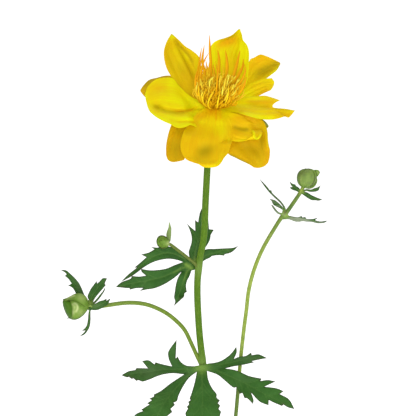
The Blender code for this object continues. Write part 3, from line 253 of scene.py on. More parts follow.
def tube(path, radius, sides, flat=1.0, face=None, ridge=0.0, ridges=5, channel=0.0, round_end=True):
    """A closed tube: points, faces, and for each point how far along it lies and its cosine and sine."""
    path = np.asarray(path, float)
    n = len(path)
    t, u, v = frames(path, face)
    r = np.broadcast_to(np.asarray(radius, float), (n,)) * MM
    flat = np.broadcast_to(np.asarray(flat, float), (n,))
    ang = np.arange(sides) * 2 * math.pi / sides
    c, s = np.cos(ang), np.sin(ang)
    k = 1 + ridge * np.cos(ridges * ang)
    body = path[:, None, :] + u[:, None, :] * (r[:, None] * (k * c)[None])[..., None] \
        + v[:, None, :] * (r[:, None] * flat[:, None] * (k * s)[None] + r[:, None] * channel * (np.abs(c) ** 2)[None])[..., None]
    P = body.reshape(-1, 3)
    F = []
    for i in range(n - 1):
        for j in range(sides):
            a, b = i * sides + j, i * sides + (j + 1) % sides
            F.append((a, b, b + sides, a + sides))
    e = 0.35 if round_end else 0.0
    P = np.vstack([P, path[0] - t[0] * r[0] * e, path[-1] + t[-1] * r[-1] * e])
    lo, hi = n * sides, n * sides + 1
    for j in range(sides):
        F.append((lo, (j + 1) % sides, j))
        F.append((hi, (n - 1) * sides + j, (n - 1) * sides + (j + 1) % sides))
    along = np.concatenate([np.repeat(np.linspace(0, 1, n), sides), [0, 1]])
    cs = np.concatenate([np.tile(c, n), [0, 0]])
    sn = np.concatenate([np.tile(s, n), [0, 0]])
    return P, F, along, cs, sn


def turned(profile, sides, wave=None):
    """A closed ring or solid turned round the pot's axis from (r, z) points in mm."""
    profile = np.asarray(profile, float)
    m = len(profile)
    ang = np.arange(sides) * 2 * math.pi / sides
    r = profile[None, :, 0] + (wave(profile[None, :, 1], ang[:, None]) if wave else 0)
    P = np.stack([r * np.cos(ang)[:, None], r * np.sin(ang)[:, None], np.broadcast_to(profile[None, :, 1], r.shape)], -1).reshape(-1, 3) * MM
    F = []
    for k in range(sides):
        for j in range(m):
            a, b = k * m, ((k + 1) % sides) * m
            F.append((a + j, b + j, b + (j + 1) % m, a + (j + 1) % m))
    return P, F


def rounded(profile, cuts):
    """A closed profile with each corner rounded by its own radius."""
    out = []
    n = len(profile)
    for i in range(n):
        p, a, b = (np.array(profile[k % n][:2], float) for k in (i, i - 1, i + 1))
        ra = profile[i][2]
        da, db = np.linalg.norm(a - p), np.linalg.norm(b - p)
        ra = min(ra, da * 0.45, db * 0.45)
        if ra < 0.05:
            out.append(p)
            continue
        q0, q1 = p + (a - p) / da * ra, p + (b - p) / db * ra
        for k in range(cuts + 1):
            f = k / cuts
            out.append(q0 * (1 - f) ** 2 + p * 2 * f * (1 - f) + q1 * f ** 2)
    fine = []
    for i in range(len(out)):
        a, b = out[i], out[(i + 1) % len(out)]
        k = max(1, int(np.linalg.norm(b - a) / 3.0))
        fine += [a + (b - a) * j / k for j in range(k)]
    return fine


# ---- materials ---------------------------------------------------------------------------------------
class Mat:
    def __init__(self, name, rough=0.5, spec=0.5, sheen=0.0, coat=0.0, sub=0.0, sub_rgb=(1, 0.5, 0.1), sub_mm=1.0):
        self.m = bpy.data.materials.new(name)
        self.m.use_nodes = True
        self.nt = self.m.node_tree
        self.p = self.nt.nodes["Principled BSDF"]
        i = self.p.inputs
        i["Roughness"].default_value = rough
        i["Specular IOR Level"].default_value = spec
        i["Sheen Weight"].default_value = sheen
        i["Coat Weight"].default_value = coat
        i["Coat Roughness"].default_value = 0.35
        if sub:
            i["Subsurface Weight"].default_value = sub
            i["Subsurface Radius"].default_value = sub_rgb
            i["Subsurface Scale"].default_value = sub_mm * MM

    def node(self, kind, **k):
        n = self.nt.nodes.new(kind)
        for key, val in k.items():
            setattr(n, key, val)
        return n

    def link(self, a, b):
        self.nt.links.new(a, b)

    def attr(self, name):
        return self.node("ShaderNodeAttribute", attribute_name=name).outputs["Fac"]

    def object(self, stretch=(1, 1, 1)):
        c = self.node("ShaderNodeTexCoord").outputs["Object"]
        if stretch == (1, 1, 1):
            return c
        m = self.node("ShaderNodeMapping")
        m.inputs["Scale"].default_value = stretch
        self.link(c, m.inputs["Vector"])
        return m.outputs["Vector"]

    def join(self, x, y, z=0.0):
        c = self.node("ShaderNodeCombineXYZ")
        for s, v in zip(c.inputs, (x, y, z)):
            if isinstance(v, (int, float)):
                s.default_value = v
            else:
                self.link(v, s)
        return c.outputs[0]

    def noise(self, scale, detail=3.0, vec=None, rough=0.55, distort=0.0):
        n = self.node("ShaderNodeTexNoise")
        n.inputs["Scale"].default_value = scale
        n.inputs["Detail"].default_value = detail
        n.inputs["Roughness"].default_value = rough
        n.inputs["Distortion"].default_value = distort
        self.link(vec if vec is not None else self.object(), n.inputs["Vector"])
        return n.outputs["Fac"]

    def voronoi(self, scale, feature="DISTANCE_TO_EDGE", vec=None):
        n = self.node("ShaderNodeTexVoronoi", feature=feature)
        n.inputs["Scale"].default_value = scale
        self.link(vec if vec is not None else self.object(), n.inputs["Vector"])
        return n.outputs["Distance"]

    def math(self, op, a, b=0.0, clamp=False):
        n = self.node("ShaderNodeMath", operation=op, use_clamp=clamp)
        for s, v in zip(n.inputs, (a, b)):
            if isinstance(v, (int, float)):
                s.default_value = v
            else:
                self.link(v, s)
        return n.outputs[0]

    def span(self, v, a, b, c=0.0, d=1.0):
        n = self.node("ShaderNodeMapRange")
        for key, val in (("From Min", a), ("From Max", b), ("To Min", c), ("To Max", d)):
            n.inputs[key].default_value = val
        self.link(v, n.inputs["Value"])
        return n.outputs["Result"]

    def mix(self, fac, a, b, blend="MIX"):
        n = self.node("ShaderNodeMix", data_type="RGBA", blend_type=blend)
        for s, v in ((n.inputs[0], fac), (n.inputs[6], a), (n.inputs[7], b)):
            if isinstance(v, (int, float)):
                s.default_value = v
            elif isinstance(v, tuple):
                s.default_value = (*v, 1.0)
            else:
                self.link(v, s)
        return n.outputs[2]

    def color(self, c):
        self.link(c, self.p.inputs["Base Color"])

    def rough(self, r):
        self.link(r, self.p.inputs["Roughness"])

    def bump(self, height, dist_mm, strength=1.0, prev=None):
        b = self.node("ShaderNodeBump")
        b.inputs["Strength"].default_value = strength
        b.inputs["Distance"].default_value = dist_mm * MM
        self.link(height, b.inputs["Height"])
        if prev is not None:
            self.link(prev, b.inputs["Normal"])
        self.link(b.outputs["Normal"], self.p.inputs["Normal"])
        return b.outputs["Normal"]


def petal_material(name, gold, lemon, deep, green, warm, rough=0.55):
    m = Mat(name, rough, spec=0.07, sub=0.05, sub_rgb=(1.0, 0.55, 0.06), sub_mm=0.6)
    u, s = m.attr("u"), m.attr("s")
    soft = m.noise(170, 3)
    # bright yellow tone over gold, partly a painted highlight where the light falls brightest
    tone = m.math("ADD", m.attr("lemon"), m.span(soft, 0.35, 0.65, -0.12, 0.12), clamp=True)
    c = m.mix(tone, gold, lemon)
    vein_at = m.join(m.math("MULTIPLY", u, 46.0), m.math("MULTIPLY", s, 2.2), 0.0)
    vein = m.noise(1.0, 2, vein_at, distort=0.3)
    # orange tone at the sepals' feet and along veins, and painted shade along creases and under overlapping margins
    c = m.mix(m.attr("warm"), c, warm)
    c = m.mix(m.span(vein, 0.42, 0.66, 0.0, 0.22), c, warm)
    # olive tint and painted shade in folds, creases and hollows, and over sepals that lie in shade
    c = m.mix(m.math("MULTIPLY", m.attr("deep"), m.span(soft, 0.2, 0.8, 0.85, 1.1), clamp=True), c, deep)
    c = m.mix(m.attr("green"), c, green)
    # painted light: the claws round the flower's middle are painted a bright yellow
    c = m.mix(m.attr("claw"), c, (0.99, 0.90, 0.001))
    m.color(c)
    m.rough(m.span(m.noise(900, 2), 0.3, 0.7, rough - 0.05, rough + 0.10))
    b = m.bump(vein, 0.10, 0.6)
    m.bump(m.noise(2600, 2), 0.03, 0.5, b)
    return m.m


def leaf_material(name, top, light, vein_rgb, under, vein=0.30, hub=(0.195, 0.335, 0.052), rim_rgb=(0.030, 0.030, 0.014)):
    m = Mat(name, 0.50, spec=0.14)
    big, fine = m.noise(110, 3), m.noise(700, 3)
    c = m.mix(m.span(big, 0.32, 0.68), top, light)
    c = m.mix(m.span(fine, 0.45, 0.75, 0.0, 0.35), c, light)
    c = m.mix(m.math("MULTIPLY", m.attr("vein"), vein, clamp=True), c, vein_rgb)
    c = m.mix(m.attr("hub"), c, hub)
    c = m.mix(m.math("MULTIPLY", m.attr("rim"), 0.60), c, rim_rgb)
    c = m.mix(m.attr("brown"), c, (0.060, 0.038, 0.026))
    c = m.mix(m.math("MULTIPLY", m.attr("low"), 0.80), c, under)
    m.color(c)
    m.rough(m.span(fine, 0.3, 0.7, 0.38, 0.56))
    cells = m.voronoi(1150)
    b = m.bump(m.span(cells, 0.0, 0.25), 0.05, 0.45)
    m.bump(m.noise(3800, 2), 0.02, 0.4, b)
    return m.m


def stem_material(name, dark, pale, foot):
    m = Mat(name, 0.46, spec=0.16)
    v = m.join(m.math("MULTIPLY", m.attr("ca"), 2.4), m.math("MULTIPLY", m.attr("sa"), 2.4), m.math("MULTIPLY", m.attr("len"), 0.35))
    streak = m.noise(2.0, 3, v)
    c = m.mix(m.span(streak, 0.35, 0.66), dark, pale)
    c = m.mix(m.attr("foot"), c, foot)
    c = m.mix(m.attr("pale"), c, (0.27, 0.40, 0.11))
    # darker green where asked: on the right stem this is painted shade
    c = m.mix(m.attr("deep"), c, (0.055, 0.135, 0.030))
    m.color(c)
    m.rough(m.span(streak, 0.3, 0.7, 0.38, 0.52))
    b = m.bump(streak, 0.06, 0.5)
    m.bump(m.noise(4200, 2), 0.02, 0.4, b)
    return m.m


SEPAL = petal_material("petal", (0.780, 0.502, 0.001), (0.815, 0.835, 0.001), (0.400, 0.285, 0.001), (0.16, 0.24, 0.015), (0.750, 0.337, 0.001))
SEPAL_OUT = petal_material("petal_outer", (0.34, 0.36, 0.03), (0.52, 0.52, 0.10), (0.20, 0.22, 0.03), (0.13, 0.20, 0.07), (0.50, 0.40, 0.02), 0.5)
LEAF = leaf_material("leaf", (0.026, 0.100, 0.012), (0.042, 0.140, 0.020), (0.095, 0.205, 0.038), (0.105, 0.165, 0.070), 0.42)
LEAF_HIGH = leaf_material("leaf_high", (0.023, 0.094, 0.011), (0.046, 0.146, 0.024), (0.115, 0.230, 0.045), (0.105, 0.165, 0.070), 0.50)
BASAL = leaf_material("leaf_basal", (0.034, 0.112, 0.018), (0.058, 0.160, 0.030), (0.110, 0.210, 0.050), (0.115, 0.180, 0.075), 0.40)
BRACT = leaf_material("leaf_bract", (0.020, 0.082, 0.010), (0.038, 0.122, 0.018), (0.120, 0.235, 0.055), (0.315, 0.360, 0.250), 0.62, hub=(0.27, 0.41, 0.075))
STEM = stem_material("stem", (0.062, 0.152, 0.005), (0.118, 0.226, 0.012), (0.19, 0.20, 0.06))
BRANCH = stem_material("branch", (0.112, 0.190, 0.014), (0.205, 0.298, 0.040), (0.22, 0.24, 0.08))
THIN = stem_material("thin_stem", (0.160, 0.268, 0.022), (0.385, 0.470, 0.100), (0.24, 0.26, 0.09))
STALK_MAT = stem_material("stalk", (0.105, 0.150, 0.022), (0.160, 0.215, 0.045), (0.22, 0.24, 0.08))


def nectary_material():
    m = Mat("nectary", 0.55, spec=0.06)
    c = m.mix(m.span(m.attr("s"), 0.35, 0.9), (0.93, 0.520, 0.001), (0.74, 0.270, 0.001))
    # painted shade and light: darker orange on each strip's right side and lighter gold on its left, as if lit from the
    # left; the pale share is painted highlight and painted light
    c = m.mix(m.span(m.attr("ca"), 0.1, 0.8, 0.0, 0.75), c, (0.58, 0.185, 0.001))
    c = m.mix(m.span(m.attr("ca"), -0.9, -0.1, 0.60, 0.0), c, (0.86, 0.500, 0.004))
    c = m.mix(m.attr("pale"), c, (0.92, 0.780, 0.016))
    m.color(c)
    v = m.join(m.math("MULTIPLY", m.attr("ca"), 5.0), m.math("MULTIPLY", m.attr("s"), 3.0), 0.0)
    m.bump(m.noise(2.0, 2, v), 0.04, 0.5)
    return m.m


def stamen_material():
    m = Mat("stamen", 0.60, spec=0.06)
    c = m.mix(m.attr("anther"), (0.94, 0.560, 0.002), (0.99, 0.930, 0.080))
    c = m.mix(m.span(m.noise(1600, 2), 0.4, 0.7, 0.0, 0.25), c, (0.84, 0.500, 0.003))
    # the filaments' feet are darker orange, partly painted shade of the gaps between them
    c = m.mix(m.attr("base"), c, (0.62, 0.325, 0.001))
    m.color(c)
    m.bump(m.noise(5200, 2), 0.06, 0.6)
    return m.m


def bud_material():
    m = Mat("bud", 0.50, spec=0.10, sub=0.04, sub_rgb=(0.6, 1.0, 0.3), sub_mm=0.5)
    big = m.noise(420, 3)
    c = m.mix(m.span(big, 0.3, 0.7), (0.126, 0.252, 0.022), (0.200, 0.330, 0.050))
    # light and dark: paler and darker greens, which on the left bud paint highlights and shade; grey gives greyish
    # mottling, and a greyish highlight on that bud's hood
    c = m.mix(m.attr("light"), c, (0.555, 0.635, 0.265))
    c = m.mix(m.attr("dark"), c, (0.040, 0.125, 0.003))
    c = m.mix(m.attr("grey"), c, (0.115, 0.125, 0.075))
    c = m.mix(m.attr("rim"), c, (0.062, 0.090, 0.014))
    c = m.mix(m.attr("spot"), c, (0.036, 0.030, 0.012))
    m.color(c)
    v = m.join(m.math("MULTIPLY", m.attr("u"), 16.0), m.math("MULTIPLY", m.attr("s"), 2.0), 0.0)
    b = m.bump(m.noise(1.0, 2, v), 0.10, 0.6)
    m.bump(m.noise(3600, 2), 0.03, 0.4, b)
    return m.m


def clay_material():
    m = Mat("clay", 0.86, spec=0.25)
    big, mid, fine = m.noise(26, 4), m.noise(150, 4), m.noise(1400, 3)
    c = m.mix(m.span(big, 0.3, 0.7), (0.46, 0.165, 0.075), (0.58, 0.235, 0.115))
    c = m.mix(m.span(mid, 0.5, 0.8, 0.0, 0.45), c, (0.40, 0.135, 0.060))
    c = m.mix(m.span(fine, 0.6, 0.8, 0.0, 0.5), c, (0.66, 0.330, 0.190))
    bloom = m.math("MULTIPLY", m.attr("bloom"), m.span(m.noise(44, 5, rough=0.7), 0.46, 0.66), clamp=True)
    c = m.mix(m.math("MULTIPLY", bloom, 0.55), c, (0.74, 0.60, 0.48))
    c = m.mix(m.math("MULTIPLY", m.attr("damp"), m.span(big, 0.2, 0.8, 0.5, 0.9), clamp=True), c, (0.27, 0.090, 0.042))
    c = m.mix(m.math("MULTIPLY", m.attr("rim"), 0.35), c, (0.68, 0.33, 0.19))
    m.color(c)
    m.rough(m.span(mid, 0.3, 0.7, 0.78, 0.93))
    rings = m.noise(1.0, 3, m.object((6, 6, 900)))
    b = m.bump(rings, 0.22, 0.55)
    b = m.bump(m.noise(420, 4), 0.18, 0.5, b)
    m.bump(fine, 0.10, 0.6, b)
    return m.m


def soil_material():
    m = Mat("soil", 0.95, spec=0.2)
    a, b, c3 = m.noise(130, 4), m.noise(800, 4), m.noise(2600, 3)
    c = m.mix(m.span(a, 0.3, 0.7), (0.020, 0.012, 0.007), (0.046, 0.029, 0.018))
    c = m.mix(m.span(b, 0.45, 0.75, 0.0, 0.8), c, (0.085, 0.052, 0.030))
    c = m.mix(m.math("MULTIPLY", m.attr("dry"), m.span(c3, 0.3, 0.7)), c, (0.150, 0.100, 0.060))
    m.color(c)
    p = m.bump(b, 0.5, 0.8)
    m.bump(c3, 0.2, 0.7, p)
    return m.m


def grit_material():
    m = Mat("grit", 0.85, spec=0.3)
    c = m.mix(m.span(m.noise(900, 3), 0.3, 0.7), (0.50, 0.47, 0.41), (0.72, 0.70, 0.65))
    m.color(c)
    m.bump(m.noise(2400, 3), 0.15, 0.7)
    return m.m


NECTARY, STAMEN, BUD, CLAY, SOIL, GRIT = nectary_material(), stamen_material(), bud_material(), clay_material(), soil_material(), grit_material()

# ================================ sepals ==============================================================
ACROSS, ALONG = 56, 72


SHEETS = {}


def sepal(name, left, right, dl, dc, dr, end=None, relief=None, shade=None, join=(), ruffle=0.25, pleats=5.0, seed=1, mat=SEPAL, slot="sepal", thick=0.30):
    """A fine sheet over the same margins and depths as its node. relief(x, y, s, t) adds depth in mm, and
    shade(x, y, s, t) gives four shares all over the drawing: bright yellow tone, partly painted highlight; olive
    tint, partly painted shade in folds, creases and hollows; green tint; and orange tone, partly painted shade
    along creases."""
    lft, rgt = curve(left, ALONG + 1), curve(right, ALONG + 1)
    if end is None:
        end = [left[-1], right[-1]]
    far = np.linalg.norm(np.subtract(end[0], end[-1])) > 1e-6
    end_c = curve(end, ACROSS + 1) if far else np.repeat(np.array([end[0]], float), ACROSS + 1, 0)
    s, t = np.meshgrid(np.linspace(0, 1, ALONG + 1), np.linspace(0, 1, ACROSS + 1), indexing="ij")
    S, T = s[..., None], t[..., None]
    base = lft[0] * (1 - T) + rgt[0] * T
    q = lft[:, None] * (1 - T) + rgt[:, None] * T + base * (1 - S) + end_c[None] * S
    q = q - (lft[0] * (1 - S) * (1 - T) + rgt[0] * (1 - S) * T + lft[-1] * S * (1 - T) + rgt[-1] * S * T)
    x, y = q[..., 0], q[..., 1]
    l, c, r = smooth_table(dl, s), smooth_table(dc, s), smooth_table(dr, s)
    d = (l * (1 - t) * (1 - 2 * t) + c * 4 * t * (1 - t) + r * t * (2 * t - 1)) * (1 + SEPAL_SPREAD * s)
    edge = np.minimum(np.minimum(t, 1 - t) * 2, (1 - s) * 2.2)
    inner = np.clip(edge * 3, 0, 1)
    ramp = np.clip((s - 0.12) / 0.5, 0, 1)
    # lengthwise pleats, a wandering surface, and waves that grow towards the margin
    d = d + 0.16 * ramp * np.sin(pleats * 2 * math.pi * t + 1.2 * wob(s * 3, t * 3, seed)) * np.clip(edge * 2, 0.25, 1)
    d = d + 0.28 * ramp * wob(s * 5, t * 4, seed + 10)
    rim = np.clip(1 - edge / 0.35, 0, 1) ** 2
    d = d + ruffle * ramp * rim * np.sin(9 * s + 7 * t + 2.0 * wob(s * 6, t * 6, seed + 20))
    if relief is not None:
        d = d + relief(x, y, s, t)
    lemon, deep, green = (0.35 + 0.25 * wob(x * 0.05, y * 0.05, seed + 5)), np.zeros_like(s), np.zeros_like(s)
    lemon = lemon + 0.20 * rim
    warm = np.zeros_like(s) + 0.10 * np.clip(1 - s / 0.25, 0, 1)
    if shade is not None:
        a1, a2, a3, a4 = shade(x, y, s, t)
        lemon, deep, green, warm = lemon + a1, deep + a2, green + a3, warm + a4
    # where this sheet runs into another it takes that one's depth and shades, a hair in front of it
    for other, proud, weight, tint in join:
        ox, oy, values = SHEETS[other]
        near_i = ((x.ravel()[:, None] - ox[None]) ** 2 + (y.ravel()[:, None] - oy[None]) ** 2).argmin(1).reshape(x.shape)
        w = np.clip(weight(x, y, s, t), 0, 1)
        w = w * w * (3 - 2 * w)
        d = d * (1 - w) + (values[0][near_i] + proud) * w
        lemon, deep, green, warm = [a * (1 - w * tint) + v[near_i] * w * tint for a, v in zip((lemon, deep, green, warm), values[1:])]
    SHEETS[name] = (x.ravel(), y.ravel(), [a.ravel() for a in (d, lemon, deep, green, warm)])
    P = lift_flower(x, y, d).reshape(-1, 3)
    # painted light: the claws around the flower's middle are painted bright, lifting the shade under the stamens
    claw = 0.90 * lump(x, y, 229, 108, 10, 6) + 0.75 * lump(x, y, 200, 108, 6, 4) + 0.45 * lump(x, y, 240, 100, 8, 5) + 0.35 * lump(x, y, 184, 96, 7, 9)
    w = ACROSS + 1
    i, j = np.meshgrid(np.arange(ALONG), np.arange(ACROSS), indexing="ij")
    a = (i * w + j).ravel()
    F = np.stack([a, a + 1, a + w + 1, a + w], 1)
    # the sheet is thinnest at its margin
    P2, F2 = shell(P, F, (thick * (0.35 + 0.65 * inner)).ravel(), -AWAY)
    k = Piece()
    k.add(P2, F2, uv=np.vstack([np.stack([t.ravel(), s.ravel()], 1)] * 2), u=both(t.ravel()), s=both(s.ravel()),
          lemon=both(np.clip(lemon, 0, 1).ravel()), deep=both(np.clip(deep, 0, 1).ravel()), green=both(np.clip(green, 0, 1).ravel()), warm=both(np.clip(warm, 0, 1).ravel()), claw=both(np.clip(claw, 0, 1).ravel()))
    return k.make(name + "_fine", mat, nodes=(name,), slot=slot)


def z(x):
    return np.zeros_like(x)


def groove(x, y, line, width, deep):
    gap, f = to_line(x, y, curve(line, 24))
    return -deep * np.exp(-(gap / width) ** 2) * np.clip(np.minimum(f, 1 - f) * 6, 0, 1)


def band(x, y, line, width):
    gap, f = to_line(x, y, curve(line, 24))
    return np.exp(-(gap / width) ** 2) * np.clip(np.minimum(f, 1 - f) * 6, 0.0, 1)


# the back left sepal: a long fold down from its tip, with painted olive shade along and beside the fold
S1_FOLD = [(173, 36), (178, 46), (184, 58), (190, 70), (196, 84)]
sepal("sepal_back_left",
      [(206.5, 104.4), (190, 98), (180, 90), (172, 78), (166.5, 68), (164, 58), (164, 50), (167, 41), (171.2, 33.9)],
      [(210.2, 100.6), (204.6, 92), (203, 80), (201.5, 68), (199, 57), (192, 50.5), (185, 46), (180, 41), (172.4, 34.2)],
      [(0, -2.6), (.3, -5.2), (.6, -4.6), (1, -7.5)], [(0, -2.9), (.3, -4.6), (.6, -5.6), (1, -7.5)],
      [(0, -3.2), (.3, -2.8), (.6, -3.8), (1, -7.5)],
      relief=lambda x, y, s, t: groove(x, y, S1_FOLD, 1.9, 0.75) + groove(x, y, [(179, 46), (187, 55), (193, 64), (197, 74)], 1.3, 0.35) + groove(x, y, [(168, 50), (172, 62), (180, 78), (190, 92)], 2.4, 0.40) + 0.5 * lump(x, y, 171, 60, 6, 16, -20) + 0.35 * lump(x, y, 191, 62, 4, 12, -20),
      shade=lambda x, y, s, t: (-0.30 + 0.60 * lump(x, y, 172, 36, 3.5) + 0.35 * lump(x, y, 185.5, 57, 2.2, 7, -28) + 0.30 * lump(x, y, 178, 52, 3, 9, -25) + 0.2 * lump(x, y, 197, 66, 3, 8),
                                0.62 * band(x, y, [(173.5, 37), (178, 44), (184, 50), (190, 57), (194, 66)], 1.7) + 0.45 * band(x, y, [(176, 44), (181, 54), (187, 65), (194, 80)], 1.5) + 0.30 * lump(x, y, 182, 70, 7, 11, -28) + 0.25 * lump(x, y, 194, 82, 5, 12) + 0.28 * lump(x, y, 169, 60, 4, 16, -8) + 0.12,
                                z(x), 0.35 * band(x, y, [(166, 44), (164.5, 54), (166, 66), (172, 78)], 2.0) + 0.10 * lump(x, y, 188, 93, 10, 4, 25)),
      ruffle=0.2, pleats=4.5, seed=3)
# the back right sepal: broad and bright, gold with painted olive and orange shade under its upper margin
sepal("sepal_back_right",
      [(210.3, 99.6), (210.8, 85), (211, 70), (210.5, 55), (211, 46), (214, 42.3), (218, 40), (225, 38), (232, 35), (238.9, 29.0)],
      [(221.4, 100.2), (234, 92), (246, 84), (248, 75), (249, 60), (249, 52), (247, 45), (243, 40), (242, 35), (240.1, 29.2)],
      [(0, -3.7), (.3, -3.4), (.6, -4.0), (.85, -5), (1, -7)], [(0, -3.7), (.3, -4.8), (.6, -5.8), (1, -7)],
      [(0, -3.5), (.3, -2.9), (.6, -3.4), (1, -7)],
      relief=lambda x, y, s, t: groove(x, y, [(239, 32), (238, 42), (234, 54), (229, 68)], 2.6, 0.55) + 0.45 * lump(x, y, 243, 50, 5, 12) + groove(x, y, [(228, 42), (224, 56), (221, 70)], 2.0, 0.25),
      shade=lambda x, y, s, t: (0.06 + 0.60 * lump(x, y, 245, 58, 5, 22) + 0.50 * lump(x, y, 213, 60, 3.5, 16) + 0.25 * lump(x, y, 222, 56, 4, 12) - 0.5 * lump(x, y, 229, 41, 11, 4, -18) + 0.3 * lump(x, y, 240, 40, 3, 8),
                                0.50 * band(x, y, [(218, 40.6), (226, 38.6), (233, 35.6), (238, 31)], 1.8) + 0.16 * lump(x, y, 232, 52, 6, 14),
                                z(x), 0.55 * lump(x, y, 228, 42, 11, 4, -18) + 0.25 * lump(x, y, 232, 62, 7, 12)),
      ruffle=0.25, pleats=4.5, seed=5)
# the upper right sepal: painted olive shade in a hollow towards its tip, with a bright lower margin
sepal("sepal_right_upper",
      [(219.3, 98.8), (236, 84), (247, 68), (250.5, 59), (254, 57.6), (260, 54.5), (265, 55.5), (273, 59), (280.0, 62.6)],
      [(222.4, 102.2), (242, 95), (254, 86), (264, 80), (271, 75), (277, 70), (280.4, 64)],
      [(0, -4.4), (.4, -7.8), (1, -10)], [(0, -4.2), (.4, -8.0), (.7, -9), (1, -10)], [(0, -3.7), (.4, -6.8), (.7, -7.6), (1, -10)],
      relief=lambda x, y, s, t: -0.9 * lump(x, y, 266, 69, 12, 5, -28) + 0.5 * lump(x, y, 262, 59, 9, 4, 10),
      shade=lambda x, y, s, t: (-0.28 + 0.60 * lump(x, y, 245, 90, 8, 7) + 0.55 * band(x, y, [(270, 75.5), (276, 70.5), (279.8, 65)], 2.0) + 0.3 * lump(x, y, 254, 76, 5, 6),
                                0.85 * lump(x, y, 267, 69.5, 13, 5.5, -28) + 0.45 * lump(x, y, 276, 64, 5, 4) + 0.2 * lump(x, y, 258, 74, 8, 5, -28),
                                z(x), 0.35 * lump(x, y, 263, 58, 10, 4, 8)),
      ruffle=0.2, pleats=3.5, seed=7)
# the middle right sepal: lemon painted near its claw is painted light, lifting the shade under the stamens
sepal("sepal_right_middle",
      [(222.3, 100.8), (238, 93.5), (250, 84), (260, 79.8), (268, 78.4), (272, 78.2)],
      [(224.4, 105.2), (240, 103.2), (252, 99.5), (260, 95.2), (266, 92.2), (270.8, 90.2)],
      [(0, -2.2), (.4, -5.0), (1, -5.8)], [(0, -1.9), (.4, -4.6), (1, -5)], [(0, -1.7), (.3, -3.9), (.5, -3.9), (1, -3.6)],
      end=[(272, 78.2), (274.2, 82), (273.5, 86), (270.8, 90.2)],
      relief=lambda x, y, s, t: 0.4 * lump(x, y, 258, 86, 10, 5, -18),
      shade=lambda x, y, s, t: (0.05 + 0.35 * lump(x, y, 246, 92, 9, 6) + 0.60 * lump(x, y, 240, 98, 12, 5, -8) - 0.2 * lump(x, y, 266, 90, 6, 3, -20), 0.08 * lump(x, y, 262, 84, 9, 5), z(x),
                                0.60 * band(x, y, [(252, 99), (262, 94.5), (270, 90.5)], 1.8) + 0.15 * lump(x, y, 266, 86, 7, 6)),
      ruffle=0.2, pleats=3.5, seed=9)
# the lower right sepal ends in two points, with long folds between them; painted olive shade lies along the folds and
# between the points, and lemon near its claw is painted light lifting the shade under the stamens
sepal("sepal_right_lower",
      [(221.2, 103.2), (236, 99.8), (245, 97.3), (258, 96.2), (265, 95.7), (272, 97.5), (280, 100.3)],
      [(220.4, 110.2), (238, 113), (250, 116.5), (258, 118.6), (265, 119.6), (273, 119.5), (280, 118), (285, 116.5), (288.5, 117.6), (291.5, 115), (295, 110.5)],
      [(0, -0.7), (.35, -2.0), (.7, -1.6), (1, -.8)], [(0, 0.1), (.35, .9), (.7, 1.4), (1, 1.6)], [(0, 0.9), (.35, 5.0), (.7, 4.2), (1, 1.6)],
      end=[(280, 100.3), (275.5, 102.6), (273, 105), (272.8, 107), (276, 108), (285, 108.7), (295, 110.5)],
      relief=lambda x, y, s, t: groove(x, y, [(232, 104), (248, 104.5), (262, 106), (274, 108)], 2.2, 0.75) + groove(x, y, [(238, 101), (252, 100), (266, 99)], 1.6, 0.3) + 0.4 * lump(x, y, 262, 114, 14, 3.5, 4),
      shade=lambda x, y, s, t: (-0.12 + 0.45 * lump(x, y, 258, 98.6, 15, 2.4) + 0.55 * band(x, y, [(240, 112), (252, 115.8), (264, 118.4), (277, 117.6)], 2.8) + 0.15 * lump(x, y, 240, 107, 10, 3) + 0.75 * lump(x, y, 229, 108, 9, 5) + 0.25 * lump(x, y, 246, 104, 9, 5),
                                0.30 * band(x, y, [(246, 104.8), (258, 105.5), (271, 106.5)], 2.6) + 0.50 * band(x, y, [(272, 108), (282, 109.4), (292, 110.6)], 1.5) + 0.25 * lump(x, y, 284, 114, 9, 2.6),
                                z(x), 0.34 * band(x, y, [(244, 102), (254, 102), (264, 102.6), (276, 102)], 1.8) + 0.4 * lump(x, y, 286, 115.5, 7, 2) + 0.22 * lump(x, y, 242, 110.5, 9, 2.4, 10)),
      ruffle=0.18, pleats=4.0, seed=11)
sepal("sepal_right_outer",
      [(225.6, 110.6), (245, 113), (258, 117), (265.5, 121.5), (268.8, 126)],
      [(224.2, 112.8), (240, 121), (253, 127.5), (262, 130.5), (268.0, 127.6)],
      [(0, -0.9), (.5, 1.0), (1, 1.6)], [(0, -0.7), (.5, 1.1), (1, 1.6)], [(0, -0.4), (.5, 1.2), (1, 1.6)],
      shade=lambda x, y, s, t: (0.6 * lump(x, y, 268, 128, 2), 0.5 * lump(x, y, 264, 121.5, 4, 2, 30), 0.7 * lump(x, y, 266, 125, 5), z(x)),
      ruffle=0.08, pleats=3, seed=13, mat=SEPAL_OUT, slot="sepal_outer")
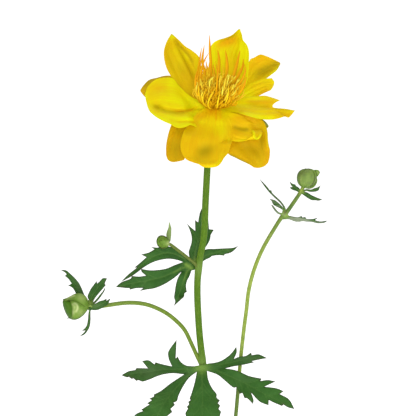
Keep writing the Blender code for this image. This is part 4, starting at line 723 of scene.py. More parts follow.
# the front right sepal: lemon painted near its claw as painted light, painted olive shadow below the inner sepal's
# fold, and orange painted shade under the lower right sepal's edge
sepal("sepal_front_right",
      [(221.6, 109.2), (240, 113), (252, 115.5), (262, 120), (266, 126), (267.5, 132), (268, 140), (269, 146), (270, 150), (269.5, 158), (268, 163)],
      [(216.6, 112.4), (220.5, 125), (223.5, 138), (228, 153.5), (235, 157.5), (242, 161), (249, 164.3), (254, 167.5)],
      [(0, 0.9), (.3, 2.5), (.5, 3.2), (.75, 5), (1, 5.5)], [(0, 1.3), (.3, 3.8), (.6, 5.6), (1, 6.5)], [(0, 1.6), (.3, 4.4), (.6, 7), (1, 7.5)],
      end=[(268, 163), (264, 166.5), (258, 168), (254, 167.5)],
      relief=lambda x, y, s, t: 0.7 * lump(x, y, 258, 158, 9, 8) - 0.5 * lump(x, y, 248, 148, 14, 5, 18) + 0.35 * lump(x, y, 244, 118, 12, 4, 12) + 0.5 * band(x, y, [(265, 128), (266.5, 140), (268, 152)], 1.8),
      shade=lambda x, y, s, t: (-0.50 + 0.80 * lump(x, y, 228, 112, 9, 4, 12) + 0.30 * band(x, y, [(264, 126), (267, 136), (268, 150)], 1.5),
                                0.22 + 0.42 * lump(x, y, 250, 149, 12, 6, 12) + 0.55 * lump(x, y, 262, 141, 3, 8) + 0.22 * lump(x, y, 257, 158, 9, 7),
                                0.60 * band(x, y, [(227.5, 153.6), (238, 159.2), (250, 165.2)], 1.0),
                                0.22 + 0.40 * lump(x, y, 246, 117, 14, 4, 14) + 0.35 * band(x, y, [(266.5, 148), (268, 158), (262, 166)], 2.4)),
      join=[("sepal_right_lower", -0.55, lambda x, y, s, t: np.minimum((0.26 - t) / 0.16, (264 - x) / 10), 0)],
      ruffle=0.22, pleats=4.0, seed=15)
# the inner front sepal: a fold whose curled hook and lower margin carry painted highlights, with painted olive shade in
# the hollow above them
S7B_HOOK = [(249.5, 131), (252.5, 130.4), (253.6, 133), (254.4, 136.6), (256.6, 139), (259.6, 137), (260.8, 133.4)]
sepal("sepal_front_inner",
      [(219.9, 109.6), (236, 113.6), (248, 117.5), (258, 121.5), (262, 127.5), (262.5, 133)],
      [(216.8, 111.2), (221.5, 125), (224, 134), (228, 139.4), (236, 141.5), (245, 140.6), (250, 137.4), (254, 135)],
      [(0, 2.4), (.3, 4.3), (.6, 4.8), (1, 6.6)], [(0, 3.0), (.3, 5.6), (.6, 6.7), (1, 7.2)], [(0, 3.4), (.3, 6.6), (.6, 7.6), (1, 7.6)],
      end=[(262.5, 133), (260.4, 137.2), (257, 139.6), (254.6, 137.6), (254, 135)],
      relief=lambda x, y, s, t: -1.2 * lump(x, y, 243, 128, 9, 3.2, 8) + 0.55 * lump(x, y, 240, 136, 12, 4, 6) + 0.9 * band(x, y, S7B_HOOK, 1.3) - 0.8 * lump(x, y, 251.6, 132.8, 1.4),
      shade=lambda x, y, s, t: (-0.30 + 0.60 * lump(x, y, 226, 113, 8, 4, 14) + 0.40 * lump(x, y, 224, 128, 6, 12) + 0.95 * band(x, y, S7B_HOOK, 1.1) + 0.4 * band(x, y, [(226, 137.5), (231, 140.6), (240, 141), (247, 139)], 1.2),
                                0.75 * band(x, y, [(232, 125.5), (238, 128.8), (244, 130), (250, 128.8)], 2.4) + 0.55 * lump(x, y, 251.8, 133, 1.2) + 0.25 * lump(x, y, 257, 134, 1.6, 2.4),
                                z(x), 0.10 + 0.50 * lump(x, y, 250, 119, 14, 5, 14) + 0.2 * lump(x, y, 243, 135, 8, 3)),
      join=[("sepal_front_right", 0.15, lambda x, y, s, t: np.minimum((x - 246) / 10, (132.5 - y) / 4) + 0.8 * np.clip((0.12 - t) / 0.12, 0, 1) * (y < 132), 1)],
      ruffle=0.1, pleats=3.5, seed=17)
# the front sepal: rays from its claw, painted olive shade in a hollow low down, and a turned lip with a painted
# highlight along it
sepal("sepal_front",
      [(205.6, 107.6), (199.5, 111.5), (193.5, 117), (187.5, 124.6), (183.4, 132.5), (181, 140), (180.8, 150), (184, 157)],
      [(222.6, 108.6), (228.5, 116), (233.0, 128), (232.4, 139.0), (228, 153.5)],
      [(0, 3.4), (.3, 4.4), (.45, 5.6), (.6, 7.8), (1, 10)], [(0, 3.8), (.3, 6.9), (.6, 10.4), (1, 12.6)], [(0, 3.4), (.3, 6.2), (.6, 8.8), (1, 11.4)],
      end=[(184, 157), (187, 160), (193, 162.5), (199, 164.5), (203, 167), (210, 167.7), (217, 166.5), (221, 163), (224, 158), (228, 153.5)],
      relief=lambda x, y, s, t: -1.5 * lump(x, y, 204, 151, 9, 7, -30) + 0.8 * band(x, y, [(196, 162.6), (206, 164.4), (218, 163.6)], 2.6) + 0.4 * lump(x, y, 190, 144, 7, 10)
      + 0.14 * np.clip(1 - np.hypot(x - 213, y - 106) / 34, 0, 1) * np.sin(np.arctan2(x - 213, y - 100) * 34),
      shade=lambda x, y, s, t: (-0.38 + 0.80 * lump(x, y, 223, 124, 9, 15, 10) + 0.36 * lump(x, y, 207, 122, 9, 7) + 0.34 * band(x, y, [(203, 166), (210, 167), (217, 163.8), (221, 159)], 2.0) + 0.25 * lump(x, y, 220, 156, 5, 8) + 0.2 * lump(x, y, 202, 122, 3),
                                0.85 * lump(x, y, 204.5, 150.8, 9, 7.0, -30) + 0.25 * lump(x, y, 194, 159, 6, 2.6, 14) + 0.18 * lump(x, y, 216, 148, 7, 6) + 0.20 * lump(x, y, 190, 130, 8, 3, -30),
                                z(x),
                                0.15 * lump(x, y, 192, 146, 8, 12) + 0.60 * band(x, y, [(215.5, 106), (216, 113), (216.6, 122)], 1.0) + 0.55 * band(x, y, [(219, 107), (220, 114), (221, 121)], 1.0) + 0.35 * band(x, y, [(211.5, 107), (210.5, 116)], 1.0)
                                + 0.40 * lump(x, y, 213, 108, 8, 4) + 0.35 * lump(x, y, 200, 116, 5, 3) + 0.3 * band(x, y, [(184, 156.4), (190, 160.6), (198, 163.6)], 1.4)),
      join=[("sepal_front_inner", 0.12, lambda x, y, s, t: np.minimum((t - 0.66) / 0.30, (144 - y) / 6), 1)],
      ruffle=0.12, pleats=5.5, seed=19)
# the front left sepal lies behind the others and is painted darker and more olive all over, as painted shade
sepal("sepal_front_left",
      [(204.9, 108.2), (190, 113), (178, 118), (172, 124), (169, 131.5), (167, 140), (166, 147), (166, 155)],
      [(207.8, 111.4), (200, 125), (193, 138), (188, 150), (184, 160)],
      [(0, 0.6), (.4, 0.6), (.7, 2.4), (1, 4.5)], [(0, 1.0), (.4, 2.8), (.7, 4.6), (1, 5.8)], [(0, 1.6), (.4, 4.4), (.7, 6.2), (1, 7.2)],
      end=[(166, 155), (168, 160), (172, 162), (178, 161.5), (184, 160)],
      relief=lambda x, y, s, t: groove(x, y, [(176, 128), (172, 140), (170, 152)], 1.8, 0.35),
      shade=lambda x, y, s, t: (-0.75 + 0.25 * lump(x, y, 172.5, 134, 3, 8), 0.30 + 0.42 * lump(x, y, 177, 150, 7, 10) + 0.25 * lump(x, y, 180, 132, 6, 5),
                                0.10 * band(x, y, [(168, 160), (175, 162)], 1.5), 0.35 + 0.3 * band(x, y, [(168, 134), (166.5, 146), (168, 158)], 2.0)),
      ruffle=0.2, pleats=3.5, seed=21)
# the left sepal: a smooth bright bowl, its lower part turned up over a crease, with painted olive and orange shade
# along the crease, painted highlights on the turned-up lip, and lemon near its claw as painted light
S10_CREASE = [(153, 106), (164, 109.8), (180, 111.6), (192, 109.8), (201, 105.6)]
sepal("sepal_left",
      [(203.8, 102.6), (190, 96), (180, 87), (172, 78), (165, 77.5), (157, 79), (151, 83), (147, 88), (145, 95)],
      [(208.6, 109.0), (208.6, 113), (208.2, 118), (206.6, 124), (201.5, 128.4), (195.5, 126.6), (190, 124.9), (187, 126.2), (181, 127.9), (176, 127.2), (170, 124), (163, 121), (156, 117), (150, 112)],
      [(0, -1.0), (.3, -3.2), (.6, -4.4), (1, -1)], [(0, .4), (.3, .4), (.6, .6), (1, 1.2)], [(0, 2.4), (.07, 3.2), (.13, 4.2), (.22, 5.6), (.35, 7.6), (.6, 8.0), (1, 3.5)],
      end=[(145, 95), (146, 101), (148, 108), (150, 112)],
      relief=lambda x, y, s, t: groove(x, y, S10_CREASE, 2.6, 1.9) - 1.1 * lump(x, y, 157, 106.5, 5, 3.4, 15) + 0.6 * lump(x, y, 166, 93, 12, 9, -15)
      + 0.55 * lump(x, y, 192, 117.5, 7, 2.6, -4) + groove(x, y, [(176, 122), (186, 121.4), (196, 122.2), (201, 124.6)], 1.5, 0.45) + 0.4 * lump(x, y, 201.5, 121.5, 2.6) - 0.3 * lump(x, y, 199, 114.5, 4, 2),
      shade=lambda x, y, s, t: (0.24 + 0.45 * lump(x, y, 184, 102, 15, 5, 8) + 0.25 * lump(x, y, 172, 84, 5, 8, 20) + 0.45 * band(x, y, [(150, 112), (160, 118.6), (172, 124.6), (182, 127), (189, 125)], 1.6) + 0.85 * lump(x, y, 191, 117.5, 7, 2.6, -4)
                                + 0.35 * lump(x, y, 170, 118, 8, 3, 8) + 0.4 * lump(x, y, 202, 122, 2.2) + 0.35 * band(x, y, [(146, 90), (145.4, 95), (147, 99)], 2) - 0.30 * lump(x, y, 160, 88, 8, 7) + 0.35 * band(x, y, [(197, 109), (202, 106.6)], 1.6) + 0.40 * lump(x, y, 195, 105, 9, 4, 12),
                                0.70 * lump(x, y, 157, 107, 4.6, 3.0, 18) + 0.45 * band(x, y, [(159, 109.6), (168, 111.8), (178, 112.8), (188, 111.6)], 2.0) + 0.10 * lump(x, y, 197, 101, 7, 2.4, 20) + 0.15 * lump(x, y, 199, 114.6, 4, 2),
                                z(x), 0.75 * band(x, y, [(172, 110.6), (182, 111.4), (192, 109.9), (201, 105.6)], 1.3) + 0.35 * band(x, y, [(176, 122.4), (186, 121.8), (196, 122.6)], 1.2) + 0.25 * lump(x, y, 182, 115, 8, 2.4) + 0.3 * lump(x, y, 196, 123, 5, 2) + 0.25 * lump(x, y, 204, 115, 4, 5)),
      join=[("sepal_front", 0.10, lambda x, y, s, t: np.minimum((x - 192) / 10, (y - 108.5) / 4), 1)],
      ruffle=0.16, pleats=3.0, seed=23)
# the outer left sepal lies behind the left sepal and is painted darker and olive, as painted shade
sepal("sepal_left_outer",
      [(201.8, 103.8), (190, 93.5), (180, 84), (172, 76.3), (165, 75.8), (157, 77.8), (149, 80), (143, 86), (140.3, 90.2)],
      [(201.9, 108.6), (190, 110), (175, 110), (160, 107), (150, 102), (145, 97), (142, 93.5), (140.6, 91.6)],
      [(0, -3.6), (.15, -6.8), (.3, -8.2), (.6, -8.6), (1, -5)], [(0, -2.6), (.2, -4.2), (.6, -4.2), (1, -4.6)], [(0, -1.0), (.3, -.9), (.6, -1), (1, -4.4)],
      shade=lambda x, y, s, t: (-0.5 + z(x), 0.45 + 0.35 * band(x, y, [(172, 76.6), (162, 76.8), (152, 79.4), (145, 84.6), (141, 90)], 2.0) - 0.25 * lump(x, y, 143, 91, 2.4, 3), 0.10 * lump(x, y, 150, 80, 10, 4), 0.2 + z(x)),
      ruffle=0.15, pleats=3.0, seed=25)

# ================================ the flower's middle =================================================
_t = math.radians(FLOWER_TILT)
FC = lift_flower(214, 105.5)
FA = UP * math.cos(_t) - AWAY * math.sin(_t)
FB = UP * math.sin(_t) + AWAY * math.cos(_t)


def in_flower(r, h, deg):
    a = math.radians(deg)
    return FC + (RIGHT * (r * math.cos(a)) + FB * (r * math.sin(a)) + FA * h) * MM


NECTARIES = [
    (100, [(211.6, 85, -1.6), (210.8, 70, -1.4), (210, 55, -1.0), (209.5, 35, -0.6)]),
    (118, [(206.8, 86, -0.6), (204.8, 74, 0.4), (202.6, 60, 1.2), (204.3, 45, 1.8)]),
    (150, [(200.6, 91, 1.0), (197.4, 79, 1.8), (199.3, 62, 1.8), (201.5, 48, 1.6)]),
    (170, [(202, 93.5, 3.2), (200.2, 80, 4.8), (203.2, 63, 6.0), (208.5, 53, 6.4)]),
    (84, [(217.8, 84, -1.2), (219, 68, -0.4), (219, 57, 0.2), (217.5, 49.5, 0.6)]),
    (68, [(223.5, 85, -1.2), (226.4, 72, -0.6), (226.6, 60, -0.2), (225.5, 50.5, 0.2)]),
    (50, [(227.5, 87, -0.8), (233.5, 74.5, -0.6), (237.5, 61, -0.6), (240, 50.5, -0.8)]),
    (30, [(231, 88.5, 0.4), (238.5, 75.5, 1.0), (242.6, 67, 1.2), (243.5, 59, 1.2)]),
    (6, [(232, 92.5, 3.0), (241.5, 81, 4.2), (245.3, 71, 4.6), (244.5, 64, 4.4)]),
    (262, [(214.2, 101.5, 7.2), (216.2, 90, 9.8), (217.5, 74, 11.4), (215.5, 61, 11.6)]),
    (196, [(201.5, 101.5, 4.6), (196.5, 91, 6.8), (195.4, 80, 8.0), (197, 71, 8.6)]),
    (338, [(227, 103, 5.0), (236.5, 96.5, 6.8), (243.5, 87, 8.0), (246.5, 77, 8.6)]),
    (228, [(207, 107, 5.6), (203.8, 103.5, 8.8), (202.8, 98.4, 11.4), (206.0, 88.8, 12.8)]),
    (302, [(220.4, 107.6, 5.6), (225.0, 103.5, 9.0), (227.6, 96.6, 11.8), (229.2, 83.4, 13.0)]),
    (246, [(211, 109, 6.0), (208.2, 106.2, 9.6), (208.6, 100.4, 12.6), (216.2, 86.4, 14.0)]),
    (284, [(217, 108.2, 6.0), (217.8, 106.2, 9.6), (218.0, 101.6, 12.6), (220.2, 90.2, 14.2)]),
]
# more of them between, which the frame leaves out
MORE = [
    (109, [(209.2, 86, -0.8), (207.6, 74, -0.2), (206.6, 66, 0.2), (205.8, 60, 0.6)]),
    (134, [(203.6, 88, 0.2), (200.6, 77, 1.0), (199.4, 70, 1.4), (200.4, 63, 1.6)]),
    (92, [(214.4, 85, -1.0), (214.6, 76, -0.4), (213.8, 69, 0.2), (213.2, 64, 0.4)]),
    (76, [(220.6, 86, -0.8), (222.6, 77, -0.2), (223.2, 70, 0.0), (222.6, 65, 0.2)]),
    (40, [(229.4, 88.5, 0.2), (235.6, 80, 0.6), (239.2, 73, 0.8), (240.2, 68, 0.8)]),
    (18, [(231.8, 90.5, 1.6), (239.6, 83, 2.6), (243.4, 77, 3.0), (244.4, 72, 3.0)]),
    (352, [(230, 97.5, 4.0), (239, 90, 5.6), (244.2, 83, 6.4), (245.6, 77, 6.6)]),
    (160, [(201.2, 92.4, 2.2), (198.4, 82, 3.4), (198.6, 75, 4.0), (200.4, 69, 4.2)]),
    (183, [(201.6, 97.4, 3.8), (197.8, 87, 5.6), (197.4, 79, 6.4), (199.0, 72, 6.8)]),
    (212, [(204, 104.4, 5.4), (199.6, 97, 8.2), (198.4, 89, 10.0), (199.6, 82, 11.0)]),
    (320, [(223.8, 105.4, 5.6), (231.4, 100, 8.2), (236.2, 92, 10.0), (237.2, 84, 11.0)]),
]


FILL = [
    (112, [(208.4, 86, -0.6), (206.8, 76, 0.0), (205.6, 70, 0.4), (204.8, 65, 0.6)]),
    (126, [(205.2, 88, 0.2), (202.8, 79, 0.8), (201.4, 73, 1.0), (201.0, 67, 1.2)]),
    (142, [(202.4, 89, 0.8), (199.8, 80, 1.4), (198.7, 74, 1.6), (199.2, 68, 1.8)]),
    (104, [(210.4, 86, -0.9), (209.4, 77, -0.5), (208.6, 71, -0.2), (207.6, 66, 0.0)]),
    (165, [(202.0, 92, 2.6), (200.4, 82, 3.8), (201.6, 74, 4.6), (204.2, 69, 5.0)]),
    (131, [(205.4, 89, 0.2), (204.4, 81, 0.6), (203.4, 75, 0.8), (203.4, 69.5, 1.0)]),
    (121, [(206.8, 88, -0.2), (206.0, 80, 0.2), (205.2, 74.5, 0.4), (206.2, 69, 0.6)]),
    (176, [(201.4, 96, 3.4), (198.6, 87, 5.0), (199.4, 79, 5.8), (201.2, 74, 6.2)]),
    (102, [(210.9, 86, -0.9), (209.9, 77, -0.5), (209.3, 70, -0.2), (208.9, 62.5, 0.0)]),
    (107, [(209.6, 86, -0.5), (208.2, 78, 0.3), (207.4, 72, 0.7), (207.2, 66.5, 1.0)]),
    (152, [(200.8, 91, 1.4), (198.8, 80, 2.2), (199.9, 69, 2.6), (201.3, 58.5, 2.6)]),
]


def nectary(piece, ang, pts, wide, seed, twist=0.0, pale=0.0):
    """A narrow upright petal: a channelled strip that tapers to a soft point."""
    r = random.Random(seed)
    out = in_flower(1, 0, ang) - FC
    out /= np.linalg.norm(out)
    route = [in_flower(3.35, -0.6, ang), in_flower(3.5, 1.6, ang)] + [lift_flower(*p) for p in pts]
    n = 44
    path = curve(route, n)
    f = np.linspace(0, 1, n)
    side = np.cross(out, FA)
    path = path + side[None] * (np.sin(f * 5 + r.uniform(0, 6)) * 0.10 * MM * np.sin(f * math.pi))[:, None]
    width = wide / 2 * (0.70 + 0.30 * np.sin(np.clip(f * 1.7, 0, 1) * math.pi * 0.5)) * (1 - 0.86 * np.clip((f - 0.70) / 0.30, 0, 1) ** 1.6)
    # its broad face looks half outwards and half along the drawing's line of sight
    sight = AWAY * (1.0 if out.dot(AWAY) > 0.2 else -1.0)
    broad = out * 0.45 + sight * 0.85
    face = np.array([broad * math.cos(k) + RIGHT * math.sin(k) for k in twist * f])
    P, F, along, cs, sn = tube(path, width, 12, flat=0.45, face=face, channel=-0.22)
    # painted shade and light: the side to the right on the drawing is painted darker and the left side lighter, as if
    # lit from the left; pale strips less so, and their pale is stronger on the left
    cs = cs * (1.0 if np.cross(FA, broad).dot(RIGHT) > 0 else -1.0)
    piece.add(P, F, s=along, ca=cs * (1 - 0.6 * pale), pale=pale * np.clip(1.35 - np.abs(along - 0.58) * 2.0, 0, 1) * np.clip(0.80 - 0.4 * cs, 0, 1))


# painted highlight: the nectaries on the near side are painted pale along their middles
for i, (ang, pts) in enumerate(NECTARIES):
    k = Piece()
    near_side = 200 < ang < 310
    wide = 0.56 if near_side else 1.20 if 20 < ang < 90 else 0.96
    nectary(k, ang, pts, 1.05 if i == 0 else wide, i, 0.25 * math.sin(i * 2.1), pale=0.0 if i == 9 else 0.9 if near_side else 0.1)
    k.make("nectary_fine_%02d" % (i + 1), NECTARY, nodes=("nectary_%02d" % (i + 1),), slot="nectary")
k = Piece()
# painted light: the strips between and the filling strips are painted pale, most of all on the tuft's left, lifting the
# shade inside the ring
for i, (ang, pts) in enumerate(MORE):
    near_side = 200 < ang < 325
    nectary(k, ang, pts, 0.56 if near_side else 0.80, 50 + i, 0.35 * math.sin(i * 1.7), pale=0.75 if i % 2 else 0.35)
for i, (ang, pts) in enumerate(FILL):
    nectary(k, ang, pts, 0.86, 80 + i, 0.2 * math.sin(i * 1.7), pale=(0.95, 0.60, 0.80, 0.9, 0.75, 0.95, 0.60, 0.7, 0.55, 0.85, 0.25)[i])
k.make("nectaries_between", NECTARY, slot="nectary")

# the stamens: a brush of fine filaments that bow out and up, lean a little to the right and end in long anthers
rnd = random.Random(11)
k = Piece()
COUNT = 520
for i in range(COUNT):
    ring = ((i + 0.5) / COUNT) ** 0.6
    ang = i * 137.508 % 360
    ca, sa = math.cos(math.radians(ang)), math.sin(math.radians(ang))
    front = max(0.0, -sa)
    polar = math.radians(7 + (46 - 3 * front) * ring + rnd.uniform(-4, 4))
    long = (11.8 + rnd.uniform(-2.1, 0.9) + front * (0.7 - 6.4 * ring ** 1.5 * rnd.random())) * (1 - 0.26 * math.exp(-(ring / 0.34) ** 2))
    r0 = 1.9 + 1.3 * ring
    r, h = long * math.sin(polar) * (1 + 0.14 * ca), long * math.cos(polar)
    sway = RIGHT * (1.1 + rnd.uniform(-1.5, 1.9)) * (max(h, 0) / 9) ** 1.3 * MM
    bend = rnd.uniform(-12, 12)
    hook = RIGHT * rnd.uniform(-0.8, 0.8) * MM
    route = [in_flower(r0, 0.2, ang), in_flower(r0 + (r - r0) * (0.30 + 0.26 * ring), h * 0.38, ang), in_flower(r0 + (r - r0) * (0.72 + 0.16 * ring), h * 0.72, ang + bend * 0.6) + sway * 0.45 - hook,
             in_flower(r, h, ang + bend) + sway]
    n = 15
    path = curve(route, n)
    f = np.linspace(0, 1, n)
    wide = 0.11 + (0.13 + 0.12 * rnd.random()) * np.clip((f - 0.62) / 0.08, 0, 1)
    wide = wide * np.sqrt(np.clip(1 - np.clip((f - 0.88) / 0.12, 0, 1) ** 2, 0.10, 1))
    turn = rnd.uniform(0, math.pi)
    face = RIGHT * math.cos(turn) + AWAY * math.sin(turn)
    P, F, along, cs, sn = tube(path, wide, 6, flat=0.72, face=np.array([face] * n))
    bright = rnd.random()
    head = np.clip((along - 0.58) / 0.14, 0, 1)
    # the anthers are pale or golden at random; painted light makes those on the left lighter, and those low in front
    # are darker; the filaments' feet are darker, partly painted shade of the gaps low in the brush
    tone = ((0.95 if bright > 0.90 else 0.02 + 0.42 * bright) * (1 - 0.7 * front * ring) + 0.16 * max(0.0, -ca) * (1 - front)) * head + 0.03 * (1 - head)
    k.add(P, F, anther=np.clip(tone, 0, 1), base=np.clip((1 - head) * (0.80 - 0.45 * along) + (0.50 if bright < 0.18 else 0.60 * front * ring) * head, 0, 1))
# the pale anthers that stand out of the brush, pale partly as painted highlights
for x0, y0, x1, y1, tone in [(196.4, 91.0, 198.0, 76.0, 0.95), (222.4, 92.4, 223.0, 86.4, 0.95), (228.2, 79.0, 229.2, 75.0, 0.9), (233.5, 93.8, 239.6, 85.8, 0.9),
                            (201.6, 86.0, 199.6, 75.4, 0.45), (210.2, 80.4, 213.8, 76.8, 0.8), (225.2, 99.0, 227.4, 93.2, 0.35), (236.4, 83.6, 238.2, 79.0, 0.7), (241.2, 86.0, 245.2, 79.6, 0.5),
                            (224.6, 84.0, 225.4, 78.4, 0.45), (232.2, 88.8, 234.0, 84.0, 0.6), (219.6, 80.4, 220.6, 75.6, 0.35), (201.4, 95.6, 203.2, 91.4, 0.5)]:
    ends = []
    for x, y, r in ((x0, y0, 12.6), (x1, y1, 13.0)):
        a, b = (x - 214) * DRAW_UNIT, (105.5 - y) * DRAW_UNIT
        ends.append(lift_flower(x, y, math.sqrt(max(r * r - a * a - b * b, 1.0))))
    ang = math.degrees(math.atan2(-0.6, (x0 - 214) / 14))
    path = curve([in_flower(3.0, 0.2, ang), in_flower(3.6, 2.6, ang), ends[0], (ends[0] + ends[1]) / 2 + AWAY * -0.3 * MM, ends[1]], 22)
    f = np.linspace(0, 1, 22)
    wide = 0.11 + 0.17 * np.clip((f - 0.52) / 0.08, 0, 1)
    wide = wide * np.sqrt(np.clip(1 - np.clip((f - 0.90) / 0.10, 0, 1) ** 2, 0.10, 1))
    P, F, along, cs, sn = tube(path, wide, 8, flat=0.72, face=np.array([-AWAY] * 22))
    head = np.clip((along - 0.50) / 0.10, 0, 1)
    k.add(P, F, anther=tone * head, base=(1 - head) * 0.7)
k.make("stamens_fine", STAMEN, nodes=("stamens",), slot="nectary")

# the carpels: a tight cone of small beaked pods
k = Piece()
for i in range(34):
    f = (i + 0.5) / 34
    ang = i * 137.508
    r0 = 1.62 * math.sqrt(f)
    h = 4.9 - 2.9 * f ** 1.3
    path = curve([in_flower(r0 * 0.75, 0.35, ang), in_flower(r0, h * 0.6, ang), in_flower(r0 * 1.02, h, ang), in_flower(r0 * 1.18, h + 0.55, ang)], 12)
    g = np.linspace(0, 1, 12)
    P, F, along, cs, sn = tube(path, 0.27 * (1 - 0.78 * np.clip((g - 0.72) / 0.28, 0, 1)), 8)
    k.add(P, F, anther=0.25 + 0.4 * along, base=np.clip(1 - along * 1.6, 0, 1))
P, F, along, cs, sn = tube(np.array([in_flower(0, 0.32 + 1.2 * q, 0) for q in np.linspace(0, 1, 6)]), np.array([1.5, 1.6, 1.55, 1.4, 1.1, 0.5]), 20)
k.add(P, F, anther=0.0, base=1.0)
k.make("carpels", STAMEN, nodes=("pistils",), slot="nectary")

# ================================ stems ===============================================================
MAIN = [(206.3, 668, 0), (206.3, 640, 0), (206.2, 560, 0.6), (205.6, 480, 0.8), (204.6, 420, 0.5), (202.7, 365, 0), (199.2, 330, 0),
        (197.3, 289, 0), (198.3, 271, 0), (200.5, 255, 0), (203.7, 238, 0), (205.6, 200, 0), (207.3, 168, 0.2),
        (208.6, 145, 0.8), (210.4, 128, 1.6)]
RIGHT_ST = [(214.5, 660, -3.0), (214.8, 640, -3.0), (219.5, 570, -3.6), (226.3, 495, -4.0), (231.2, 450, -4.1), (235.7, 416, -4.1), (240.5, 360, -3.8),
            (243.8, 330, -3.4), (246.4, 310, -3.2), (248.8, 290, -3.1), (254.0, 270, -3.2), (262.1, 250, -3.6),
            (273.5, 230, -4.4), (282.3, 216.5, -5.0), (286, 213, -5.2), (292.3, 204.4, -5.5), (300, 193, -5.9), (302.6, 188.4, -6.0)]
LEFT_ST = [(197.7, 357.4, 0.0), (191.9, 344.7, 0.4), (184.6, 330, 1.6), (175.8, 320.5, 3.0), (164.6, 312.1, 5.0), (146.9, 304.6, 8.2),
           (129, 302.7, 10.6), (107.4, 305.2, 11.8), (90.2, 307.9, 12.0)]
STALK = [(194.6, 263.4, 0.9), (188, 258, 1.2), (179.5, 251.3, 1.6), (171.6, 245.4, 2.0)]


def upright_foot(points, x, y_front, top):
    z0 = SOIL_TOP - SOCKET_DEPTH + 0.4
    foot = [np.array((x, y_front, z0)) * MM, np.array((x, y_front, SOIL_TOP + 3.0)) * MM]
    return foot + [lift(*p) for p in points if lift(*p)[2] > (SOIL_TOP + top) * MM]


def near(path, pt, width):
    """1 where a path passes nearest a point, falling off over width mm."""
    g = np.linalg.norm(path - pt, axis=1) / MM
    return np.exp(-((g - g.min()) / width) ** 2)


def stem(name, path, radius, mat, node, slot, sides=24, ridge=0.035, ridges=6, pale=0.0, foot=None, deep=0.0):
    P, F, along, cs, sn = tube(path, radius, sides, ridge=ridge, ridges=ridges)
    run = np.concatenate([[0], np.cumsum(np.linalg.norm(np.diff(path, axis=0), axis=1))]) / MM
    rep = lambda a: np.concatenate([np.repeat(np.broadcast_to(a, (len(path),)), sides), [a[0] if np.ndim(a) else a, a[-1] if np.ndim(a) else a]])
    k = Piece()
    k.add(P, F, ca=cs, sa=sn, len=rep(run), pale=rep(pale), deep=rep(deep), foot=rep(foot) if foot is not None else 0.0)
    return k.make(name, mat, nodes=(node,), slot=slot)


main_path = upright_foot(MAIN, -0.65, 0.0, 12.0)
main_path += [in_flower(0.5, -6.5, 270), in_flower(0, -2.6, 0), in_flower(0, 0, 0)]
path = curve(main_path, 330)
axial = (path - FC) @ FA / MM
off = np.linalg.norm(path - FC - np.outer(axial * MM, FA), axis=1) / MM
rad = np.full(len(path), MAIN_STEM_R * 1.05)
rad = rad + 0.18 * near(path, lift(201.4, 362, 0), 2.4) + 0.14 * near(path, lift(198.5, 268, 0), 2.2)
rad = np.where(axial > -6.0, np.interp(axial, [-6.0, -4.4, -3.2, -2.2, -1.1, 0.0], [1.2, 1.5, 2.1, 2.65, 2.9, 2.5]), rad)
rad = rad + 0.25 * np.clip(1 - (path[:, 2] / MM - 94) / 14, 0, 1) + 0.05 * np.clip((path[:, 2] / MM - 170) / 20, 0, 1) * (axial < -6)
low = np.clip(1 - (path[:, 2] / MM - 94) / 34, 0, 1)
stem("main_stem_fine", path, rad, STEM, "main_stem", "stem", sides=28,
     pale=np.clip(0.30 * near(path, lift(201.4, 366, 0), 4) + 0.3 * near(path, lift(198.5, 268, 0), 3) + 0.35 * np.clip((axial + 5) / 4, 0, 1), 0, 1), foot=low * 0.8)
path = np.vstack([curve(upright_foot(RIGHT_ST, 3.4, 3.4, 12.0), 250), curve([lift(302.6, 188.4, -6.0), lift(303.6, 186.4, -6.0), lift(304.4, 184.6, -6.0)], 11)[1:]])
f = np.linspace(0, 1, 260)
# painted shade: the right stem is darker beside the bracts' nodes and below the lower stem leaf; it is also darker
# along a stretch below the low node
stem("right_stem_fine", path, RIGHT_STEM_R + 0.18 * (1 - f) ** 6 + 0.16 * near(path, lift(284, 214.6, -5.1), 2.0) - 0.08 * np.clip((f - 0.93) / 0.07, 0, 1), THIN, "right_stem", "thin_stem", sides=20,
     pale=0.2 * near(path, lift(286, 213, -5), 3),
     deep=np.clip(0.8 * near(path, lift(289.9, 208.4, -5.3), 2.0) + 0.66 * near(path, lift(295.6, 197.0, -5.3), 1.7) + 0.48 * np.clip((path[:, 2] - lift(256, 262, -4)[2]) / (14 * MM), 0, 1) * (path[:, 2] < lift(284, 214, -5)[2]) + 0.60 * np.clip((lift(238, 366, -4)[2] - path[:, 2]) / (6 * MM), 0, 1), 0, 1), foot=np.clip(1 - f * 7, 0, 1) * 0.7)
path = curve([lift(202.2, 366.5, 0.2)] + [lift(*p) for p in LEFT_ST] + [lift(86.4, 307.4, 12.0)], 160)
t0 = (path[1] - path[0]) / np.linalg.norm(path[1] - path[0])
f = np.linspace(0, 1, 160)
stem("side_stem_left_fine", path, SIDE_STEM_R * (1 + 0.12 * np.exp(-(f / 0.03) ** 2) + 0.05 * np.exp(-((1 - f) / 0.05) ** 2)), BRANCH, "side_stem_left", "thin_stem", sides=20, pale=0.15 * f)
path = curve([lift(198.6, 268.4, 0.2), lift(*STALK[0])] + [lift(*p) for p in STALK[1:]] + [lift(168.6, 243.6, 2.6)], 40)
stem("bud_stalk_middle_fine", path, STALK_R * (1 + 0.18 * np.exp(-(np.linspace(0, 1, 40) / 0.12) ** 2)), STALK_MAT, "bud_stalk_middle", "thin_stem", sides=16)
path = curve([lift(168.6, 241.6, MIDDLE_BUD_D - 2.3), lift(168.9, 233, MIDDLE_BUD_D - 2.0), lift(169.8, 228, MIDDLE_BUD_D - 1.4), lift(169.2, 222, MIDDLE_BUD_D - 0.8)], 30)
f = np.linspace(0, 1, 30)
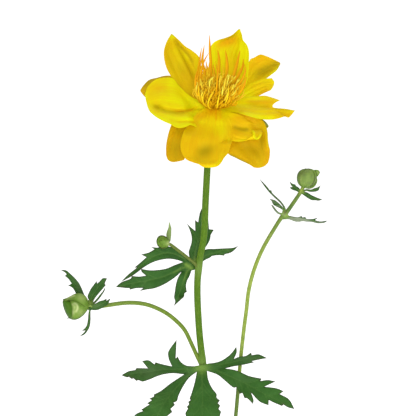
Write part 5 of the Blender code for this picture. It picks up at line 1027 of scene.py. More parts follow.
P, F, along, cs, sn = tube(path, 0.9 * (0.75 + 0.35 * np.sin(np.clip(f * 2.2, 0, 1) * math.pi * 0.5)) * (1 - 0.93 * np.clip((f - 0.3) / 0.7, 0, 1) ** 1.3), 12, flat=0.3, face=np.array([-AWAY] * 30), channel=-0.3)
Piece().add(P, F, hub=0.75, low=0.32, vein=np.clip(1 - np.abs(cs) * 2, 0, 1) * 0.5, rim=np.clip(np.abs(cs) * 3 - 2, 0, 1) * 0.5).make("bract_middle_fine", BRACT, nodes=("bract_middle",), slot="thin_stem")


# the little foot that the left bracts stand on, beside the bud
path = curve([lift(92.8, 307.4, 12.0), lift(90.5, 304.8, 12.3), lift(88.7, 300.6, 11.3)], 16)
P, F, along, cs, sn = tube(path, 0.64 - 0.10 * np.linspace(0, 1, 16), 14)
foot = Piece().add(P, F, ca=cs, sa=sn, len=along, pale=0.35)
path = curve([lift(92.2, 306.6, LEFT_BUD_D + 0.9), lift(90.2, 305.9, LEFT_BUD_D + 1.2), lift(87.8, 305.6, LEFT_BUD_D + 0.9)], 14)
P, F, along, cs, sn = tube(path, 0.46 + 0.10 * np.linspace(0, 1, 14), 14)
foot.add(P, F, ca=cs, sa=sn, len=along, pale=0.45).make("bract_foot_left", BRANCH, slot="thin_stem")


# ================================ leaves ==============================================================
def rim_line(points, step, corner=58.0):
    """A fine outline: smooth between sharp corners, which stay sharp."""
    pts = [np.array(p, float) for p in points]
    stops = [0]
    for i in range(1, len(pts) - 1):
        a, b = pts[i] - pts[i - 1], pts[i + 1] - pts[i]
        turn = math.degrees(math.acos(np.clip(a.dot(b) / (np.linalg.norm(a) * np.linalg.norm(b)), -1, 1)))
        if turn > corner:
            stops.append(i)
    stops.append(len(pts) - 1)
    out = [pts[0]]
    for a, b in zip(stops, stops[1:]):
        run = pts[a:b + 1]
        ln = sum(np.linalg.norm(q - p) for p, q in zip(run, run[1:]))
        out += list(curve(run, max(3, int(ln / step) + 1))[1:])
    return np.array(out)


def inside(x, y, poly):
    px, py = poly[:, 0], poly[:, 1]
    qx, qy = np.roll(px, -1), np.roll(py, -1)
    X, Y = x[:, None], y[:, None]
    hit = ((py > Y) != (qy > Y)) & (X < (qx - px) * (Y - py) / np.where(qy == py, 1e-12, qy - py) + px)
    return hit.sum(1) % 2 == 1


def gap_to(x, y, poly):
    return to_line(x, y, np.vstack([poly, poly[:1]]))[0]


def grid_in(poly, step):
    lo, hi = poly.min(0), poly.max(0)
    ys = np.arange(lo[1], hi[1], step * 0.866)
    xs = np.arange(lo[0], hi[0] + step, step)
    gx = np.concatenate([xs + (step / 2 if i % 2 else 0) for i in range(len(ys))]) if len(ys) else np.zeros(0)
    gy = np.repeat(ys, len(xs))
    ok = inside(gx, gy, poly)
    gx, gy = gx[ok], gy[ok]
    ok = gap_to(gx, gy, poly) > step * 0.5 if len(gx) else np.zeros(0, bool)
    return np.stack([gx[ok], gy[ok]], 1)


def cdt(rim, extra):
    n = len(rim)
    flat = [Vector(p) for p in rim] + [Vector(p) for p in extra]
    cons = [(i, (i + 1) % n) for i in range(n)]
    out = geometry.delaunay_2d_cdt(flat, cons, [list(range(n))], 1, 1e-6)
    return np.array([tuple(v) for v in out[0]]), out[2], out[3]


def leaf_sheet(hub, centre, segments, step, quilt, seed, vein_w=0.8, stripes=0.0):
    """The flat points (x, y, depth), triangles and attributes of a leaf."""
    X, D, V, R, F = [], [], [], [], []
    tips = []
    n = len(hub)
    part = 5

    def put(x, y, d, v=0.0, r=1.0):
        X.append((x, y))
        D.append(d)
        V.append(v)
        R.append(r)
        return len(X) - 1

    hub = [tuple(float(c) for c in h) for h in hub]
    corner = [put(*h) for h in hub]
    edge = {}
    for i in range(n):
        a, b = np.array(hub[i]), np.array(hub[(i + 1) % n])
        edge[i] = [corner[i]] + [put(*(a + (b - a) * k / part)) for k in range(1, part)] + [corner[(i + 1) % n]]
    ring = [j for i in range(n) for j in edge[i][:-1]]
    poly = np.array([X[j] for j in ring])
    if centre is None:
        centre = (*np.mean([h[:2] for h in hub], axis=0), float(np.mean([h[2] for h in hub])))
    pts = grid_in(poly, step)
    verts, faces, orig = cdt(poly, pts)
    ref = np.array([(*X[j], D[j]) for j in ring] + [centre] * 6)
    ids = []
    for v, o in zip(verts, orig):
        base = [k for k in o if k < len(ring)]
        if base:
            ids.append(ring[base[0]])
        else:
            w = 1 / (np.hypot(ref[:, 0] - v[0], ref[:, 1] - v[1]) ** 2 + 1e-6)
            ids.append(put(v[0], v[1], float((w * ref[:, 2]).sum() / w.sum()), 0.0, 9.0))
    F += [tuple(ids[i] for i in f) for f in faces]
    hx, hy = centre[0], centre[1]
    for a, b, outline, midrib, depths, sx, sy, fold in segments:
        A, B = np.array(hub[a]), np.array(hub[b])
        raw = [A[:2]] + [np.array(p, float) for p in outline] + [B[:2]]
        spine = [np.array(p, float) for p in midrib]
        line = [(A[:2] + B[:2]) / 2] + spine
        g, u = to_line(np.array([p[0] for p in raw]), np.array([p[1] for p in raw]), np.array(line))
        score = [u[i] * 1e6 - np.linalg.norm(raw[i] - spine[-1]) if 0 < i < len(raw) - 1 else -1e9 for i in range(len(raw))]
        tip = int(np.argmax(score))
        line = np.array(line + [raw[tip]])
        tips.append(raw[tip])
        rim = rim_line(raw, step * 0.75)
        back = edge[a][::-1]          # from hub b back to hub a
        poly = np.vstack([rim, np.array([X[j] for j in back[1:-1]])])
        nr = len(rim)
        verts, faces, orig = cdt(poly, grid_in(poly, step))
        x, y = verts[:, 0], verts[:, 1]
        gap, u = to_line(x, y, line)
        start = (A[2] + B[2]) / 2
        d = smooth_table([(0.0, start)] + [tuple(q) for q in depths], u)
        d = d + sx * (x - line[0][0]) + sy * (y - line[0][1]) + fold * np.minimum(gap, 9.0) * np.minimum(u * 6, 1.0)
        # the hub's own edge decides the depth beside it
        e = B[:2] - A[:2]
        tau = np.clip(((x - A[0]) * e[0] + (y - A[1]) * e[1]) / max(e.dot(e), 1e-9), 0, 1)
        away = np.hypot(x - A[0] - e[0] * tau, y - A[1] - e[1] * tau)
        d = d + (A[2] + (B[2] - A[2]) * tau - start) * np.exp(-(away / (5 * step)) ** 2)
        # veins: the midrib, and one to each tooth
        veins = [curve(line, 24)]
        area = sum(p[0] * q[1] - q[0] * p[1] for p, q in zip(raw, raw[1:] + raw[:1]))
        total = sum(np.linalg.norm(q - p) for p, q in zip(line, line[1:]))
        for i in range(1, len(raw) - 1):
            if i == tip:
                continue
            p, q = raw[i] - raw[i - 1], raw[i + 1] - raw[i]
            turn = p[0] * q[1] - p[1] * q[0]
            ang = math.degrees(math.acos(np.clip(p.dot(q) / (np.linalg.norm(p) * np.linalg.norm(q) + 1e-9), -1, 1)))
            if turn * area > 0 and ang > 55:
                tips.append(raw[i])
                g0, u0 = to_line(np.array([raw[i][0]]), np.array([raw[i][1]]), line)
                u1 = max(0.03, float(u0[0]) - 1.05 * float(g0[0]) / total)
                root = np.array([np.interp(u1, np.linspace(0, 1, 24), veins[0][:, k]) for k in (0, 1)])
                end = root + (raw[i] - root) * 0.94
                mid = (root + end) / 2 + (line[-1] - line[0]) / total * 0.10 * float(g0[0])
                veins.append(curve([root, mid, end], 8))
        vd = np.full(len(x), 1e9)
        vv = np.zeros(len(x))
        for m, vn in enumerate(veins):
            gg, uu = to_line(x, y, vn)
            w = vein_w * (1.15 if m == 0 else 0.75) * (1 - 0.55 * uu)
            vd = np.minimum(vd, gg)
            vv = np.maximum(vv, np.exp(-(gg / w) ** 2) * (1.0 if m == 0 else 0.8))
        if stripes:
            vv = np.maximum(vv, 0.62 * (0.5 + 0.5 * np.cos(gap * 2 * math.pi / stripes)) ** 3 * np.clip(1.2 - u, 0, 1))
        edge_gap = to_line(x, y, rim)[0]
        free = np.clip(away / (2.5 * step), 0, 1)
        d = d + free * quilt * ((1 - np.exp(-(vd / (3.4 * vein_w)) ** 2)) - 0.55 * vv)
        d = d + free * quilt * 0.9 * wob(x / vein_w * 0.16, y / vein_w * 0.16, seed + a) + free * quilt * 0.8 * np.clip(1 - edge_gap / (3 * vein_w), 0, 1) * wob(x / vein_w * 0.5, y / vein_w * 0.5, seed + 7 + a)
        ids = []
        for i, o in enumerate(orig):
            on = [k for k in o if k < len(poly)]
            if on and (on[0] >= nr or on[0] in (0, nr - 1)):
                k = on[0]
                ids.append(corner[a] if k == 0 else corner[b] if k == nr - 1 else back[1 + k - nr])
                V[ids[-1]] = max(V[ids[-1]], float(vv[i]))
            else:
                ids.append(put(x[i], y[i], float(d[i]), float(vv[i]), float(edge_gap[i])))
        F += [tuple(ids[i] for i in f) for f in faces]
    X, D = np.array(X), np.array(D)
    F = np.array(F)
    area = (X[F[:, 1], 0] - X[F[:, 0], 0]) * (X[F[:, 2], 1] - X[F[:, 0], 1]) - (X[F[:, 1], 1] - X[F[:, 0], 1]) * (X[F[:, 2], 0] - X[F[:, 0], 0])
    F = np.where((area > 0)[:, None], F, F[:, ::-1])
    F = F[np.abs(area) > 1e-9]
    tips = np.array(tips)
    T = np.hypot(X[:, 0][:, None] - tips[:, 0], X[:, 1][:, None] - tips[:, 1]).min(1)
    return X, D, F, np.array(V), np.array(R), T, (hx, hy)


def leaf(name, hub, centre, segments, base_d=0.0, step=1.15, quilt=0.26, seed=1, mat=LEAF, hub_r=9.0, hub_pale=0.8, hub_at=None, thick=0.34, vein_w=0.8, low=None, back_low=1.0, brown=0.45, stripes=0.0, more=None, dull=None):
    X, D, F, V, R, T, (hx, hy) = leaf_sheet(hub, centre, segments, step, quilt, seed, vein_w, stripes)
    hx, hy = hub_at or (hx, hy)
    V = V * (0.75 + 0.85 * np.exp(-(np.hypot(X[:, 0] - hx, X[:, 1] - hy) / (16 * vein_w / 0.8)) ** 2))
    P = lift(X[:, 0], X[:, 1], D + base_d)
    P2, F2 = shell(P, F, thick * (0.55 + 0.45 * np.clip(R / (2.5 * step), 0, 1)), -AWAY)
    pale = hub_pale * np.exp(-(np.hypot(X[:, 0] - hx, (X[:, 1] - hy) * 1.25) / hub_r) ** 2)
    if more:
        pale = np.clip(np.maximum(pale, more(X[:, 0], X[:, 1])), 0, 1)
    n = len(P)
    under = np.zeros(n) if low is None else np.clip(low(X[:, 0], X[:, 1]), 0, 1)
    k = Piece()
    k.add(P2, F2, vein=both(np.clip(V, 0, 1.6)), hub=both(pale), rim=both(np.clip(1 - R / (1.0 * step), 0, 1)), low=np.concatenate([under, np.full(n, back_low)]), brown=both(np.clip(brown * np.exp(-(T / (1.7 * step)) ** 2) + (0 if dull is None else dull(X[:, 0], X[:, 1])), 0, 1)))
    return k.make(name + "_fine", mat, nodes=(name,), slot="leaf")


leaf("stem_leaf_lower",
     [(194, 366.3, 1.9), (184.3, 374.3, 2.6), (196.9, 371.7, 2.4), (207, 370.9, 2.4), (225, 368.4, 2.6), (209, 363.5, 1.95)],
     (201.5, 368, 2.0),
     [
         (0, 1, [(186, 365.4), (180.3, 361.4), (177.7, 356.5), (175.7, 358.5), (176, 351.6), (176.5, 339.9), (171.5, 346.5), (168.2, 352.2), (168.8, 359), (172, 366.3),
                 (163.6, 364.6), (155.6, 362.3), (154.4, 364.4), (148.7, 360.3), (142, 361), (148, 368.3), (136.4, 368), (135.6, 369.6), (128.6, 371.2), (121.4, 375.2),
                 (127.6, 377.4), (128.6, 376.8), (131.9, 379.0), (133.2, 378.2), (136.4, 380.9), (138.2, 380.2), (142.4, 381.5), (148.7, 379.7), (160.2, 375.2), (171.7, 373.2)],
          [(186, 369.5), (175, 369.5), (160, 370), (145, 372.5), (130, 374.5)],
          [(.4, 3.2), (1, 4.2)], 0, 0.12, 0.06),
         (1, 2, [(171.7, 382.6), (160.2, 391.3), (153.9, 394.4), (153.9, 396.5), (149.3, 398.7), (152, 400), (147, 403.3), (149.5, 404.5), (141.2, 409.6), (143, 411), (135.8, 414.2),
                 (129, 424.5), (138, 421.5), (134.5, 431), (139.5, 429), (138.5, 438), (143, 436), (143.5, 449), (150.5, 439), (152.5, 444), (155.5, 432), (159.5, 437),
                 (160.5, 427), (164.5, 428), (165, 419), (172.2, 411.9), (170.5, 409), (174.8, 405), (173.5, 402.5), (176.8, 401), (178.3, 396.4), (179.7, 393), (183, 386.7), (188.9, 378)],
          [(186, 378), (175, 389), (165, 402), (156, 418), (149, 434)],
          [(.3, 8), (.6, 13), (1, 17)], 0, 0, 0.07),
         (2, 3, [(194.6, 382.6), (191.8, 392.4), (189.5, 398.7), (190.8, 400), (188.3, 401.9), (189, 404), (186.9, 406.8), (188, 408.5), (185.4, 413.6), (186, 416), (182.5, 424),
                 (187.5, 422), (185, 432), (190, 429.5), (189.5, 440), (194, 437), (200.5, 456), (207, 438), (211.5, 441), (212, 430), (216.5, 433), (216.5, 422.5), (221.5, 424.5),
                 (220, 416), (220.9, 411.6), (218.5, 409), (220.2, 405.6), (217.8, 403), (219.8, 400.4), (216.5, 397.5), (216.7, 394.4), (211.8, 387.7), (208.2, 379.3)],
          [(202, 378), (202.5, 392), (202.5, 408), (202, 424), (201, 441)],
          [(.25, 8.5), (.5, 14.5), (.75, 19), (1, 21.5)], 0, 0, 0.07),
         (3, 4, [(218, 375), (225, 380.7), (233.9, 387.7), (236.3, 387), (239.8, 393.7), (242.3, 393), (244.7, 398.2), (246.8, 398.2), (252.8, 403.9), (253.5, 400.4), (251, 392.6),
                 (260, 401.8), (268.6, 405.3), (268.6, 400), (274.2, 402.8), (282, 406), (283.3, 404.6), (288.2, 407.4), (294.6, 409.1), (288.9, 399.3), (279.8, 394), (283.7, 391.2),
                 (277, 388.4), (264.4, 386.7), (275.6, 381.4), (267.9, 380), (260.2, 381), (261.6, 378.6), (249.6, 376.1), (235.6, 370.2)],
          [(222, 373), (235, 378.5), (250, 386), (266, 394.5), (281, 402)],
          [(.3, 5.5), (.6, 9), (1, 12.5)], 0, 0.05, 0.06),
         (4, 5, [(233.5, 366.3), (242.6, 364.9), (253.9, 362.5), (251.7, 361.2), (258.8, 359.6), (267.2, 358.2), (258.8, 354.4), (251.7, 355.2), (251, 352.6), (246, 355.8),
                 (239, 356.8), (233.9, 359), (236.7, 352), (236.3, 346.7), (231.4, 353.3), (225, 358.6), (218, 362)],
          [(220, 365), (230, 362.8), (243, 360), (256, 358)],
          [(.4, 1.0), (1, -4.5)], 0, 0.08, 0.06),
     ], seed=31, hub_r=7.5, hub_pale=0.75, low=lambda x, y: 0.30 * lump(x, y, 150, 371, 16, 6) + 0.16 * lump(x, y, 176, 352, 4, 10) + 0.12 * lump(x, y, 151, 375, 8, 4)
     + 0.36 * lump(x, y, 249, 359, 14, 5) + 0.22 * lump(x, y, 246, 378, 9, 5) + 0.24 * lump(x, y, 185, 376, 7, 5),
     dull=lambda x, y: 0.14 * lump(x, y, 145, 373, 20, 8) + 0.08 * lump(x, y, 162, 395, 14, 16))

leaf("stem_leaf_upper",
     [(189.5, 257.5, -1.6), (199, 258, -2.1), (199.5, 264.5, -2.1), (199.5, 268.5, -2.1), (191.5, 270.5, -1.2), (181.5, 271.5, -0.6), (183, 262, -0.6)],
     (190, 265, -1.2),
     [
         (0, 1, [(188.7, 252), (190, 247.5), (191.6, 242), (191.6, 236.5), (190, 230.5), (187, 223.8), (192, 228.3), (195.3, 231), (195, 220), (198.2, 222.5), (199, 217),
                 (200.8, 210.5), (204.5, 203.5), (207, 213), (208.4, 221.5), (209, 229.2), (213.8, 229.8), (210.8, 235), (210, 239.5), (206.5, 246), (202.4, 252)],
          [(195.5, 250), (199, 238), (202, 224), (204, 211)],
          [(.3, -3.0), (.6, -5.0), (1, -7.0)], 0, 0, -0.05),
         (1, 2, [(205, 249.9), (215, 248.9), (224, 248.4), (233, 247.8), (237.8, 246.2), (234.5, 250), (230.5, 252.6), (224.4, 254.3), (224.2, 255.6), (218, 255.2),
                 (211.5, 256.3), (210.3, 257.4), (204.5, 260.3)],
          [(206, 255.5), (216, 252.5), (227, 250)],
          [(.3, -3.2), (1, -8.0)], 0, 0, -0.05),
         (4, 5, [(189.5, 276), (187, 280.8), (186, 286), (186.8, 291.8), (184.6, 293.2), (184.2, 296), (180.5, 300), (177, 303), (174.2, 305.7), (175.2, 301.5), (174.2, 297.5),
                 (175, 291), (175.6, 286.6), (177.5, 279)],
          [(184, 279), (181, 289), (178, 298)],
          [(.4, 1.5), (1, 5.5)], 0, 0, 0.06),
         (5, 6, [(176, 276.5), (167, 282.7), (160, 286.3), (153.6, 288.5), (146, 289.6), (139.7, 290.9), (143.5, 288), (136, 288.2), (130.1, 289.6), (129.5, 288.2), (122, 287.6),
                 (115.8, 287), (121, 282.5), (131, 278.2), (131.8, 276), (139, 276.6), (146, 275.6), (141.5, 271.5), (141.1, 268.9), (149.8, 270.3), (158, 270), (167, 268.4), (175, 265)],
          [(178, 269.5), (165, 276), (150, 280), (135, 283), (124, 285.5)],
          [(.3, 0.4), (.6, 1.4), (1, 2.4)], 0, 0.05, 0.05),
         (6, 0, [(178, 260.2), (169, 258.8), (160, 260), (153.6, 262), (147.5, 265), (141.5, 269), (136, 273.2), (130, 277.2), (121, 281.8), (127.5, 275.2), (133, 270.8), (137, 267.6),
                 (134.5, 267.6), (140, 263), (146.5, 257.2), (141.2, 254.5), (149, 252.5), (154.5, 249.3), (151, 247), (157.4, 247.6), (167, 246.4), (174.6, 248.3), (183.5, 254)],
          [(182, 257.5), (172, 253), (160, 254), (149, 259), (140, 266.5), (131, 274)],
          [(.3, -1.2), (.6, 1.8), (1, 7.0)], 0, 0.0, 0.05),
     ], seed=37, mat=LEAF_HIGH, hub_r=3.0, hub_pale=0.9, hub_at=(188.6, 266.2),
     more=lambda x, y: 0.95 * band(x, y, [(184.4, 263.0), (188.4, 266.2), (193.6, 269.6)], 1.9) + 0.95 * lump(x, y, 194.8, 260.2, 1.5, 3.2) + 0.45 * band(x, y, [(187, 266), (180, 269.6), (172, 274)], 0.7)
     + 0.45 * band(x, y, [(186.6, 264.6), (178, 262), (168, 262.5)], 0.6) + 0.45 * band(x, y, [(189, 268), (186, 275), (183.6, 282)], 0.7))

leaf("bract_leaf_left",
     [(88.9, 302.3, -1.3), (90.2, 301.8, -1.3), (92.8, 302.8, -0.6), (93.6, 304.2, 1.15), (91.8, 309.8, 1.45), (90.6, 310.6, 1.45), (89.0, 310.2, 1.45), (89.5, 305.4, 1.4)],
     (91.3, 305.6, 1.5),
     [
         (0, 1, [(84.5, 301.2), (80, 297.6), (76, 293.4), (73.5, 289), (70.5, 286.4), (68.3, 285.6), (71.8, 283.7), (68.5, 279), (66.5, 277.2), (65, 276), (66.8, 274.2), (64.5, 272),
                 (61, 270), (66, 270.4), (70.8, 274.2), (75.5, 278.8), (79.6, 284), (82.3, 290), (84.5, 295), (86.4, 299.6)],
          [(84, 297), (79, 289), (73, 280), (67, 273)],
          [(.08, -3.2), (.2, -4.3), (.4, -3.4), (.7, -1.2), (1, 1)], 0, 0, 0.03),
         (1, 2, [(88.4, 299), (87.6, 296.5), (89, 292.5), (91, 288.5), (93.6, 285), (96.6, 281.2), (97.2, 283.6), (99.5, 281.5), (103, 278.2), (107, 278.4), (105.6, 281.5), (104.7, 283.8),
                 (105.7, 285.2), (103.5, 287.8), (100, 292), (96.5, 296.2), (94.2, 299.5)],
          [(91.5, 297.5), (95.5, 291), (100, 285), (104, 280.5)],
          [(.3, -0.4), (.7, 0), (1, .8)], 0, 0, 0.05),
         (2, 3, [(96.2, 299.4), (99.8, 295), (103, 291), (105.2, 287.4), (104.6, 290.6), (101.2, 296), (97.4, 300.8)],
          [(96.4, 300.1), (100, 295.8), (103, 291.8)], [(.4, 0.9), (1, 1.4)], 0, 0, 0),
         (3, 4, [(97, 302.6), (100, 301), (103.5, 300.2), (106.6, 298.6), (106.3, 300.8), (108, 299.8), (110.4, 298.3), (109, 302), (107.5, 304.8), (104, 306.8), (100.5, 308.8), (97.5, 309.9), (94, 310.2)],
          [(96, 307), (101, 304.5), (106, 302)],
          [(.3, 1.5), (1, 1.9)], 0, 0, 0.04),
         (5, 6, [(90.4, 314), (90.5, 320), (89.8, 326), (87.7, 330.5), (84.5, 334.4), (79.5, 336.6), (83.2, 333.2), (85.6, 330.4), (82, 330.8), (86.2, 326.5), (87.9, 320), (88.4, 314)],
          [(89.4, 315), (89.2, 321), (88, 327.2), (86.6, 330.4)],
          [(.4, 1.6), (1, 0.4)], 0, 0, 0.03),
     ], base_d=LEFT_BUD_D, step=0.62, quilt=0.16, seed=41, mat=BRACT, hub_r=3.0, hub_pale=1.0, hub_at=(90.9, 302.9), vein_w=0.5, stripes=1.75, back_low=0.4,
     low=lambda x, y: 0.16 * lump(x, y, 81, 288, 4, 12, -25) * (x < 90) + 0.10 * lump(x, y, 97, 305.5, 6, 2))

leaf("bract_leaf_right_low",
     [(281.9, 213, 1.2), (282.6, 210, 1.2), (284, 208.4, 1.2), (285.8, 208.9, 1.25), (286.6, 213, 1.3), (289, 215.8, 1.3), (288, 219.2, 1.3), (283, 219.4, 1.3), (281.4, 215, 1.2)],
     (284.6, 214.6, 1.35),
     [
         (8, 0, [(278, 213.8), (275, 211), (272.8, 208), (271.2, 205), (273, 205.4), (275.2, 208.4), (277.6, 211.2), (280, 212.8)],
          [(278, 212.7), (275.1, 209.9), (273, 207)], [(.5, 1.6), (1, 2.0)], 0, 0, 0),
         (1, 2, [(279.5, 208), (276, 206.4), (273.2, 204.4), (271.8, 201.5), (269.6, 199), (272.8, 199.6), (275.5, 200.6), (278.8, 203.2), (281.6, 206)],
          [(281, 206.9), (277.5, 204.3), (273.5, 201.6)], [(.5, 1.5), (1, 2.4)], 0, 0, 0.05),
         (2, 3, [(281.3, 204.2), (277.5, 200.3), (273.5, 196.7), (270.2, 193.3), (266, 188.3), (263, 184.3), (259.6, 179), (264.6, 184), (267.6, 187.4), (270.0, 190.6), (271.2, 189.8), (272, 192.6),
                 (276.2, 196.8), (280.9, 201.2), (284.2, 205.6)],
          [(281.4, 203), (276, 197.8), (270.8, 192.8), (265.6, 186.8)], [(.5, 0.6), (1, -0.6)], 0, 0, 0),
         (5, 6, [(293, 216.6), (297.5, 217.2), (301.6, 216), (302.4, 217.6), (305.4, 217), (306.2, 218.6), (309, 219.2), (313, 219.0), (317.8, 217.8), (314.8, 220.2), (320, 221.4), (327.5, 220.6),
                 (324.5, 222.7), (317.5, 223.2), (312, 222), (306, 221.6), (302.5, 221.2), (299.5, 221.8), (294.5, 221.4), (291, 220)],
          [(293, 218.9), (300, 219.3), (308, 220.4), (316, 221.8)], [(.3, 2.4), (.7, 2.8), (1, 2.0)], 0, 0, 0.05),
     ], base_d=-5.6, step=0.6, quilt=0.12, seed=43, mat=BRACT, hub_r=5.4, hub_pale=1.0, hub_at=(285.4, 214.4), vein_w=0.42, back_low=0.4,
     low=lambda x, y: 0.95 * np.clip((y - np.interp(x, [292, 300, 308, 316, 327], [216.8, 217.3, 219.2, 221.2, 222.0])) / 0.9 + 0.3, 0, 1) * np.clip((x - 288) / 4, 0, 1) * np.clip((318 - x) / 9, 0.45, 1)
     + 0.85 * lump(x, y, 288.6, 219.4, 2.8, 1.3) - 0.45 * lump(x, y, 310, 219.9, 2.6, 1.2) + 0.35 * (x < 280) * (y > 204.8) + 0.20 * (x < 283) * (y < 204) * np.clip((y - 192) / 6, 0, 1) + 0.42 * lump(x, y, 283.8, 214.8, 2.0, 1.3),
     dull=lambda x, y: 0.66 * lump(x, y, 285.2, 212.0, 1.7, 1.5) + 0.36 * lump(x, y, 285.0, 214.0, 1.4, 1.2))

leaf("bract_leaf_right_top",
     [(299.4, 193, 1.2), (300.2, 189.4, 1.2), (303.6, 189.8, 1.25), (304.2, 191.6, 1.25), (302.4, 194.2, 1.2)],
     (302, 191.5, 1.35),
     [
         (0, 1, [(296.5, 191.2), (293, 190), (291, 188.8), (289.8, 187.4), (292.6, 187), (291, 185), (289.6, 181.6), (292.6, 183.8), (295.3, 184.6), (295.8, 185.8), (298.3, 187.4)],
          [(297, 189), (294, 187), (291.6, 184.4)], [(.4, 1.2), (1, 0.6)], 0, 0, 0.05),
         (2, 3, [(306.5, 189.2), (311, 189.6), (314.5, 188.2), (317.5, 187.4), (320.6, 185.4), (319.4, 188.4), (318.6, 190.2), (315.5, 191.6), (310, 191.8), (306.5, 191)],
          [(307, 190.2), (312, 190.6), (317, 189)], [(.15, 3.4), (.5, 3.9), (1, 4.0)], 0, 0, 0.03),
         (3, 4, [(307, 192.4), (311, 194.8), (315.5, 197), (319.5, 198.6), (322.4, 199.4), (319, 200.6), (314.8, 200.2), (312, 200.2), (308, 198.2), (304.5, 195.8)],
          [(306.5, 194.8), (311.5, 197.4), (317, 199.3)], [(.4, 2.0), (1, 2.8)], 0, 0, 0.05),
     ], base_d=-7.1, step=0.6, quilt=0.12, seed=47, mat=BRACT, hub_r=2.6, hub_pale=1.0, vein_w=0.42, back_low=0.4)

# ---- basal leaves: a palmate blade on a petiole ------------------------------------------------------
HALF = [(0.24, 0.06), (0.44, 0.20), (0.56, 0.295), (0.61, 0.23), (0.70, 0.29), (0.75, 0.18), (0.86, 0.16)]
BASAL_SPECS = [
    ("basal_leaf_1", 352, 8.5, 4, 51.0, 146.0, 36.0, 16, 4),
    ("basal_leaf_2", 80, 9.5, 84, 52.0, 154.0, 35.0, 14, -5),
    ("basal_leaf_3", 168, 8.0, 178, 50.0, 150.0, 36.0, 15, 5),
    ("basal_leaf_4", 262, 9.0, 268, 53.0, 141.0, 34.0, 18, -3),
    ("basal_leaf_5", 212, 11.0, 222, 35.0, 131.0, 27.0, 12, 6),
]


def basal_leaf(name, foot_deg, foot_r, toward, reach, height, size, droop, roll, seed):
    a = math.radians(toward)
    out = np.array((math.cos(a), math.sin(a), 0))
    side = np.array((-math.sin(a), math.cos(a), 0))
    tilt, lean = math.radians(droop), math.radians(roll)
    yax = out * math.cos(tilt) - np.array((0, 0, 1.0)) * math.sin(tilt)
    nrm = np.cross(side, -yax)
    nrm /= np.linalg.norm(nrm)
    if nrm[2] < 0:
        nrm = -nrm
    xax = side * math.cos(lean) + nrm * math.sin(lean)
    nrm = nrm * math.cos(lean) - side * math.sin(lean)
    nrm /= np.linalg.norm(nrm)
    at = out * reach * MM + np.array((0, 0, height * MM))
    hub = [(2.1 * math.sin(math.radians(c)), 2.1 * math.cos(math.radians(c)), 0.0) for c in (-150, -84, -28, 28, 84, 150)]
    segs = []
    for i, (ang, ln) in enumerate(zip((-112, -56, 0, 56, 112), (0.72, 0.90, 1.0, 0.90, 0.72))):
        b = math.radians(ang)
        ux, uy, L = math.sin(b), math.cos(b), size * ln
        wide = 0.80 if i in (0, 4) else 0.88
        put = lambda s, t: (ux * s * L + uy * t * L, uy * s * L - ux * t * L)
        outline = [put(s, -t * wide) for s, t in HALF] + [put(1.0, 0.0)] + [put(s, t * wide) for s, t in reversed(HALF)]
        segs.append((i, i + 1, outline, [put(s, 0.0) for s in (0.26, 0.5, 0.75)], [(1, 0.0)], 0, 0, 0.16))
    X, D, F, V, R, T, _ = leaf_sheet(hub, None, segs, 0.85, 0.30, seed, 0.62)
    r = np.hypot(X[:, 0], X[:, 1])
    d = D + 0.10 * r - 0.0085 * r * r
    P = at + (np.outer(X[:, 0], xax) + np.outer(X[:, 1], yax) + np.outer(d, nrm)) * MM
    P2, F2 = shell(P, F, 0.36 * (0.6 + 0.4 * np.clip(R / 2, 0, 1)), nrm)
    n = len(P)
    k = Piece()
    k.add(P2, F2, vein=both(V), hub=both(0.55 * np.exp(-(r / 3.2) ** 2)), rim=both(np.clip(1 - R / 0.9, 0, 1)), low=np.concatenate([np.zeros(n), np.ones(n)]))
    fa = math.radians(foot_deg)
    foot = np.array((foot_r * math.cos(fa), foot_r * math.sin(fa), SOIL_TOP - SOCKET_DEPTH + 0.4)) * MM
    head = at - nrm * 0.1 * MM
    down = head - nrm * 3.6 * MM - out * 0.4 * MM
    mid = foot + (head - foot) * 0.55 + np.array((0, 0, 0.2 * (head[2] - foot[2]))) - out * 0.006
    lift_up = lambda q: foot + np.array((0, 0, q))
    path = np.vstack([curve([head, down], 6)[:-1], curve([down, mid, lift_up(0.016), lift_up(0.0075), foot], 80)])
    # ease the bend under the blade
    for _ in range(10):
        path[3:12] = path[3:12] * 0.5 + (path[2:11] + path[4:13]) * 0.25
    f = np.linspace(0, 1, len(path))
    P, F, along, cs, sn = tube(path, 0.85 + 0.35 * f ** 3 + 0.65 * np.exp(-(f / 0.025) ** 2), 18, ridge=0.04, ridges=5)
    k.add(P, F, hub=0.35 + 0.15 * wob(along * 9, cs, seed), vein=0.35, rim=0.0, low=0.0)
    return k.make(name + "_fine", BASAL, nodes=(name,), slot="leaf")


for i, spec in enumerate(BASAL_SPECS):
    basal_leaf(*spec, seed=60 + i * 3)

# ================================ buds ================================================================


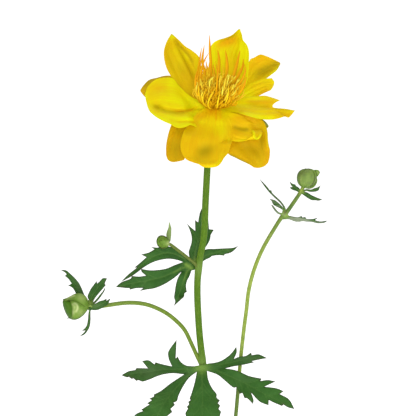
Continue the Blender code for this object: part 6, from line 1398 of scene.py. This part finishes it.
class Bud:
    """A round bud drawn by its outline, with sepals laid over it one on another."""

    def __init__(self, outline, centre, rd, d):
        pts = [np.array(p, float) for p in outline]
        self.c, self.rd, self.d = np.array(centre, float), rd, d
        ring = curve(pts + [pts[0]], 160)[:-1]
        th = np.arctan2(ring[:, 1] - self.c[1], ring[:, 0] - self.c[0])
        order = np.argsort(th)
        th, r = th[order], np.hypot(*(ring[order] - self.c).T)
        self.th = np.concatenate([th - 2 * math.pi, th, th + 2 * math.pi])
        self.r = np.concatenate([r, r, r])
        self.k = Piece()

    def reach(self, th):
        return np.interp((th + math.pi) % (2 * math.pi) - math.pi, self.th, self.r)

    def at(self, x, y, up, sign):
        dx, dy = x - self.c[0], y - self.c[1]
        rho = np.hypot(dx, dy) / self.reach(np.arctan2(dy, dx))
        h = np.sqrt(np.clip(1 - np.clip(rho, 0, 1) ** 2, 0, 1)) * (1 + up)
        grow = 1 + up * 0.25
        return lift(self.c[0] + dx * grow, self.c[1] + dy * grow, self.d + sign * self.rd * h)

    def core(self, dark=0.5):
        th, ph = np.meshgrid(np.linspace(0, 2 * math.pi, 65)[:-1], np.linspace(-math.pi / 2, math.pi / 2, 31)[1:-1], indexing="ij")
        r = self.reach(th) * np.cos(ph) * 0.965
        P = lift(self.c[0] + r * np.cos(th), self.c[1] + r * np.sin(th), self.d + self.rd * 0.95 * np.sin(ph)).reshape(-1, 3)
        m = th.shape[1]
        F = []
        for i in range(64):
            for j in range(m - 1):
                a, b = i * m, ((i + 1) % 64) * m
                F.append((a + j, a + j + 1, b + j + 1, b + j))
        lo, hi = len(P), len(P) + 1
        P = np.vstack([P, lift(self.c[0], self.c[1], self.d - self.rd * 0.95)[None], lift(self.c[0], self.c[1], self.d + self.rd * 0.95)[None]])
        for i in range(64):
            a, b = i * m, ((i + 1) % 64) * m
            F += [(lo, a, b), (hi, b + m - 1, a + m - 1)]
        # painted shade: the inner ball, seen only in gaps between the sepals, is painted dark as the inside of the bud
        # in shade
        self.k.add(P, F, dark=dark)

    def sheet(self, left, right, up=0.05, sign=1, end=None, shade=None, edge=0.75, thick=0.24, cup=0.0, band_w=0.13):
        nu, nv = 34, 44
        lft, rgt = curve(left, nv + 1), curve(right, nv + 1)
        end = [left[-1], right[-1]] if end is None else end
        far = np.linalg.norm(np.subtract(end[0], end[-1])) > 1e-6
        end_c = curve(end, nu + 1) if far else np.repeat(np.array([end[0]], float), nu + 1, 0)
        s, t = np.meshgrid(np.linspace(0, 1, nv + 1), np.linspace(0, 1, nu + 1), indexing="ij")
        S, T = s[..., None], t[..., None]
        q = lft[:, None] * (1 - T) + rgt[:, None] * T + (lft[0] * (1 - T) + rgt[0] * T) * (1 - S) + end_c[None] * S
        q = q - (lft[0] * (1 - S) * (1 - T) + rgt[0] * (1 - S) * T + lft[-1] * S * (1 - T) + rgt[-1] * S * T)
        x, y = q[..., 0], q[..., 1]
        m = np.minimum(np.minimum(t, 1 - t) * 2, (1 - s) * 1.6)
        lifted = up * np.clip(s * 5, 0.2, 1) + cup * np.clip(1 - m / 0.35, 0, 1) ** 2 + 0.012 * np.sin(t * 19 + s * 3)
        P = self.at(x, y, lifted, sign).reshape(-1, 3)
        w = nu + 1
        i, j = np.meshgrid(np.arange(nv), np.arange(nu), indexing="ij")
        a = (i * w + j).ravel()
        F = np.stack([a, a + 1, a + w + 1, a + w], 1)
        P2, F2 = shell(P, F, thick * np.clip(m * 6, 0.35, 1).ravel(), -AWAY * sign)
        light, dark, grey, spot = (z(x), z(x), z(x), z(x)) if shade is None else (tuple(shade(x, y, s, t)) + (z(x),))[:4]
        rim = (edge if np.isscalar(edge) else edge[0] + (edge[1] - edge[0]) * t) * np.clip(1.25 - m / band_w, 0, 1)
        self.k.add(P2, F2, u=both(t.ravel()), s=both(s.ravel()), rim=both(rim.ravel()), light=both(np.clip(light, 0, 1).ravel()),
                   dark=both(np.clip(dark, 0, 1).ravel()), grey=both(np.clip(grey, 0, 1).ravel()), spot=both(np.clip(spot, 0, 1).ravel()))

    def spike(self, points, radius, **attrs):
        path = curve([lift(*p) for p in points], 14)
        f = np.linspace(0, 1, 14)
        P, F, along, cs, sn = tube(path, radius * (1 - 0.9 * f ** 1.5), 10)
        self.k.add(P, F, **attrs)


# the left bud: a pale hood over a front sepal with a painted highlight, and beyond it a sepal painted dark as the shade
# inside the bud's opening
UPPER = [(88.6, 307.0), (88.3, 303.4), (86.8, 299), (83.8, 295.4), (79.6, 293.7), (75, 294.3), (70.8, 296.4), (66.8, 298.4), (63.3, 299.4)]
LOWER = [(88.6, 307.6), (86.4, 311.6), (83.2, 315.2), (79.4, 318.1), (75.5, 319.5), (72, 319.3), (69, 317.8), (67.0, 315.0), (65, 311), (63.4, 306), (62.8, 302), (63.2, 299.8)]
bl = Bud(UPPER + LOWER[::-1][1:], (76, 307), 4.5, LEFT_BUD_D)
bl.core(0.8)
# painted shade: the far sepal, seen in the bud's opening, is painted dark all over
bl.sheet([(73, 319.0), (69.2, 317.8), (67.0, 315.0), (65, 311), (63.4, 306), (62.8, 302), (63.3, 300)], [(79, 318), (77, 312), (75, 306.6), (71.6, 303), (67.4, 301), (63.6, 299.9)], up=0.03,
         shade=lambda x, y, s, t: (0.16 * band(x, y, [(67.6, 303), (68.6, 308), (69, 313)], 0.9), 0.86 + 0.14 * band(x, y, [(63.4, 302), (65, 310), (68, 316)], 1.6), z(x)), edge=1.0)
# the front sepal: a painted highlight down its middle, painted shade along its lower edge and a painted shadow under
# the hood's lip
bl.sheet([(87.6, 306.6), (84.6, 305.4), (80, 302.4), (75, 300.8), (70.0, 300.9)], [(88.2, 308.4), (86.0, 311.8), (83, 315.0), (79.2, 317.9), (75.2, 319.2), (71.2, 318.6)], up=0.10,
         end=[(70.0, 300.9), (71.4, 304.6), (72.2, 309), (72.0, 314), (71.2, 318.6)],
         shade=lambda x, y, s, t: (0.82 * band(x, y, [(72.6, 303.2), (76.4, 304.2), (77.6, 307.4), (76.6, 310.4), (74.8, 312.6)], 1.0) + 0.45 * lump(x, y, 74.6, 306.8, 1.6, 2.6) + 0.62 * lump(x, y, 73.2, 312.0, 1.5, 2.8) + 0.50 * lump(x, y, 72.6, 304.6, 0.9, 1.2) + 0.30 * lump(x, y, 80, 312, 4, 4), 0.55 * band(x, y, [(72, 318.4), (77, 318.8), (82, 316), (86, 311.6)], 1.5) + 0.22 * lump(x, y, 84, 308, 4, 3)
                                   + 0.35 * band(x, y, [(72, 302.6), (77, 304), (82, 306.6)], 1.4), z(x)), edge=0.5)
# the hood: painted highlights along its upper margin and painted shade towards its lower margin
bl.sheet(UPPER[:-1] + [(63.4, 299.5)], [(88.4, 308.0), (85.4, 307.0), (81, 304.6), (77, 302.4), (73, 300.9), (69, 300.7), (66, 301.0), (63.6, 300.6)], up=0.16,
         shade=lambda x, y, s, t: (0.26 * lump(x, y, 81, 298.4, 5, 3.6, 25) + 0.62 * band(x, y, [(66.4, 299.2), (71.5, 297.2), (76, 295.8)], 0.8), 0.32 * band(x, y, [(84, 306), (79, 302.8), (74, 300.2), (68, 300.2)], 1.3) + 0.15 * lump(x, y, 86, 301, 2, 4), 0.28 * lump(x, y, 68.5, 299.4, 3.4, 0.9, -10)), edge=0.75)
bl.sheet([(88.4, 308.0), (84, 307), (78, 306), (70, 304), (63.6, 300.2)], LOWER[:-1] + [(63.4, 299.7)], up=0.05, sign=-1, shade=lambda x, y, s, t: (0.2 * lump(x, y, 78, 312, 6, 4), 0.2 + z(x), z(x)))
bl.sheet(UPPER[:-1] + [(63.4, 299.5)], [(88.4, 308.4), (84, 309), (77, 309.6), (69, 307), (63.6, 300.6)], up=0.12, sign=-1, shade=lambda x, y, s, t: (0.3 * lump(x, y, 78, 300, 7, 4), z(x), z(x)))
bl.spike([(70.6, 317.4, LEFT_BUD_D + 1.0), (68.4, 318.0, LEFT_BUD_D + 1.0), (66.4, 318.5, LEFT_BUD_D + 0.9)], 0.26, dark=0.9, rim=0.8)
bl.k.make("bud_left_fine", BUD, nodes=("bud_left",), slot="bud")

# the right bud: nearly closed, with one lobe standing off at its upper right
RING = [(303.8, 187.9), (300.6, 186.2), (298.2, 183), (297.2, 179.4), (297.4, 175.4), (298.9, 172.0), (301.6, 169.9), (304.8, 168.9), (308.6, 168.8), (312, 169.5), (315, 171.2), (316.5, 174.2), (316.6, 178), (315.3, 182.4), (312.2, 185.6), (308.4, 187.8)]
br = Bud(RING, (307.0, 178.3), 3.5, RIGHT_BUD_D)
br.core(0.6)
br.sheet([(303.6, 187.6), (302, 180), (304, 173), (310, 169.6), (313.0, 169.9), (316.3, 169.4), (319.0, 169.9), (320.4, 171.8)], [(305.0, 188.2), (309.8, 189.2), (314.0, 187.6), (316.8, 184.0), (317.8, 180.2), (317.2, 177.2), (319.0, 175.2), (320.4, 172.6)], up=-0.15, sign=1,
         end=[(320.4, 171.8), (320.6, 172.2), (320.4, 172.6)],
         shade=lambda x, y, s, t: (0.25 * lump(x, y, 317, 181, 2, 5) + 0.35 * lump(x, y, 318.2, 172.4, 1.8), 0.30 * lump(x, y, 316.4, 176.4, 1.6, 2.4), z(x)), edge=0.5)
br.sheet([(303.4, 187.8), (300.4, 186.0), (298.1, 183), (297.1, 179.4), (297.3, 175.4), (298.8, 172.0), (301.6, 169.8), (304.8, 168.8)], [(304.6, 187.4), (305.6, 182), (306, 176), (306.4, 172), (306, 168.9)], up=0.06,
         shade=lambda x, y, s, t: (0.06 + z(x), 0.18 + 0.40 * band(x, y, [(299.6, 185), (297.6, 180), (298, 174.6), (301, 170.8)], 1.4), 0.10 + 0.38 * lump(x, y, 301.5, 174, 2.6, 3.4)), edge=1.0, band_w=0.2)
br.sheet([(304.0, 187.4), (307, 182), (308.6, 176), (308.8, 172), (307.6, 168.9)], [(305.0, 187.9), (308.6, 187.8), (312.3, 185.6), (315.4, 182.4), (316.6, 178), (316.5, 174.2), (315, 171.2), (312, 169.5), (308.8, 168.8)], up=0.06,
         shade=lambda x, y, s, t: (0.2 * lump(x, y, 314, 180, 2, 4), 0.20 * band(x, y, [(313.6, 184), (316, 179), (315.6, 174)], 1.2), z(x)), edge=1.0, band_w=0.2)
br.sheet([(303.4, 187.2), (300.6, 184.2), (299.6, 179.6), (300.4, 175.2), (303.0, 171.8), (306.2, 170.0), (308.6, 169.5)], [(304.8, 187.6), (309.4, 186.6), (313.0, 183.6), (314.9, 179), (314.6, 174.8), (312.6, 171.6), (309.4, 169.7)], up=0.14, cup=0.03,
         shade=lambda x, y, s, t: (0.07 + 0.08 * lump(x, y, 309.0, 177.6, 5.0, 6.5) + 0.08 * lump(x, y, 304.6, 181.6, 2.4, 4.0) + 0.20 * lump(x, y, 300.6, 179.6, 1.7, 4.6), 0.16 * band(x, y, [(305.8, 184), (305.0, 177), (306.6, 172)], 0.9) + 0.12 * band(x, y, [(309, 185), (311, 180), (310.6, 173.4)], 0.8), 0.14 + 0.38 * lump(x, y, 303.6, 174.2, 2.4, 2.8) + 0.26 * lump(x, y, 307.6, 171.8, 2.6, 1.3) + 0.28 * lump(x, y, 308.4, 182.6, 1.8, 1.2) + 0.26 * lump(x, y, 311.4, 176.2, 1.1, 2.2)), edge=(0.40, 1.0), band_w=0.20)
br.sheet([(303.4, 187.8), (300.4, 186.0), (298.1, 183), (297.1, 179.4), (297.3, 175.4), (298.8, 172.0), (301.6, 169.8), (304.8, 168.8)], [(304.8, 187.4), (308.6, 182), (310, 176), (309.4, 172), (307, 168.9)], up=0.06, sign=-1)
br.sheet([(304.0, 187.4), (304, 182), (304.6, 176), (305.6, 172), (306.6, 168.9)], [(305.0, 187.9), (308.6, 187.8), (312.3, 185.6), (315.4, 182.4), (316.6, 178), (316.5, 174.2), (315, 171.2), (312, 169.5), (308.8, 168.8)], up=0.11, sign=-1)
br.spike([(305.6, 170.4, RIGHT_BUD_D + 0.6), (305.8, 169.2, RIGHT_BUD_D + 0.6), (305.9, 168.0, RIGHT_BUD_D + 0.5)], 0.24, dark=0.6, rim=0.9)
br.k.make("bud_right_fine", BUD, nodes=("bud_right",), slot="bud")

# the middle bud: small, its near sepal pale at the foot and dark along its left margin
ROUND = [(169.0, 243.6), (168.0, 246.4), (165.6, 248.2), (162.4, 248.8), (159.2, 247.4), (156.9, 244.6), (156.2, 241.2), (157.0, 238.2), (159.2, 236.0), (162.2, 235.4), (165.2, 236.2), (167.6, 238.6), (168.8, 241.0)]
bm = Bud(ROUND, (162.6, 242.2), 2.4, MIDDLE_BUD_D)
bm.core(0.7)
SPOTS = [(157.4, 239.6), (159.4, 237.4), (162.0, 236.6), (157.3, 242.4), (158.4, 245.2), (164.8, 237.2), (160.8, 247.2), (163.8, 247.6), (160.0, 241.4), (162.6, 239.2)]
bm.sheet([(169.2, 243.0), (168.6, 240.6), (167.4, 238.4), (165.0, 236.2), (162.2, 235.4), (159.2, 236.0), (157.4, 238.0), (156.5, 240.6)], [(169.2, 244.2), (167.9, 246.4), (165.6, 248.2), (162.4, 248.8), (159.4, 247.4), (157.3, 244.8), (156.5, 241.8)], up=0.05,
         shade=lambda x, y, s, t: (0.10 * lump(x, y, 163, 240, 3), 0.22 + 0.55 * band(x, y, [(162, 235.6), (158, 237.4), (156.4, 241.4), (158, 246), (162, 248.6)], 1.2), z(x), sum(0.95 * lump(x, y, px, py, 0.62) for px, py in SPOTS)), edge=1.0, band_w=0.2)
bm.sheet([(169.4, 243.2), (168.4, 240.6), (166.4, 238.6), (163.6, 238.0), (160.6, 239.4)], [(169.4, 244.4), (167.6, 246.4), (165.0, 247.4), (162.4, 246.6), (160.6, 244.4)], up=0.16,
         end=[(160.6, 239.4), (159.6, 242), (160.6, 244.4)],
         shade=lambda x, y, s, t: (0.70 * lump(x, y, 168.6, 243.4, 2.4) + 0.12 * lump(x, y, 164, 242.6, 2.4), 0.26 + z(x) - 0.2 * lump(x, y, 168, 243.4, 3), z(x), 0.8 * lump(x, y, 161.6, 240.6, 0.55) + 0.8 * lump(x, y, 162.2, 244.6, 0.55) + 0.7 * lump(x, y, 164.6, 239.6, 0.5) + 0.7 * lump(x, y, 165.4, 245.8, 0.5)), edge=0.6)
bm.sheet([(169.2, 243.0), (168.6, 240.6), (167.4, 238.4), (165.0, 236.2), (162.2, 235.4), (159.2, 236.0), (157.4, 238.0), (156.5, 240.6)], [(169.2, 244.2), (167.9, 246.4), (165.6, 248.2), (162.4, 248.8), (159.4, 247.4), (157.3, 244.8), (156.5, 241.8)], up=0.06, sign=-1)
bm.spike([(166.8, 243.4, MIDDLE_BUD_D - 0.3), (168.8, 243.9, MIDDLE_BUD_D - 0.6), (170.8, 244.6, MIDDLE_BUD_D - 0.9)], 0.85, light=0.75)
bm.k.make("bud_middle_fine", BUD, nodes=("bud_middle",), slot="bud")

# ================================ pot and soil ==========================================================
H, R0 = POT_HEIGHT, POT_RIM_R
body_z = H - RIM_BAND
inner_top = R0 - POT_WALL - 0.4
profile = rounded([
    (DRAIN_R, 0.0, 1.0), (POT_FOOT_R - 1.2, 0.0, 0.6), (POT_FOOT_R, 1.2, 0.8),
    (POT_BODY_TOP_R, body_z, 1.0), (R0 - 2.6, body_z + 0.6, 0.5), (R0 - 2.0, body_z + 2.4, 1.4),
    (R0 - 0.3, H - 3.0, 1.2), (R0 - 0.6, H - 1.0, 0.8), (R0 - 2.4, H, 1.0), (inner_top + 1.4, H, 0.8), (inner_top, H - 1.4, 0.8),
    (POT_BODY_TOP_R - POT_WALL, body_z - 2.0, 2.0), (POT_FOOT_R - POT_WALL + 1.0, FLOOR_T, 2.0), (DRAIN_R, FLOOR_T, 0.8)], 5)
P, F = turned(profile, 168, wave=lambda zz, an: 0.05 * np.sin(zz * 2.3 + 0.6 * np.sin(an * 2)) + 0.05 * np.sin(an * 3 + zz * 0.05))
zz = P[:, 2] / MM
rr = np.hypot(P[:, 0], P[:, 1]) / MM
Piece().add(P, F, bloom=np.clip(1.15 - np.abs(zz - 84) / 26, 0.15, 1) * (zz > 3), damp=np.clip(1 - zz / 15, 0, 1) * 0.6 + np.where((rr < inner_top + 0.6) & (zz > 60), np.clip(1 - (zz - 97) / 12, 0, 1), 0.0) * 0.8,
            rim=np.clip((zz - H + 1.6) / 1.6, 0, 1)).make("pot_fine", CLAY, nodes=("pot",), slot="clay", sharp=70)


def inner_r(zv):
    z0, r0 = FLOOR_T, POT_FOOT_R - POT_WALL + 1.0
    z1, r1 = body_z - 2.0, POT_BODY_TOP_R - POT_WALL
    z2, r2 = H - 1.4, inner_top
    return r0 + (r1 - r0) * (zv - z0) / (z1 - z0) if zv < z1 else r1 + (r2 - r1) * (zv - z1) / (z2 - z1)


def soil_z(x, y):
    r = np.hypot(x, y)
    base = np.interp(r, [0, 20, 42, 54], [SOIL_TOP, SOIL_TOP - 0.3, SOIL_EDGE + 0.7, SOIL_EDGE])
    return base + 0.42 * wob(x * 0.35, y * 0.35, 3) + 0.26 * wob(x * 1.1, y * 1.1, 4) + 0.14 * wob(x * 2.7, y * 2.7, 5)


rings, spokes = 64, 150
top_r = inner_r(SOIL_EDGE) - GAP - 0.15
rad = np.linspace(0, top_r, rings + 1)[1:]
an = np.arange(spokes) * 2 * math.pi / spokes
rg, ag = np.meshgrid(rad, an, indexing="ij")
px, py = rg * np.cos(ag), rg * np.sin(ag)
pz = soil_z(px, py)
pts = [np.array([[0, 0, float(soil_z(np.array(0.0), np.array(0.0)))]])] + [np.stack([px, py, pz], -1).reshape(-1, 3)]
sides = [(inner_r(body_z - 2.0) - GAP - 0.15, body_z - 2.0), (inner_r(FLOOR_T) - 0.55, FLOOR_T + GAP)]
for r1, z1 in sides:
    pts.append(np.stack([r1 * np.cos(an), r1 * np.sin(an), np.full(spokes, z1)], -1))
pts.append(np.array([[0, 0, FLOOR_T + GAP]]))
P = np.vstack(pts) * MM
F = [(0, 1 + k, 1 + (k + 1) % spokes) for k in range(spokes)]
for i in range(rings - 1 + len(sides)):
    for k in range(spokes):
        a, b = 1 + i * spokes + k, 1 + i * spokes + (k + 1) % spokes
        F.append((a, a + spokes, b + spokes, b))
last = 1 + (rings - 1 + len(sides)) * spokes
F += [(len(P) - 1, last + (k + 1) % spokes, last + k) for k in range(spokes)]
Piece().add(P, F, dry=np.clip(0.35 + 0.5 * wob(P[:, 0] * 120, P[:, 1] * 120, 9), 0, 1)).make("soil_fine", SOIL, nodes=("soil",), slot="soil")

# loose crumbs and grit on the soil, clear of the stems
ico_v, ico_f = [], []
g = (1 + 5 ** 0.5) / 2
for a in (-1, 1):
    for b in (-g, g):
        ico_v += [(0, a, b), (a, b, 0), (b, 0, a)]
ico_v = np.array(ico_v, float)
ico_v /= np.linalg.norm(ico_v[0])
ed = 2 / math.sqrt(1 + g * g) + 1e-6
for i in range(12):
    for j in range(i + 1, 12):
        for l in range(j + 1, 12):
            if all(np.linalg.norm(ico_v[p] - ico_v[q]) < ed for p, q in ((i, j), (j, l), (i, l))):
                tri = (i, j, l)
                if np.cross(ico_v[j] - ico_v[i], ico_v[l] - ico_v[i]).dot(ico_v[i]) < 0:
                    tri = (i, l, j)
                ico_f.append(tri)
cache, vv, ff = {}, list(ico_v), []
for a, b, c in ico_f:
    m = []
    for p, q in ((a, b), (b, c), (c, a)):
        key = (min(p, q), max(p, q))
        if key not in cache:
            cache[key] = len(vv)
            w = vv[p] + vv[q]
            vv.append(w / np.linalg.norm(w))
        m.append(cache[key])
    ff += [(a, m[0], m[2]), (b, m[1], m[0]), (c, m[2], m[1]), (m[0], m[1], m[2])]
BALL_V, BALL_F = np.array(vv), ff
FEET = [(-0.65, 0.0), (3.4, 3.4)] + [(s[2] * math.cos(math.radians(s[1])), s[2] * math.sin(math.radians(s[1]))) for s in BASAL_SPECS]


def crumbs(name, count, small, large, mat, seed, flat, **attrs):
    r = random.Random(seed)
    k = Piece()
    made = 0
    while made < count:
        size = small + (large - small) * r.random() ** 3
        q, th = (top_r - size - 0.3) * math.sqrt(r.random()), r.uniform(0, 2 * math.pi)
        x, y = q * math.cos(th), q * math.sin(th)
        if any(math.hypot(x - a, y - b) < size + 1.9 for a, b in FEET):
            continue
        v = BALL_V * (1 + 0.22 * np.array([math.sin(5 * p[0] + 3 * p[1] * (1 + made % 5) + made) for p in BALL_V]))[:, None]
        v = v * np.array([r.uniform(0.7, 1.3), r.uniform(0.6, 1.0), flat * r.uniform(0.6, 1.1)])
        c, s = math.cos(th * 7), math.sin(th * 7)
        v = np.stack([v[:, 0] * c - v[:, 1] * s, v[:, 0] * s + v[:, 1] * c, v[:, 2]], 1) * size
        zc = float(soil_z(np.array(x), np.array(y))) + size * 0.18
        k.add((v + np.array([x, y, zc])) * MM, BALL_F, **{a: r.uniform(*b) for a, b in attrs.items()})
        made += 1
    return k.make(name, mat, slot="soil")


crumbs("soil_crumbs", 900, 0.35, 1.8, SOIL, 21, 0.75, dry=(0.0, 1.0))
crumbs("soil_grit", 110, 0.4, 1.25, GRIT, 22, 0.8)

# ================================ stage, light and camera =================================================
me = bpy.data.meshes.new("floor")
me.from_pydata([(-20, -20, 0), (20, -20, 0), (20, 20, 0), (-20, 20, 0)], [], [(0, 1, 2, 3)])
floor = bpy.data.objects.new("floor", me)
bpy.context.scene.collection.objects.link(floor)
fm = Mat("floor", 0.9, spec=0.1)
fm.color(fm.mix(fm.noise(2.0, 2), (0.93, 0.93, 0.925), (0.95, 0.95, 0.948)))
fm.p.inputs["Emission Color"].default_value = (1, 1, 1, 1)
fm.p.inputs["Emission Strength"].default_value = 0.62
me.materials.append(fm.m)

# a plain wall far behind everything, as pale as the floor, which casts and blocks no light
me = bpy.data.meshes.new("backdrop")
ring = [(14.5 * math.cos(a), 14.5 * math.sin(a)) for a in np.linspace(0, 2 * math.pi, 97)[:-1]]
me.from_pydata([(x, y, h) for h in (-0.2, 14.0) for x, y in ring], [], [(k, (k + 1) % 96, 96 + (k + 1) % 96, 96 + k) for k in range(96)])
wall = bpy.data.objects.new("backdrop", me)
bpy.context.scene.collection.objects.link(wall)
wm = Mat("backdrop", 1.0, spec=0.0)
wm.color(wm.mix(wm.noise(0.5, 2), (0.02, 0.02, 0.02), (0.03, 0.03, 0.03)))
wm.p.inputs["Emission Color"].default_value = (1, 1, 1, 1)
wm.p.inputs["Emission Strength"].default_value = 0.99
me.materials.append(wm.m)
wall.visible_diffuse = wall.visible_glossy = wall.visible_transmission = wall.visible_shadow = False

world = bpy.data.worlds.new("studio")
bpy.context.scene.world = world
world.use_nodes = True
world.node_tree.nodes["Background"].inputs["Color"].default_value = (1, 1, 1, 1)
world.node_tree.nodes["Background"].inputs["Strength"].default_value = 0.555


def area(name, at, look, size, power, rgb=(1, 1, 1)):
    li = bpy.data.lights.new(name, "AREA")
    li.shape, li.size, li.energy, li.color = "DISK", size, power, rgb
    ob = bpy.data.objects.new(name, li)
    bpy.context.scene.collection.objects.link(ob)
    ob.location = at
    ob.rotation_euler = (Vector(look) - Vector(at)).to_track_quat("-Z", "Y").to_euler()
    ob.visible_camera = False
    return ob


area("key", (-0.75, -1.15, 1.30), (0, 0, 0.27), 1.4, 3.1, (1.0, 0.985, 0.96))
area("front", (0.06, -1.22, 0.52), (0, 0, 0.30), 0.34, 3.7)
area("fill", (1.15, -0.95, 0.92), (0, 0, 0.27), 1.0, 1.9, (1.0, 0.995, 0.98))
area("top", (0.2, 0.7, 1.5), (0, 0, 0.2), 1.0, 5.0)

cam = bpy.data.cameras.new("camera")
cam.sensor_width = 36.0
cam.lens = 36.0 * DRAW_DISTANCE / (DRAW_UNIT * DRAW_SIZE)
cam.clip_start, cam.clip_end = 0.05, 100.0
co = bpy.data.objects.new("camera", cam)
bpy.context.scene.collection.objects.link(co)
co.location = EYE * MM
co.rotation_euler = Vector(AWAY).to_track_quat("-Z", "Y").to_euler()
bpy.context.scene.camera = co
bpy.context.scene.view_settings.view_transform = "Standard"
bpy.context.scene.view_settings.look = "None"
